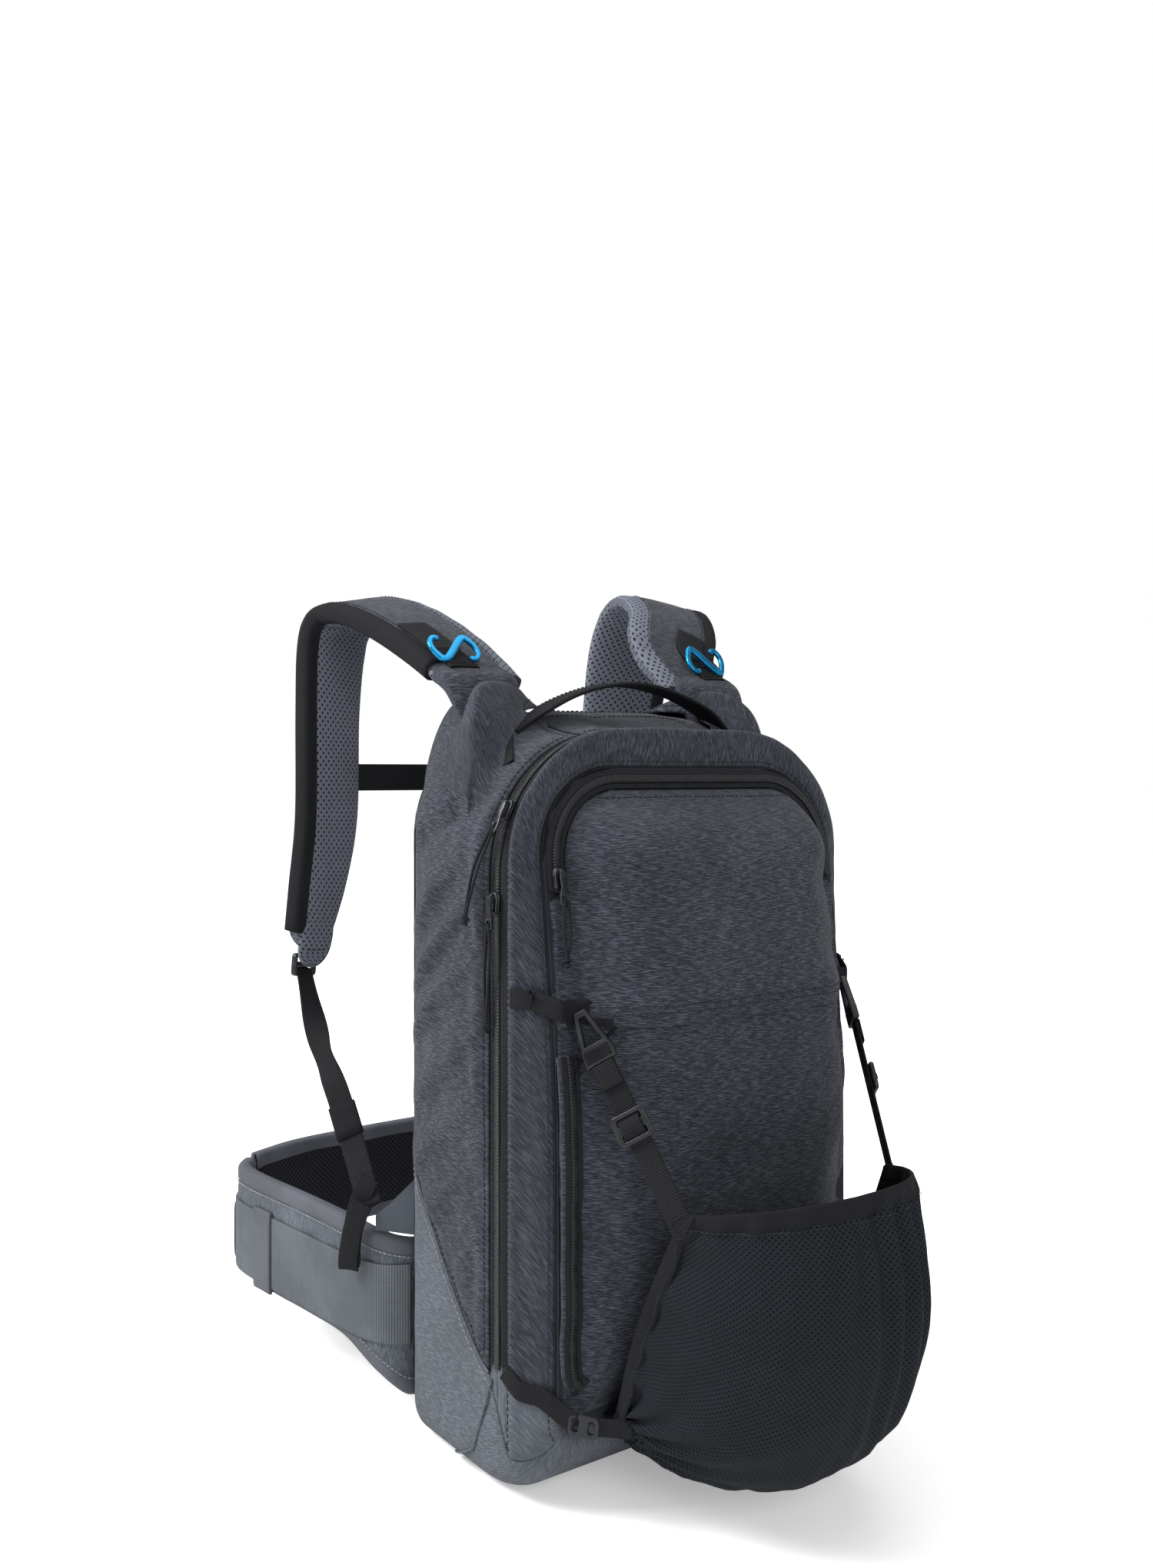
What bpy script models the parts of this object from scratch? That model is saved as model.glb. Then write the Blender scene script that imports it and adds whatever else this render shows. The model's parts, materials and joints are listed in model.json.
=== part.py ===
"""Trail backpack with clamshell front, carrier net, padded harness and hip belt.

Metres, +Z up. The wearer is towards +Y, the front of the pack faces -Y and +X is the pack's right
as seen from the front. The origin is the middle of the flat base.
"""
import math

import bmesh
import bpy
from mathutils import Matrix, Vector

# Pack body
PACK_WIDTH = 0.284
PACK_HEIGHT = 0.503
BACK_Y = 0.085
CREST_Y = 0.045
BACK_FILLET = 0.022
CORNER_TOP = 0.094
CORNER_BACK = 0.080
CORNER_BOTTOM = 0.022
ZIP_DROP = 0.015
ZIP_TOP = PACK_HEIGHT - ZIP_DROP
ZIP_Y = -0.038
BASE_FRONT_Y = -0.010
FABRIC = 0.003

# Front face, carried by the lid
FACE_Y = -0.078
FACE_DROP = 0.040
FACE_TOP = PACK_HEIGHT - FACE_DROP
FACE_BOTTOM = 0.054
FACE_INSET = 0.016
FACE_HALF = PACK_WIDTH / 2.0 - FACE_INSET
FACE_CORNER_TOP = 0.060
FACE_CORNER_BOTTOM = 0.022
FACE_SHOULDER = 0.050
FACE_BORDER = 0.0145
FACE_LEAN = 0.024
LEAN_START = 0.220
LEAN_POWER = 1.6
UPPER_DEPTH = 0.038
LOWER_DEPTH = 0.022
POCKET_HEM = 0.316
POCKET_ZIP_DROP = 0.077
POCKET_ZIP_END = FACE_TOP - POCKET_ZIP_DROP

# Seams, tapes and clearances
CLEARANCE = 0.0004
SEAM = 0.0012
TAPE = 0.010
TAPE_THICK = 0.002
POCKET_TAPE = 0.014
ZIP_END_Z = 0.078
BASE_SEAM_BACK_Z = 0.210

# Shares of the half outline, bottom centre to top centre
BOTTOM_SHARE = 0.10
LOW_ARC_SHARE = 0.17
SIDE_SHARE = 0.36
HIGH_ARC_SHARE = 0.44
TOP_SEAM_SHARE = 0.428

# Back, pads and protector
BACK_THICK = 0.0045
PAD_DEPTH = 0.014
PAD_WIDTH = 0.200
PAD_TOP_DROP = 0.053
PAD_SPLIT = 0.160
PAD_SPACE = 0.010
PAD_FOOT = 0.050
PAD_GROOVE = 0.020
LUMBAR_GROOVE = 0.016
PROTECTOR_WIDTH = 0.210
PROTECTOR_FOOT = 0.045
PROTECTOR_DROP = 0.058
PROTECTOR_HEIGHT = PACK_HEIGHT - PROTECTOR_DROP - PROTECTOR_FOOT
PROTECTOR_THICK = 0.012

# Harness
STRAP_THICK = 0.014
HARNESS_AXIS_Y = 0.045
HARNESS_RISE = 0.020
HARNESS_AXIS_Z = PACK_HEIGHT + HARNESS_RISE
SEAT_GAP = 0.0008
STERNUM_DROP = 0.067
STERNUM_Z = HARNESS_AXIS_Z - STERNUM_DROP
STERNUM_WEBBING = 0.022
LINK_LENGTH = 0.036
LINK_HEIGHT = 0.021
LINK_BAR = 0.0042
LINK_THICK = 0.0036

# Hip belt
BELT_THICK = 0.010
ELASTIC_LOW = 0.056
ELASTIC_HIGH = 0.112
ELASTIC_THICK = 0.002

# Carrier net and its hardware
NET_SIDE_GAP = 0.039
NET_SHIFT = -0.0045
NET_HALF_WIDTH = FACE_HALF - NET_SIDE_GAP
NET_DEPTH = 0.148
NET_HEIGHT = 0.160
NET_THICK = 0.002
WEBBING = 0.015
WEBBING_THICK = 0.0018
HOOK_WIDTH = 0.021
HOOK_LENGTH = 0.034
HOOK_THICK = 0.005
HOOK_EDGE = 0.014
HOOK_TOP_DROP = 0.003
HOOK_SETBACK = 0.0092
LOOP_INNER = 0.024
LOOP_OUTER = 0.008
LOWER_HOOK_EDGE = 0.0102
LOWER_HOOK_RISE = 0.008
LOWER_HOOK_SETBACK = 0.0130

# Zip hardware
SLIDER_WIDTH = 0.009
SLIDER_LENGTH = 0.013
SLIDER_HEIGHT = 0.005
PULL_WIDTH = 0.007
PULL_LENGTH = 0.022
PULL_THICK = 0.0016
CORD_DIAMETER = 0.0026

# Haul handle
HANDLE_SPAN = 0.099
HANDLE_RISE = 0.036
HANDLE_WIDTH = 0.024
HANDLE_END_WIDTH = 0.006
HANDLE_THICK = 0.0035
HANDLE_Y = 0.010

PACK_CENTRE = Vector((0.0, 0.0, 0.25))

# Finishes: colour, roughness, metallic
FINISHES = {
    "charcoal_cloth": ((0.045, 0.049, 0.060), 0.85, 0.0),
    "grey_cloth": ((0.150, 0.165, 0.180), 0.85, 0.0),
    "foam_mesh": ((0.085, 0.092, 0.108), 0.90, 0.0),
    "black_webbing": ((0.020, 0.021, 0.024), 0.75, 0.0),
    "zip_tape": ((0.026, 0.028, 0.031), 0.80, 0.0),
    "net_mesh": ((0.020, 0.023, 0.029), 0.70, 0.0),
    "belt_elastic": ((0.085, 0.098, 0.100), 0.80, 0.0),
    "plastic": ((0.045, 0.048, 0.055), 0.45, 0.0),
    "blue_alloy": ((0.010, 0.250, 0.560), 0.35, 0.9),
    "gunmetal": ((0.090, 0.095, 0.105), 0.25, 1.0),
    "protector_foam": ((0.030, 0.030, 0.034), 0.90, 0.0),
    "cord": ((0.022, 0.024, 0.028), 0.80, 0.0),
}


# Scene and small helpers

def clear_scene():
    for item in list(bpy.data.objects):
        bpy.data.objects.remove(item, do_unlink=True)


def collection(name):
    group = bpy.data.collections.new(name)
    bpy.context.scene.collection.children.link(group)
    return group


def finish(name):
    material = bpy.data.materials.get(name)
    if material:
        return material
    colour, roughness, metallic = FINISHES[name]
    material = bpy.data.materials.new(name)
    material.use_nodes = True
    shader = material.node_tree.nodes["Principled BSDF"]
    shader.inputs["Base Color"].default_value = (*colour, 1.0)
    shader.inputs["Roughness"].default_value = roughness
    shader.inputs["Metallic"].default_value = metallic
    return material


def mix(low, high, share):
    return low + (high - low) * min(max(share, 0.0), 1.0)


def ease(share):
    share = min(max(share, 0.0), 1.0)
    return share * share * (3.0 - 2.0 * share)


def spline(points, count):
    """Read count + 1 samples from a smooth curve through points of any size."""
    vectors = [Vector(point) for point in points]
    samples = []
    for index in range(count + 1):
        place = index / count * (len(vectors) - 1)
        start = min(int(place), len(vectors) - 2)
        share = place - start
        before = vectors[max(start - 1, 0)]
        low = vectors[start]
        high = vectors[start + 1]
        after = vectors[min(start + 2, len(vectors) - 1)]
        samples.append(0.5 * (2.0 * low + (high - before) * share
                              + (2.0 * before - 5.0 * low + 4.0 * high - after) * share ** 2
                              + (3.0 * low - before - 3.0 * high + after) * share ** 3))
    return samples


def mirrored(point):
    return Vector((-point[0], point[1], point[2]))


def axes_matrix(origin, x_axis, y_axis):
    """Matrix whose columns are the given axes, squared up, and their cross product."""
    x_axis = Vector(x_axis).normalized()
    y_axis = Vector(y_axis)
    y_axis = (y_axis - y_axis.dot(x_axis) * x_axis).normalized()
    z_axis = x_axis.cross(y_axis)
    rotation = Matrix((x_axis, y_axis, z_axis)).transposed()
    return Matrix.Translation(origin) @ rotation.to_4x4()


def link_object(item, finish_name):
    PARTS.objects.link(item)
    item.data.materials.append(finish(finish_name))
    return item


def mesh_object(name, mesh_builder, finish_name):
    mesh = bpy.data.meshes.new(name)
    mesh_builder.to_mesh(mesh)
    mesh_builder.free()
    return link_object(bpy.data.objects.new(name, mesh), finish_name)


def set_pivot(item, point):
    """Move the object's origin to a joint axis and leave its shape where it is."""
    shift = item.matrix_world.inverted() @ Vector(point)
    item.data.transform(Matrix.Translation(-shift))
    item.matrix_world = item.matrix_world @ Matrix.Translation(shift)
    return item


# Makers of solids

def panel(name, surface, columns, rows, thickness, finish_name, inside=PACK_CENTRE):
    """Sewn panel: a grid laid on surface(u, v), thickened towards the inside point."""
    builder = bmesh.new()
    bmesh.ops.create_grid(builder, x_segments=columns, y_segments=rows, size=0.5)
    for vertex in builder.verts:
        vertex.co = surface(vertex.co.x + 0.5, vertex.co.y + 0.5)
    builder.normal_update()
    facing = sum(face.normal.dot(face.calc_center_median() - inside) for face in builder.faces)
    if facing < 0.0:
        bmesh.ops.reverse_faces(builder, faces=builder.faces)
    item = mesh_object(name, builder, finish_name)
    thicken = item.modifiers.new("thickness", "SOLIDIFY")
    thicken.thickness = thickness
    thicken.offset = -1.0
    item.data.shade_smooth()
    return item


def cushion(name, face, backing, columns, rows, finish_name):
    """Pad between a crowned face(u, v) and the backing(u, v) that it is sewn to."""
    builder = bmesh.new()
    layers = []
    for surface in (face, backing):
        layers.append([[builder.verts.new(surface(column / columns, row / rows))
                        for column in range(columns + 1)] for row in range(rows + 1)])
    for layer in layers:
        for row in range(rows):
            for column in range(columns):
                builder.faces.new((layer[row][column], layer[row][column + 1],
                                   layer[row + 1][column + 1], layer[row + 1][column]))
    border = ([(0, column) for column in range(columns)]
              + [(row, columns) for row in range(rows)]
              + [(rows, column) for column in range(columns, 0, -1)]
              + [(row, 0) for row in range(rows, 0, -1)])
    for place, (row, column) in enumerate(border):
        next_row, next_column = border[(place + 1) % len(border)]
        builder.faces.new((layers[0][row][column], layers[0][next_row][next_column],
                           layers[1][next_row][next_column], layers[1][row][column]))
    bmesh.ops.recalc_face_normals(builder, faces=builder.faces)
    item = mesh_object(name, builder, finish_name)
    item.data.shade_smooth()
    return item


def loft(name, sections, finish_name):
    """Closed solid through sections that have equal numbers of points."""
    builder = bmesh.new()
    rings = [[builder.verts.new(point) for point in section] for section in sections]
    count = len(rings[0])
    for ring, following in zip(rings, rings[1:]):
        for place in range(count):
            after = (place + 1) % count
            builder.faces.new((ring[place], ring[after], following[after], following[place]))
    builder.faces.new(rings[0])
    builder.faces.new(rings[-1])
    bmesh.ops.recalc_face_normals(builder, faces=builder.faces)
    item = mesh_object(name, builder, finish_name)
    item.data.shade_smooth()
    return item


def oval(centre, across, through, half_across, half_through, sides=10, squareness=3.0):
    """Section of a padded band: a rounded rectangle."""
    points = []
    for index in range(sides):
        angle = 2.0 * math.pi * (index + 0.5) / sides
        cosine = math.copysign(abs(math.cos(angle)) ** (2.0 / squareness), math.cos(angle))
        sine = math.copysign(abs(math.sin(angle)) ** (2.0 / squareness), math.sin(angle))
        points.append(centre + across * (half_across * cosine) + through * (half_through * sine))
    return points


def flat_section(centre, across, through, width, thickness):
    """Section of flat webbing."""
    side = across * (width / 2.0)
    depth = through * (thickness / 2.0)
    return [centre - side - depth, centre + side - depth, centre + side + depth, centre - side + depth]


def plate(name, loops, thickness, matrix, finish_name):
    """Flat plate from closed outlines, the first one solid and the rest holes."""
    curve = bpy.data.curves.new(name, "CURVE")
    curve.dimensions = "2D"
    curve.fill_mode = "BOTH"
    curve.extrude = thickness / 2.0
    for loop in loops:
        ring = curve.splines.new("POLY")
        ring.points.add(len(loop) - 1)
        for point, (across, along) in zip(ring.points, loop):
            point.co = (across, along, 0.0, 1.0)
        ring.use_cyclic_u = True
    item = bpy.data.objects.new(name, curve)
    item.matrix_world = matrix
    return link_object(item, finish_name)


def rounded_loop(width, height, radius, steps=3):
    """Rectangle with round corners about the origin."""
    points = []
    for quarter in range(4):
        sign_x = (1, -1, -1, 1)[quarter]
        sign_y = (1, 1, -1, -1)[quarter]
        for step in range(steps + 1):
            angle = math.pi / 2.0 * (quarter + step / steps)
            points.append((sign_x * (width / 2.0 - radius) + radius * math.cos(angle),
                           sign_y * (height / 2.0 - radius) + radius * math.sin(angle)))
    return points


def shifted(loop, across, along):
    return [(x + across, y + along) for x, y in loop]


# The pack's outer surface

def outline(depth):
    """Half width, bottom, top, low radius and high radius of the pack's outline at a depth."""
    back = min(max((depth - BACK_Y + BACK_FILLET) / BACK_FILLET, 0.0), 1.0)
    back_inset = BACK_FILLET * (1.0 - math.sqrt(1.0 - back * back))
    lid_start = ZIP_Y - TAPE
    front = min(max((lid_start - depth) / (lid_start - FACE_Y), 0.0), 1.0)
    under = min(max((BASE_FRONT_Y - depth) / (BASE_FRONT_Y - FACE_Y), 0.0), 1.0)
    rise = ease((depth - ZIP_Y - TAPE) / (CREST_Y - ZIP_Y - TAPE))
    half = PACK_WIDTH / 2.0 - back_inset - FACE_INSET * front ** 2
    bottom = FACE_BOTTOM * (1.0 - math.sqrt(1.0 - under * under)) + back_inset
    top = ZIP_TOP + (PACK_HEIGHT - ZIP_TOP) * rise - (ZIP_TOP - FACE_TOP) * front ** 2 - back_inset
    low_radius = mix(CORNER_BOTTOM, FACE_CORNER_BOTTOM, under)
    high_radius = mix(mix(CORNER_TOP, CORNER_BACK, rise), FACE_CORNER_TOP, front)
    return half, bottom, top, low_radius, high_radius


def lean(z):
    """How far the front leans back towards its top."""
    return FACE_LEAN * max((z - LEAN_START) / (FACE_TOP - LEAN_START), 0.0) ** LEAN_POWER


def rim(depth, share, inset=0.0):
    """Point of the outline: share 0 is bottom centre, 0.5 top centre, left positive, right negative."""
    half, bottom, top, low_radius, high_radius = outline(depth)
    half -= inset
    bottom += inset
    top -= inset
    low_radius = max(low_radius - inset, 0.002)
    high_radius = max(high_radius - inset, 0.002)
    along = abs(share)
    if along < BOTTOM_SHARE:
        x = (half - low_radius) * along / BOTTOM_SHARE
        z = bottom
    elif along < LOW_ARC_SHARE:
        angle = math.pi / 2.0 * (along - BOTTOM_SHARE) / (LOW_ARC_SHARE - BOTTOM_SHARE)
        x = half - low_radius + low_radius * math.sin(angle)
        z = bottom + low_radius * (1.0 - math.cos(angle))
    elif along < SIDE_SHARE:
        x = half
        z = mix(bottom + low_radius, top - high_radius, (along - LOW_ARC_SHARE) / (SIDE_SHARE - LOW_ARC_SHARE))
    elif along < HIGH_ARC_SHARE:
        angle = math.pi / 2.0 * (along - SIDE_SHARE) / (HIGH_ARC_SHARE - SIDE_SHARE)
        x = half - high_radius + high_radius * math.cos(angle)
        z = top - high_radius + high_radius * math.sin(angle)
    else:
        x = (half - high_radius) * (0.5 - along) / (0.5 - HIGH_ARC_SHARE)
        z = top
    lid_start = ZIP_Y - TAPE
    front = min(max((lid_start - depth) / (lid_start - FACE_Y), 0.0), 1.0)
    return Vector((x if share < 0.0 else -x, depth + lean(z) * front ** 2, z))


def side_share(depth, height):
    """Share at which the straight side of the outline passes a height."""
    half, bottom, top, low_radius, high_radius = outline(depth)
    part = (height - bottom - low_radius) / (top - high_radius - bottom - low_radius)
    return LOW_ARC_SHARE + (SIDE_SHARE - LOW_ARC_SHARE) * part


def arch(depth, share, inset=0.0):
    """The outline as one arch: share runs up the left side, over the top and down the right."""
    return rim(depth, share if share <= 0.5 else share - 1.0, inset)


def base_seam(depth):
    """Share of the seam between the grey base and the dark panels above it."""
    tape_back = ZIP_Y + TAPE
    if depth >= tape_back:
        climb = ((depth - tape_back) / (BACK_Y - tape_back)) ** 1.3
        return side_share(depth, mix(ZIP_END_Z, BASE_SEAM_BACK_Z, climb))
    front = (tape_back - depth) / (tape_back - FACE_Y)
    corner = (BOTTOM_SHARE + LOW_ARC_SHARE) / 2.0
    return mix(side_share(tape_back, ZIP_END_Z), corner, front)


def seam_gap(depth):
    """Half a seam's clearance as a share of the half outline, wider on the small front corners."""
    front = min(max((ZIP_Y + TAPE - depth) / (ZIP_Y + TAPE - FACE_Y), 0.0), 1.0)
    return SEAM / 2.0 * SIDE_SHARE / PACK_HEIGHT * (1.0 + 4.0 * front)


# The front face

def face_depth(x, z):
    """How far the stuffed front stands proud of the face plane."""
    half, bottom, top, low_radius, high_radius = outline(FACE_Y)
    middle = (bottom + top) / 2.0
    radius = high_radius if z > middle else low_radius
    over_x = abs(x) - half + radius
    over_z = abs(z - middle) - (top - bottom) / 2.0 + radius
    outside = math.hypot(max(over_x, 0.0), max(over_z, 0.0)) + min(max(over_x, over_z), 0.0) - radius
    share = min(max((-outside - FACE_BORDER) / FACE_SHOULDER, 0.0), 1.0)
    depth = mix(LOWER_DEPTH, UPPER_DEPTH, ease((z - 0.12) / (POCKET_HEM - 0.12)))
    return depth * (1.0 - (1.0 - share) ** 2.2)


def face_point(x, z, proud=0.0):
    """Point on the outer surface of the front pockets."""
    return Vector((x, FACE_Y + lean(z) - 1.7 * FABRIC - 3.2 * CLEARANCE - face_depth(x, z) - proud, z))


def face_half(z, inset):
    """Half width of the front face at a height, inside a border."""
    half, bottom, top, low_radius, high_radius = outline(FACE_Y)
    if z > top - high_radius:
        return half - high_radius + math.sqrt(max((high_radius - inset) ** 2 - (z - top + high_radius) ** 2, 0.0))
    if z < bottom + low_radius:
        return half - low_radius + math.sqrt(max((low_radius - inset) ** 2 - (bottom + low_radius - z) ** 2, 0.0))
    return half - inset


def along_stations(stations, share):
    """Read a value from evenly numbered stations, straight between them."""
    place = min(int(share * (len(stations) - 1) + 1e-6), len(stations) - 2)
    return mix(stations[place], stations[place + 1], share * (len(stations) - 1) - place)


def spread(low, high, count):
    return [mix(low, high, index / count) for index in range(count + 1)]


def make_body_panels():
    back_end = BACK_Y - BACK_THICK - CLEARANCE
    tape_back = ZIP_Y + TAPE
    rear_depths = spread(tape_back, back_end, 8)
    depths = spread(FACE_Y, ZIP_Y - TAPE, 4) + [ZIP_Y] + rear_depths

    def base(u, v):
        depth = along_stations(depths, v)
        edge = base_seam(depth) - seam_gap(depth)
        return rim(depth, mix(-edge, edge, u))

    def side(u, v):
        depth = max(along_stations(rear_depths, v), tape_back + SEAM)
        return rim(depth, mix(base_seam(depth) + seam_gap(depth), TOP_SEAM_SHARE - seam_gap(depth), u))

    def top(u, v):
        depth = max(along_stations(rear_depths, v), tape_back + SEAM)
        edge = TOP_SEAM_SHARE + seam_gap(depth)
        return arch(depth, mix(edge, 1.0 - edge, u))

    panel("base_panel", base, 30, len(depths) - 1, FABRIC, "grey_cloth")
    panel("side_panel_left", side, 14, 8, FABRIC, "charcoal_cloth")
    panel("side_panel_right", lambda u, v: mirrored(side(u, v)), 14, 8, FABRIC, "charcoal_cloth")
    panel("top_panel", top, 12, 8, FABRIC, "charcoal_cloth")


def make_zip_tapes():
    slit = CLEARANCE / 2.0

    def tape(near, far):
        def surface(u, v):
            depth = mix(near, far, v)
            start = base_seam(depth) + seam_gap(depth)
            return arch(depth, mix(start, 1.0 - start, u))
        return surface

    panel("main_zip_tape_body", tape(ZIP_Y + slit, ZIP_Y + TAPE), 80, 1, TAPE_THICK, "zip_tape")
    panel("main_zip_tape_lid", tape(ZIP_Y - slit, ZIP_Y - TAPE), 80, 1, TAPE_THICK, "zip_tape")


def outline_loop(depth, inset, count):
    """Closed outline at one depth, as points across and up."""
    points = [arch(depth, index / count, inset) for index in range(count)]
    return [(point.x, point.z) for point in points]


def upright(origin):
    """Plates drawn across and up, with their thickness along -Y."""
    return axes_matrix(origin, (1.0, 0.0, 0.0), (0.0, 0.0, 1.0))


def make_back():
    plate("back_panel", [outline_loop(BACK_Y - BACK_THICK, 0.0, 48)], BACK_THICK,
          upright((0.0, BACK_Y - BACK_THICK / 2.0, 0.0)), "charcoal_cloth")
    rear = BACK_Y + CLEARANCE

    def pad(low, high, width, channel):
        def backing(u, v):
            return Vector((mix(-width / 2.0, width / 2.0, u), rear, mix(low, high, v)))

        def face(u, v):
            across = 2.0 * u - 1.0
            up = 2.0 * v - 1.0
            crown = (1.0 - abs(across) ** 6) * (1.0 - abs(up) ** 8)
            groove = 1.0 - 0.7 * math.exp(-(across * width / 2.0 / channel) ** 4)
            return backing(u, v) + Vector((0.0, 0.003 + (PAD_DEPTH - 0.003) * crown * groove, 0.0))
        return face, backing

    upper = pad(PAD_SPLIT + PAD_SPACE / 2.0, PACK_HEIGHT - PAD_TOP_DROP, PAD_WIDTH, PAD_GROOVE)
    lumbar = pad(PAD_FOOT, PAD_SPLIT - PAD_SPACE / 2.0, PAD_WIDTH, LUMBAR_GROOVE)
    cushion("back_pad", *upper, 14, 10, "foam_mesh")
    cushion("lumbar_pad", *lumbar, 12, 6, "foam_mesh")
    protector_y = BACK_Y - BACK_THICK - CLEARANCE - PROTECTOR_THICK / 2.0
    plate("back_protector", [rounded_loop(PROTECTOR_WIDTH, PROTECTOR_HEIGHT, 0.035)], PROTECTOR_THICK,
          upright((0.0, protector_y, PROTECTOR_FOOT + PROTECTOR_HEIGHT / 2.0)), "protector_foam")


def make_lid():
    lid_start = ZIP_Y - TAPE - SEAM

    def gusset(u, v):
        depth = mix(FACE_Y, lid_start, v)
        start = base_seam(depth) + seam_gap(depth)
        return arch(depth, mix(start, 1.0 - start, u))

    panel("lid_gusset", gusset, 44, 4, FABRIC, "charcoal_cloth")
    half, bottom, top, low_radius, high_radius = outline(FACE_Y)
    border = POCKET_TAPE + CLEARANCE
    turns = [math.radians(angle) for angle in (0.0, 30.0, 60.0, 90.0)]
    levels = [bottom + low_radius * (1.0 - math.cos(turn)) for turn in turns]
    levels += spread(bottom + low_radius, top - high_radius, 6)[1:-1]
    levels += [top - high_radius * (1.0 - math.sin(turn)) for turn in turns]

    def front(u, v):
        z = along_stations(levels, v)
        return Vector((mix(-1.0, 1.0, u) * face_half(z, 0.0), FACE_Y + lean(z) - CLEARANCE - FABRIC, z))

    panel("front_panel", front, 8, len(levels) - 1, FABRIC, "charcoal_cloth")

    step = POCKET_ZIP_END - 2.0 * SEAM
    heights = spread(POCKET_HEM, step - SEAM, 3) + [step] + spread(step + 0.012, top - border - 0.020, 3)
    heights += [top - border - 0.012, top - border - 0.006, top - border - 0.002, top - border]

    def across_face(u):
        return math.sin(math.pi * (u - 0.5))

    def pocket(u, v):
        z = along_stations(heights, v)
        inset = SEAM if z < step - SEAM / 2.0 else border
        return face_point(across_face(u) * face_half(z, inset), z)

    def lower(u, v):
        z = mix(FACE_BOTTOM + 3.0 * FABRIC, POCKET_HEM - CLEARANCE, v)
        return face_point(across_face(u) * face_half(z, SEAM), z)

    def tape(u, v):
        start = side_share(FACE_Y, POCKET_ZIP_END + SEAM)
        point = arch(FACE_Y, mix(start, 1.0 - start, u), mix(SEAM, POCKET_TAPE, v))
        return face_point(point.x, point.z)

    panel("front_pocket", pocket, 14, len(heights) - 1, FABRIC * 0.7, "charcoal_cloth")
    panel("lower_pocket", lower, 14, 10, FABRIC * 0.7, "charcoal_cloth")
    panel("pocket_zip_tape", tape, 30, 2, TAPE_THICK, "zip_tape")


def net_surface(u, v):
    """Carrier net: u crosses from the left edge to the right, v climbs from the hem to the rim."""
    hem = FACE_Y - FABRIC - 2.0 * CLEARANCE
    def profile(shares):
        return spline([(hem - NET_DEPTH * away, FACE_BOTTOM + NET_HEIGHT * up) for away, up in shares], 24)

    middle = profile(((0.0, 0.019), (0.222, -0.160), (0.549, -0.185), (0.850, 0.0150), (0.987, 0.3625),
                      (1.0, 0.694), (0.941, 1.0)))
    edge = profile(((0.0, 0.019), (0.105, 0.050), (0.170, 0.150), (0.235, 0.319), (0.327, 0.5375),
                    (0.425, 0.7375), (0.516, 0.925)))
    place = min(int(v * 24), 23)
    share = v * 24 - place
    mid = middle[place].lerp(middle[place + 1], share)
    side = edge[place].lerp(edge[place + 1], share)
    across = 2.0 * u - 1.0
    reach = (1.0 - abs(across) ** 2.4) ** 0.62
    bow = 1.0 + 0.08 * math.sin(math.pi * v)
    y = mix(side[0], mid[0], reach)
    z = mix(side[1], mid[1], reach)
    return Vector((across * NET_HALF_WIDTH * bow + NET_SHIFT, y, z))


def make_net():
    panel("carrier_net", net_surface, 18, 16, NET_THICK, "net_mesh", inside=Vector((0.0, -0.14, 0.16)))


def strap_frame(side):
    """Start, end, direction, width direction and normal of a carrier strap on one side."""
    start = Vector((side * (FACE_HALF - HOOK_EDGE), FACE_Y - HOOK_SETBACK, POCKET_HEM - HOOK_TOP_DROP))
    end = net_surface(0.0 if side < 0 else 1.0, 1.0) + Vector((side * 0.002, -0.001, -0.004))
    along = (end - start).normalized()
    normal = Vector((side * 0.80, -0.60, 0.0))
    normal = (normal - normal.dot(along) * along).normalized()
    return start, end, along, along.cross(normal), normal


def hook_loops():
    """Outline of a triangular webbing hook, point up, and its two windows."""
    low = -HOOK_LENGTH
    half = HOOK_WIDTH / 2.0
    bar = 0.004
    outer = [(-0.004, 0.0), (0.004, 0.0), (half, low + 0.006), (half, low), (-half, low), (-half, low + 0.006)]
    window = [(-0.0022, -bar), (0.0022, -bar), (half - bar, low + 0.0125), (-half + bar, low + 0.0125)]
    slot = [(-half + 0.0025, low + 0.0085), (half - 0.0025, low + 0.0085),
            (half - 0.0025, low + 0.0030), (-half + 0.0025, low + 0.0030)]
    return [outer, window, slot]


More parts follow.
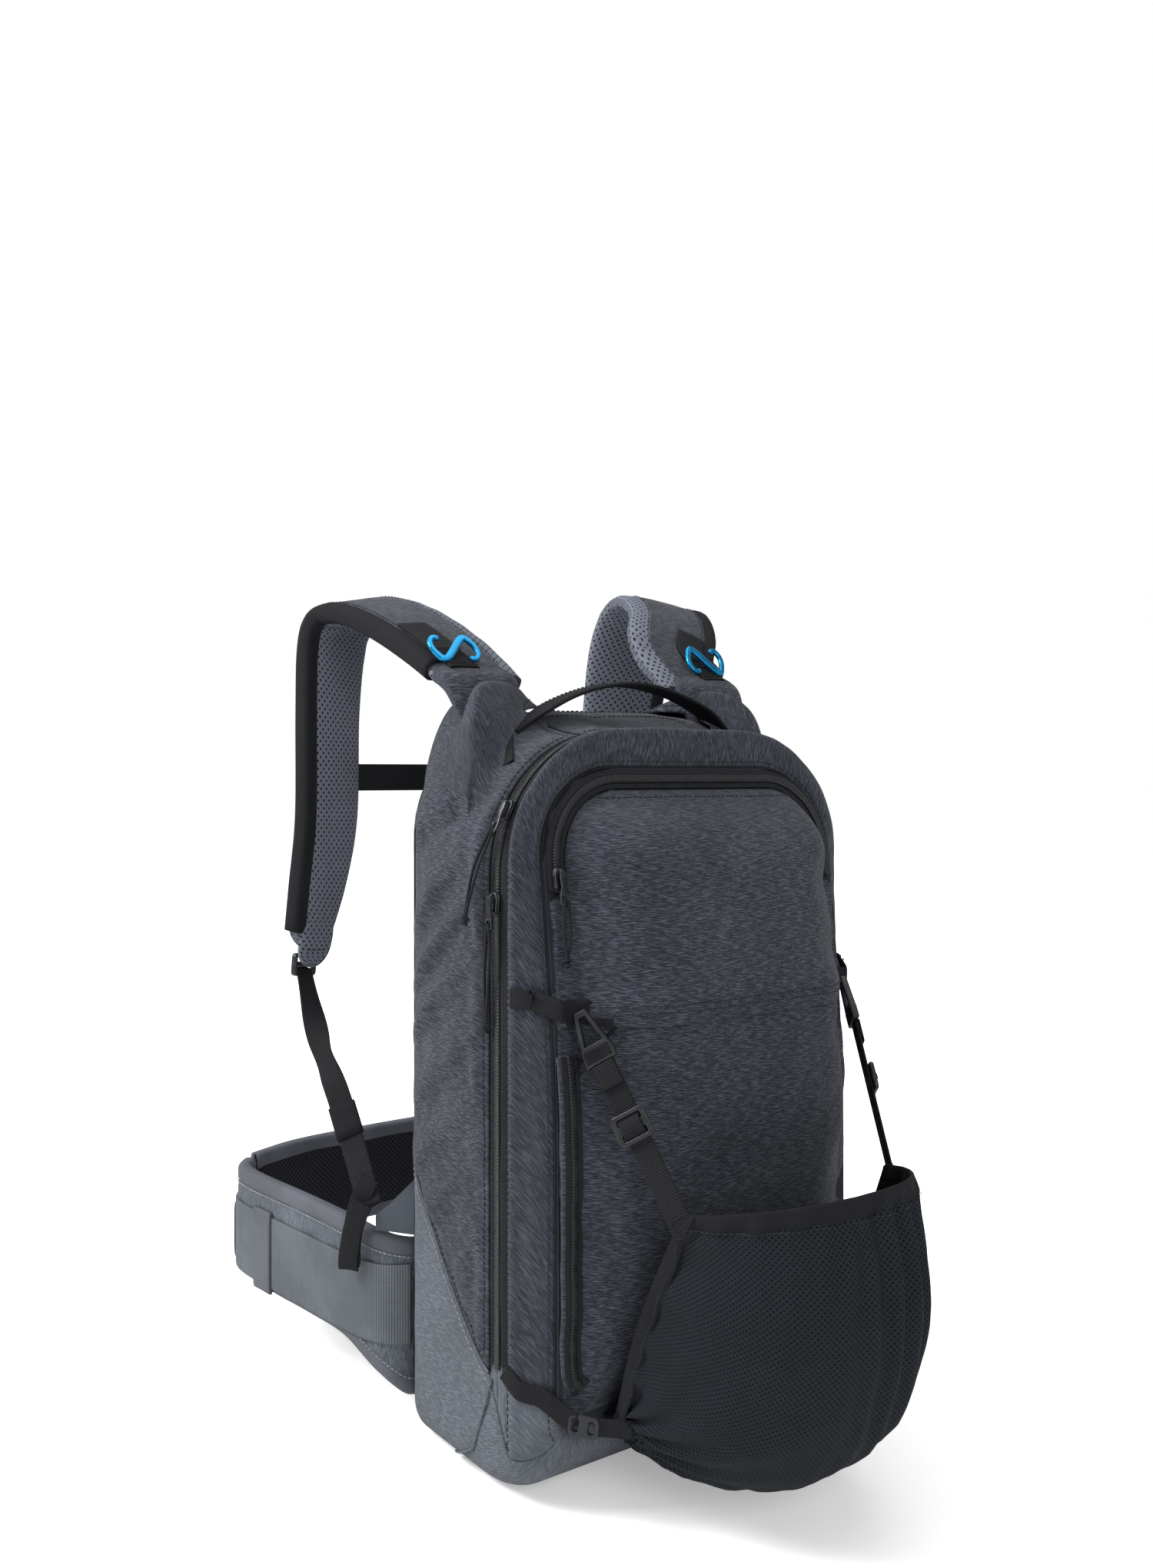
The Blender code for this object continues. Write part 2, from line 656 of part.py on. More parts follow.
def make_carrier_straps():
    for side, word in ((-1, "left"), (1, "right")):
        start, end, along, across, normal = strap_frame(side)

        def loop(u, v):
            z = POCKET_HEM - 0.004 + (v - 0.5) * WEBBING
            x = mix(face_half(z, LOOP_INNER), face_half(z, LOOP_OUTER), u)
            return face_point(side * x, z, proud=2.0 * SEAM + WEBBING_THICK)

        panel(f"hook_loop_{word}", loop, 6, 2, WEBBING_THICK, "black_webbing")
        hook_top = start + normal * (WEBBING_THICK + HOOK_THICK / 2.0)
        plate(f"upper_hook_{word}", hook_loops(), HOOK_THICK, axes_matrix(hook_top, across, -along), "plastic")
        strap_start = hook_top + along * (HOOK_LENGTH + CLEARANCE)
        strap_end = end + normal * 0.0014
        run = (strap_end - strap_start).normalized()
        flat = (normal - normal.dot(run) * run).normalized()
        sections = [flat_section(point, across, flat, WEBBING, WEBBING_THICK)
                    for point in (strap_start, strap_start.lerp(strap_end, 0.5), strap_end)]
        loft(f"upper_strap_{word}", sections, "black_webbing")
        middle = strap_start.lerp(strap_end, 0.40)
        ring = [rounded_loop(WEBBING + 0.007, 0.0075, 0.0015),
                rounded_loop(WEBBING + 2.0 * CLEARANCE, WEBBING_THICK + 2.0 * CLEARANCE, 0.0005, steps=1)]
        sleeve = axes_matrix(middle, across, flat)
        plate(f"adjuster_{word}", ring, 0.012, sleeve, "plastic")
        corner = Vector((side * (FACE_HALF - LOWER_HOOK_EDGE), FACE_Y - FABRIC - LOWER_HOOK_SETBACK,
                         FACE_BOTTOM + LOWER_HOOK_RISE))
        lower_loops = [rounded_loop(0.020, 0.014, 0.004), shifted(rounded_loop(0.0035, 0.008, 0.0012), -0.005, 0.0),
                       shifted(rounded_loop(0.0035, 0.008, 0.0012), 0.005, 0.0)]
        plate(f"lower_hook_{word}", lower_loops, 0.004,
              axes_matrix(corner, (side * 0.62, 0.78, 0.10), (0.0, 0.0, 1.0)), "plastic")


def make_sliders():
    tape_x = PACK_WIDTH / 2.0
    half, bottom, top, low_radius, high_radius = outline(ZIP_Y)
    stand_off = CLEARANCE + SLIDER_HEIGHT / 2.0
    arc_centre = Vector((-half + high_radius, ZIP_Y, top - high_radius))
    lower_z = top - high_radius - 0.016
    upper_angle = math.radians(26.0)
    pocket_x = -face_half(POCKET_ZIP_END, POCKET_TAPE / 2.0)
    pocket_z = POCKET_ZIP_END + SLIDER_LENGTH / 2.0 + SEAM
    pocket_up = (face_point(pocket_x, pocket_z + 0.010) - face_point(pocket_x, pocket_z)).normalized()
    pocket_out = Vector((0.0, -pocket_up.z, pocket_up.y))
    places = (
        ("main_slider_lower", "main_pull_lower", Vector((-tape_x, ZIP_Y, lower_z)),
         Vector((-1.0, 0.0, 0.0)), Vector((0.0, 0.0, 1.0)), None),
        ("main_slider_upper", "main_pull_upper",
         arc_centre + high_radius * Vector((-math.cos(upper_angle), 0.0, math.sin(upper_angle))),
         Vector((-math.cos(upper_angle), 0.0, math.sin(upper_angle))),
         Vector((math.sin(upper_angle), 0.0, math.cos(upper_angle))), arc_centre),
        ("pocket_slider", "pocket_pull", face_point(pocket_x, pocket_z), pocket_out, pocket_up, None),
    )
    ends = {}
    for slider_name, pull_name, point, out, up, axis_point in places:
        centre = point + out * stand_off
        across = up.cross(out)
        bpy.ops.mesh.primitive_cube_add(size=1.0)
        slider = bpy.context.object
        slider.name = slider_name
        for owner in list(slider.users_collection):
            owner.objects.unlink(slider)
        slider.data.transform(Matrix.Diagonal((SLIDER_WIDTH, SLIDER_LENGTH, SLIDER_HEIGHT, 1.0)))
        slider.matrix_world = axes_matrix(centre, across, up)
        link_object(slider, "gunmetal")
        chamfer = slider.modifiers.new("edges", "BEVEL")
        chamfer.width = 0.0012
        chamfer.segments = 2
        if axis_point:
            set_pivot(slider, axis_point)
        hinge = centre + out * (SLIDER_HEIGHT / 2.0 + CLEARANCE + PULL_THICK / 2.0) + up * (SLIDER_LENGTH * 0.3)
        down = -up
        tab = rounded_loop(PULL_WIDTH, PULL_LENGTH, 0.0026)
        eye = rounded_loop(PULL_WIDTH - 0.0030, PULL_LENGTH * 0.36, 0.0014)
        reach = PULL_LENGTH - PULL_THICK / 2.0
        loops = [shifted(tab, 0.0, reach - PULL_LENGTH / 2.0), shifted(eye, 0.0, reach - PULL_LENGTH * 0.26)]
        plate(pull_name, loops, PULL_THICK, axes_matrix(hinge, across, down), "gunmetal")
        ends[pull_name] = hinge + down * (reach + 1.3 * CLEARANCE)
    return ends


def make_cords(ends):
    """Cord on each pull: from just below the tab, hanging against the pack."""
    drop = Vector((0.0, 0.0, CLEARANCE))
    routes = {
        "main_cord_upper": (ends["main_pull_upper"], ((0.0, 0.0, 0.0), (0.0010, 0.006, -0.010), (0.0020, 0.017, -0.026),
                                                      (0.0022, 0.027, -0.044), (0.0022, 0.034, -0.060))),
        "main_cord_lower": (ends["main_pull_lower"], ((0.0, 0.0, 0.0), (0.0006, 0.001, -0.014), (0.0014, 0.004, -0.030),
                                                      (0.0018, 0.006, -0.048), (0.0018, 0.007, -0.066))),
        "pocket_cord": (ends["pocket_pull"], ((0.0, 0.0, 0.0), (-0.0004, -0.0016, -0.010), (-0.0006, -0.0028, -0.020),
                                              (-0.0006, -0.0036, -0.030), (-0.0010, -0.0040, -0.038))),
    }
    for name, (start, steps) in routes.items():
        base = start - drop
        curve = bpy.data.curves.new(name, "CURVE")
        curve.dimensions = "3D"
        curve.bevel_depth = CORD_DIAMETER / 2.0
        curve.bevel_resolution = 2
        curve.use_fill_caps = True
        route = spline(steps, 12)
        thread = curve.splines.new("POLY")
        thread.points.add(len(route) - 1)
        for point, place in zip(thread.points, route):
            point.co = (*(base + place), 1.0)
        link_object(bpy.data.objects.new(name, curve), "cord")


# Harness

# Each route is written for the left side: across, depth, height and width
LEFT_ROUTE = (
    (-0.1020, HARNESS_AXIS_Y, HARNESS_AXIS_Z, 0.066), (-0.1030, 0.088, HARNESS_AXIS_Z + 0.024, 0.070),
    (-0.1070, 0.132, HARNESS_AXIS_Z + 0.0455, 0.075), (-0.1110, 0.174, HARNESS_AXIS_Z + 0.0605, 0.077),
    (-0.1155, 0.204, HARNESS_AXIS_Z + 0.0655, 0.077), (-0.1210, 0.223, HARNESS_AXIS_Z + 0.058, 0.077),
    (-0.1250, 0.231, HARNESS_AXIS_Z + 0.033, 0.074), (-0.1280, 0.231, HARNESS_AXIS_Z - 0.018, 0.068),
    (-0.1290, 0.231, HARNESS_AXIS_Z - 0.098, 0.066), (-0.1350, 0.235, HARNESS_AXIS_Z - 0.153, 0.058),
    (-0.1430, 0.240, HARNESS_AXIS_Z - 0.201, 0.040),
)
RIGHT_ROUTE = (
    (-0.0980, HARNESS_AXIS_Y, HARNESS_AXIS_Z, 0.074), (-0.0980, 0.079, HARNESS_AXIS_Z + 0.03, 0.074),
    (-0.1240, 0.109, HARNESS_AXIS_Z + 0.057, 0.075), (-0.1385, 0.136, HARNESS_AXIS_Z + 0.0735, 0.077),
    (-0.1460, 0.160, HARNESS_AXIS_Z + 0.077, 0.077), (-0.1490, 0.182, HARNESS_AXIS_Z + 0.066, 0.077),
    (-0.1480, 0.197, HARNESS_AXIS_Z + 0.037, 0.074), (-0.1430, 0.204, HARNESS_AXIS_Z - 0.018, 0.068),
    (-0.1370, 0.208, HARNESS_AXIS_Z - 0.098, 0.066), (-0.1340, 0.216, HARNESS_AXIS_Z - 0.153, 0.058),
    (-0.1340, 0.223, HARNESS_AXIS_Z - 0.201, 0.040),
)
STRAP_ACROSS = ((1.0, 0.0, 0.0), (1.0, 0.06, 0.10), (1.0, 0.18, 0.16), (1.0, 0.30, 0.20), (1.0, 0.40, 0.20),
                (1.0, 0.45, 0.12), (1.0, 0.48, 0.0), (1.0, 0.48, 0.0), (1.0, 0.48, 0.0), (1.0, 0.46, 0.0),
                (1.0, 0.45, 0.0))


def strap_section(side, share):
    """Centre, width direction, outward normal and width of a strap, as if it were the left one."""
    steps = 60
    route = spline(LEFT_ROUTE if side < 0 else RIGHT_ROUTE, steps)
    across = spline(STRAP_ACROSS, steps)
    place = min(int(share * steps), steps - 1)
    part = share * steps - place
    here = route[place].lerp(route[place + 1], part)
    tangent = (route[place + 1] - route[place]).xyz.normalized()
    width_way = across[place].lerp(across[place + 1], part)
    width_way = (width_way - width_way.dot(tangent) * tangent).normalized()
    return here.xyz, width_way, width_way.cross(tangent).normalized(), here.w


def mirrored_points(points, side):
    return [point if side < 0 else mirrored(point) for point in points]


def make_shoulder_straps():
    half = STRAP_THICK / 2.0
    axis = Vector((0.0, HARNESS_AXIS_Y, HARNESS_AXIS_Z))
    for side, word in ((-1, "left"), (1, "right")):
        sections = []
        centre, across, normal, width = strap_section(side, 0.0)
        tangent = normal.cross(across)
        for angle in (80.0, 45.0):
            turn = math.radians(angle)
            end = centre - tangent * half * math.sin(turn)
            sections.append(oval(end, across, normal, width / 2.0, half * math.cos(turn)))
        for index in range(21):
            centre, across, normal, width = strap_section(side, index / 20.0)
            sections.append(oval(centre, across, normal, width / 2.0, half))
        centre, across, normal, width = strap_section(side, 1.0)
        tangent = normal.cross(across)
        sections.append(oval(centre + tangent * half * 0.8, across, normal, width * 0.36, half * 0.6))
        strap = loft(f"shoulder_strap_{word}", [mirrored_points(section, side) for section in sections], "foam_mesh")
        set_pivot(strap, axis)


def link_outline():
    """Double hook: an oval ring with a bar across it and a gap above and below."""
    length = LINK_LENGTH / 2.0
    height = LINK_HEIGHT / 2.0
    bar = LINK_BAR / 2.0
    gap = 0.0075

    def ring(half_length, half_height, angle):
        cosine = math.cos(angle)
        sine = math.sin(angle)
        return (math.copysign(half_length * abs(cosine) ** 0.75, cosine),
                math.copysign(half_height * abs(sine) ** 0.75, sine))

    def angle_at_x(half_length, x):
        return math.acos((x / half_length) ** (1.0 / 0.75))

    def angle_at_y(half_height, y):
        return math.asin((y / half_height) ** (1.0 / 0.75))

    inner_length = length - LINK_BAR
    inner_height = height - LINK_BAR
    outer_start = angle_at_x(length, gap)
    inner_start = angle_at_x(inner_length, gap)
    inner_end = angle_at_y(inner_height, bar)
    quarter = []
    for step in range(7):
        quarter.append(ring(length, height, mix(outer_start, -outer_start, step / 6.0)))
    for step in range(4):
        quarter.append(ring(inner_length, inner_height, -mix(inner_start, inner_end, step / 3.0)))
    left = [(-x, -y) for x, y in quarter]
    return quarter + left


def make_links():
    share = 0.052
    outboard = 0.014
    for side, word in ((-1, "left"), (1, "right")):
        centre, across, normal, width = strap_section(side, share)
        tangent = normal.cross(across)
        lift = STRAP_THICK / 2.0 + CLEARANCE + LINK_THICK / 2.0
        hinge = centre + normal * lift - across * outboard - tangent * LINK_HEIGHT / 2.0
        if side > 0:
            hinge = mirrored(hinge)
            across = mirrored(across)
            tangent = mirrored(tangent)
        ring = shifted(link_outline(), 0.0, LINK_HEIGHT / 2.0)
        plate(f"strap_link_{word}", [ring], LINK_THICK, axes_matrix(hinge, across, tangent), "blue_alloy")
        sections = []
        for step in range(7):
            here, way, out, size = strap_section(side, share + 0.030 + 0.012 * step)
            place = here + out * (STRAP_THICK / 2.0 + CLEARANCE + 0.0012) - way * outboard
            sections.append(mirrored_points(flat_section(place, way, out, 0.022, 0.0024), side))
        loft(f"link_webbing_{word}", sections, "black_webbing")


def make_yokes():
    """Shoulder of the pack: climbs from the top of the body to the seat of each strap."""
    half = STRAP_THICK / 2.0
    seat = half + SEAT_GAP
    climb = 0.70
    front_lip = HARNESS_AXIS_Y - seat - 0.0006
    depths = [0.004, 0.012, 0.020, 0.028, front_lip, HARNESS_AXIS_Y - seat]
    depths += [HARNESS_AXIS_Y - seat * share for share in (0.85, 0.5, 0.0)]
    depths += [0.058, 0.068, BACK_Y - 0.008]
    columns = 10

    def height(depth):
        if depth <= front_lip:
            return HARNESS_AXIS_Z + half * 0.6 - climb * (front_lip - depth)
        if depth <= HARNESS_AXIS_Y:
            return HARNESS_AXIS_Z - math.sqrt(max(seat ** 2 - (HARNESS_AXIS_Y - depth) ** 2, 0.0))
        return mix(HARNESS_AXIS_Z - seat, HARNESS_AXIS_Z - seat - 0.010,
                   (depth - HARNESS_AXIS_Y) / (BACK_Y - HARNESS_AXIS_Y))

    def foot(u, v):
        depth = depths[round(v * (len(depths) - 1))]
        inner = mix(0.398, 0.442, ease((depth - depths[0]) / 0.036))
        return rim(depth, mix(0.372, inner, u), inset=-3.5 * CLEARANCE)

    def crown(u, v):
        below = foot(u, v)
        outer = ease(u / 0.55)
        flank = outer * ease((1.0 - u) / 0.35)
        rise = max(height(below.y) - below.z - FABRIC, 0.0) * flank
        return below + Vector((0.0, 0.0, FABRIC + rise))

    for side, word in ((-1, "left"), (1, "right")):
        def placed(surface, direction=side):
            return (lambda u, v: surface(u, v)) if direction < 0 else (lambda u, v: mirrored(surface(u, v)))

        cushion(f"yoke_{word}", placed(crown), placed(foot), columns, len(depths) - 1, "charcoal_cloth")


def make_lower_webbing():
    for side, word in ((-1, "left"), (1, "right")):
        centre, across, normal, width = strap_section(side, 1.0)
        tangent = normal.cross(across)
        lock_height = 0.018
        lock = centre + tangent * (STRAP_THICK * 0.4 + CLEARANCE + lock_height / 2.0)
        loops = [rounded_loop(0.026, lock_height, 0.003), shifted(rounded_loop(0.020, 0.0035, 0.001), 0.0, 0.0040),
                 shifted(rounded_loop(0.020, 0.0035, 0.001), 0.0, -0.0040)]
        place = lock if side < 0 else mirrored(lock)
        way = across if side < 0 else mirrored(across)
        plate(f"ladder_lock_{word}", loops, 0.005, axes_matrix(place, way, (0.0, 0.0, 1.0)), "plastic")
        start = lock + tangent * (lock_height / 2.0 + 8.0 * CLEARANCE)
        finish_point = Vector((-0.1580, 0.1035, 0.1520))
        bend = start.lerp(finish_point, 0.5) + Vector((0.0, -0.012, -0.010))
        route = spline((start, start.lerp(bend, 0.5) + Vector((0.0, 0.0, -0.004)), bend, finish_point), 10)
        sections = []
        for index, point in enumerate(route):
            turn = across.lerp(Vector((0.62, -0.70, 0.30)), ease(index / 10.0)).normalized()
            ahead = (route[min(index + 1, 10)] - route[max(index - 1, 0)]).normalized()
            turn = (turn - turn.dot(ahead) * ahead).normalized()
            sections.append(mirrored_points(flat_section(point, turn, turn.cross(ahead), 0.018, 0.0018), side))
        loft(f"lower_webbing_{word}", sections, "black_webbing")
        corner = rim(BACK_Y - 0.006, side_share(BACK_Y - 0.006, 0.150))
        outward = Vector((-0.69, 0.72, 0.0)).normalized()
        root = Vector((corner.x, corner.y, 0.0)) + outward * 2.0 * CLEARANCE
        triangle = [(0.0, 0.135), (0.0, 0.174), (0.020, 0.154), (0.0285, 0.147), (0.0285, 0.137)]
        base = root if side < 0 else mirrored(root)
        lead = outward if side < 0 else mirrored(outward)
        plate(f"strap_anchor_{word}", [triangle], 0.003, axes_matrix(base, lead, (0.0, 0.0, 1.0)), "grey_cloth")


def make_sternum():
    share = 0.750
    ends = []
    for side in (-1, 1):
        centre, across, normal, width = strap_section(side, share)
        edge = centre + across * (width / 2.0 + 4.0 * CLEARANCE)
        edge.z = STERNUM_Z
        ends.append(edge if side < 0 else mirrored(edge))
    run = (ends[1] - ends[0]).normalized()
    up = Vector((0.0, 0.0, 1.0))
    out = up.cross(run)
    middle = ends[0].lerp(ends[1], 0.5)
    buckle = 0.022
    for end, direction, word in ((ends[0], -run, "left"), (ends[1], run, "right")):
        points = [end, end.lerp(middle + direction * buckle, 0.5), middle + direction * buckle]
        sections = [flat_section(point, up, out, STERNUM_WEBBING, 0.0018) for point in points]
        loft(f"sternum_webbing_{word}", sections, "black_webbing")
    shell = [rounded_loop(0.026, 0.0095, 0.003), rounded_loop(0.0195, 0.0050, 0.001, steps=1)]
    plate("sternum_buckle_female", shell, 0.0230, axes_matrix(middle + run * 0.010, up, out), "plastic")
    prong = [(-0.0216, -0.0120), (-0.0216, 0.0120), (-0.0050, 0.0120), (-0.0020, 0.0085), (0.0140, 0.0090),
             (0.0165, 0.0075), (0.0140, 0.0055), (0.0010, 0.0050), (0.0010, 0.0018), (0.0150, 0.0012),
             (0.0150, -0.0012), (0.0010, -0.0018), (0.0010, -0.0050), (0.0140, -0.0055), (0.0165, -0.0075),
             (0.0140, -0.0090), (-0.0020, -0.0085), (-0.0050, -0.0120)]
    plate("sternum_buckle_male", [prong], 0.0036, axes_matrix(middle, run, up), "plastic")


# Hip belt: along the waist, with the low and high edge at each point
BELT_ROOT = ((-0.118, BACK_Y + CLEARANCE * 2 + BELT_THICK / 2, 0.020, 0.126), (-0.135, 0.0932, 0.020, 0.128),
             (-0.1490, 0.1050, 0.035, 0.132), (-0.1570, 0.140, 0.051, 0.136), (-0.1625, 0.190, 0.053, 0.137),
             (-0.1680, 0.240, 0.053, 0.137), (-0.1715, 0.280, 0.055, 0.137))
BELT_LEFT_END = ((-0.1690, 0.305, 0.058, 0.137), (-0.1575, 0.3225, 0.062, 0.136))
BELT_RIGHT_END = ((-0.1690, 0.305, 0.056, 0.138), (-0.1500, 0.328, 0.057, 0.138), (-0.110, 0.342, 0.058, 0.138),
                  (-0.055, 0.349, 0.058, 0.138), (0.0, 0.351, 0.058, 0.138), (0.055, 0.349, 0.058, 0.138),
                  (0.108, 0.343, 0.058, 0.138), (0.1520, 0.3285, 0.062, 0.137))


def belt_sections(route, count, low=None, high=None, offset=0.0, thickness=BELT_THICK, first=0, last=None):
    samples = spline(route, count)
    last = count if last is None else last
    sections = []
    up = Vector((0.0, 0.0, 1.0))
    for index in range(first, last + 1):
        here = samples[index]
        ahead = samples[min(index + 1, count)] - samples[max(index - 1, 0)]
        out = Vector((-ahead[1], ahead[0], 0.0)).normalized()
        bottom = here[2] if low is None else low
        top = here[3] if high is None else high
        centre = Vector((here[0], here[1], (bottom + top) / 2.0)) + out * offset
        sections.append(oval(centre, up, out, (top - bottom) / 2.0, thickness / 2.0, sides=8, squareness=5.0))
    return sections


def make_belt():
    axis = Vector((-0.135, 0.0932, 0.0))
    for side, word, tail, count in ((-1, "left", BELT_LEFT_END, 18), (1, "right", BELT_RIGHT_END, 30)):
        route = BELT_ROOT + tail
        wing = loft(f"belt_wing_{word}", [mirrored_points(section, side) for section in belt_sections(route, count)],
                    "grey_cloth")
        pivot = axis if side < 0 else mirrored(axis)
        set_pivot(wing, pivot)
        proud = BELT_THICK / 2.0 + CLEARANCE + ELASTIC_THICK / 2.0
        strip = belt_sections(route, count, ELASTIC_LOW, ELASTIC_HIGH, proud, ELASTIC_THICK, 5, 17)
        band = loft(f"belt_elastic_{word}", [mirrored_points(section, side) for section in strip], "belt_elastic")
        set_pivot(band, pivot)


def make_handle():
    foot = rim(HANDLE_Y, 0.0)
    half, bottom, top, low_radius, high_radius = outline(HANDLE_Y)
    drop = high_radius - math.sqrt(high_radius ** 2 - (HANDLE_SPAN - half + high_radius) ** 2)
    end_z = top - drop + HANDLE_THICK / 2.0 + 3.0 * CLEARANCE
    sections = []
    count = 16
    for index in range(count + 1):
        x = mix(-HANDLE_SPAN, HANDLE_SPAN, index / count)
        share = x / HANDLE_SPAN
        slope = -2.0 * HANDLE_RISE * share / HANDLE_SPAN
        normal = Vector((-slope, 0.0, 1.0)).normalized()
        width = mix(HANDLE_END_WIDTH, HANDLE_WIDTH, ease((1.0 - abs(share)) / 0.35))
        centre = Vector((x, foot.y, end_z + HANDLE_RISE * (1.0 - share ** 2)))
        sections.append(oval(centre, Vector((0.0, 1.0, 0.0)), normal, width / 2.0, HANDLE_THICK / 2.0, sides=8))
    set_pivot(loft("haul_handle", sections, "black_webbing"), Vector((0.0, HANDLE_Y, end_z)))


def hang(name, point, pieces):
    """Parent the pieces of one moving body to an empty on its joint axis."""
    pivot = bpy.data.objects.new(name, None)
    pivot.location = point
    PARTS.objects.link(pivot)
    for piece in pieces:
        child = bpy.data.objects[piece]
        child.parent = pivot
        child.matrix_parent_inverse = Matrix.Translation(-Vector(point))


def both_sides(names):
    return [f"{name}_{word}" for name in names for word in ("left", "right")]


def main():
    make_body_panels()
    make_zip_tapes()
    make_back()
    make_lid()
    make_net()
    make_carrier_straps()
    make_cords(make_sliders())
    make_shoulder_straps()
    make_links()
    make_yokes()
    make_lower_webbing()
    make_sternum()
    make_belt()
    make_handle()
    lid = ["lid_gusset", "front_panel", "front_pocket", "pocket_zip_tape", "lower_pocket", "main_zip_tape_lid",
           "carrier_net"]
    lid += both_sides(("hook_loop", "upper_hook", "upper_strap", "lower_hook"))
    hang("lid_hinge", (0.0, FACE_Y - FABRIC / 2.0, FACE_BOTTOM), lid)
    harness = both_sides(("shoulder_strap", "link_webbing", "ladder_lock", "lower_webbing"))
    hang("harness_hinge", (0.0, HARNESS_AXIS_Y, HARNESS_AXIS_Z), harness)


clear_scene()
PARTS = collection("trail_backpack")
main()
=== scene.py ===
"""Dressed trail backpack: cloth panels, webbing, zips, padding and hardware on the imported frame."""
from __future__ import annotations

import json
import logging
import math
from dataclasses import dataclass
from enum import Enum
from pathlib import Path
from typing import Callable, Iterable, Sequence

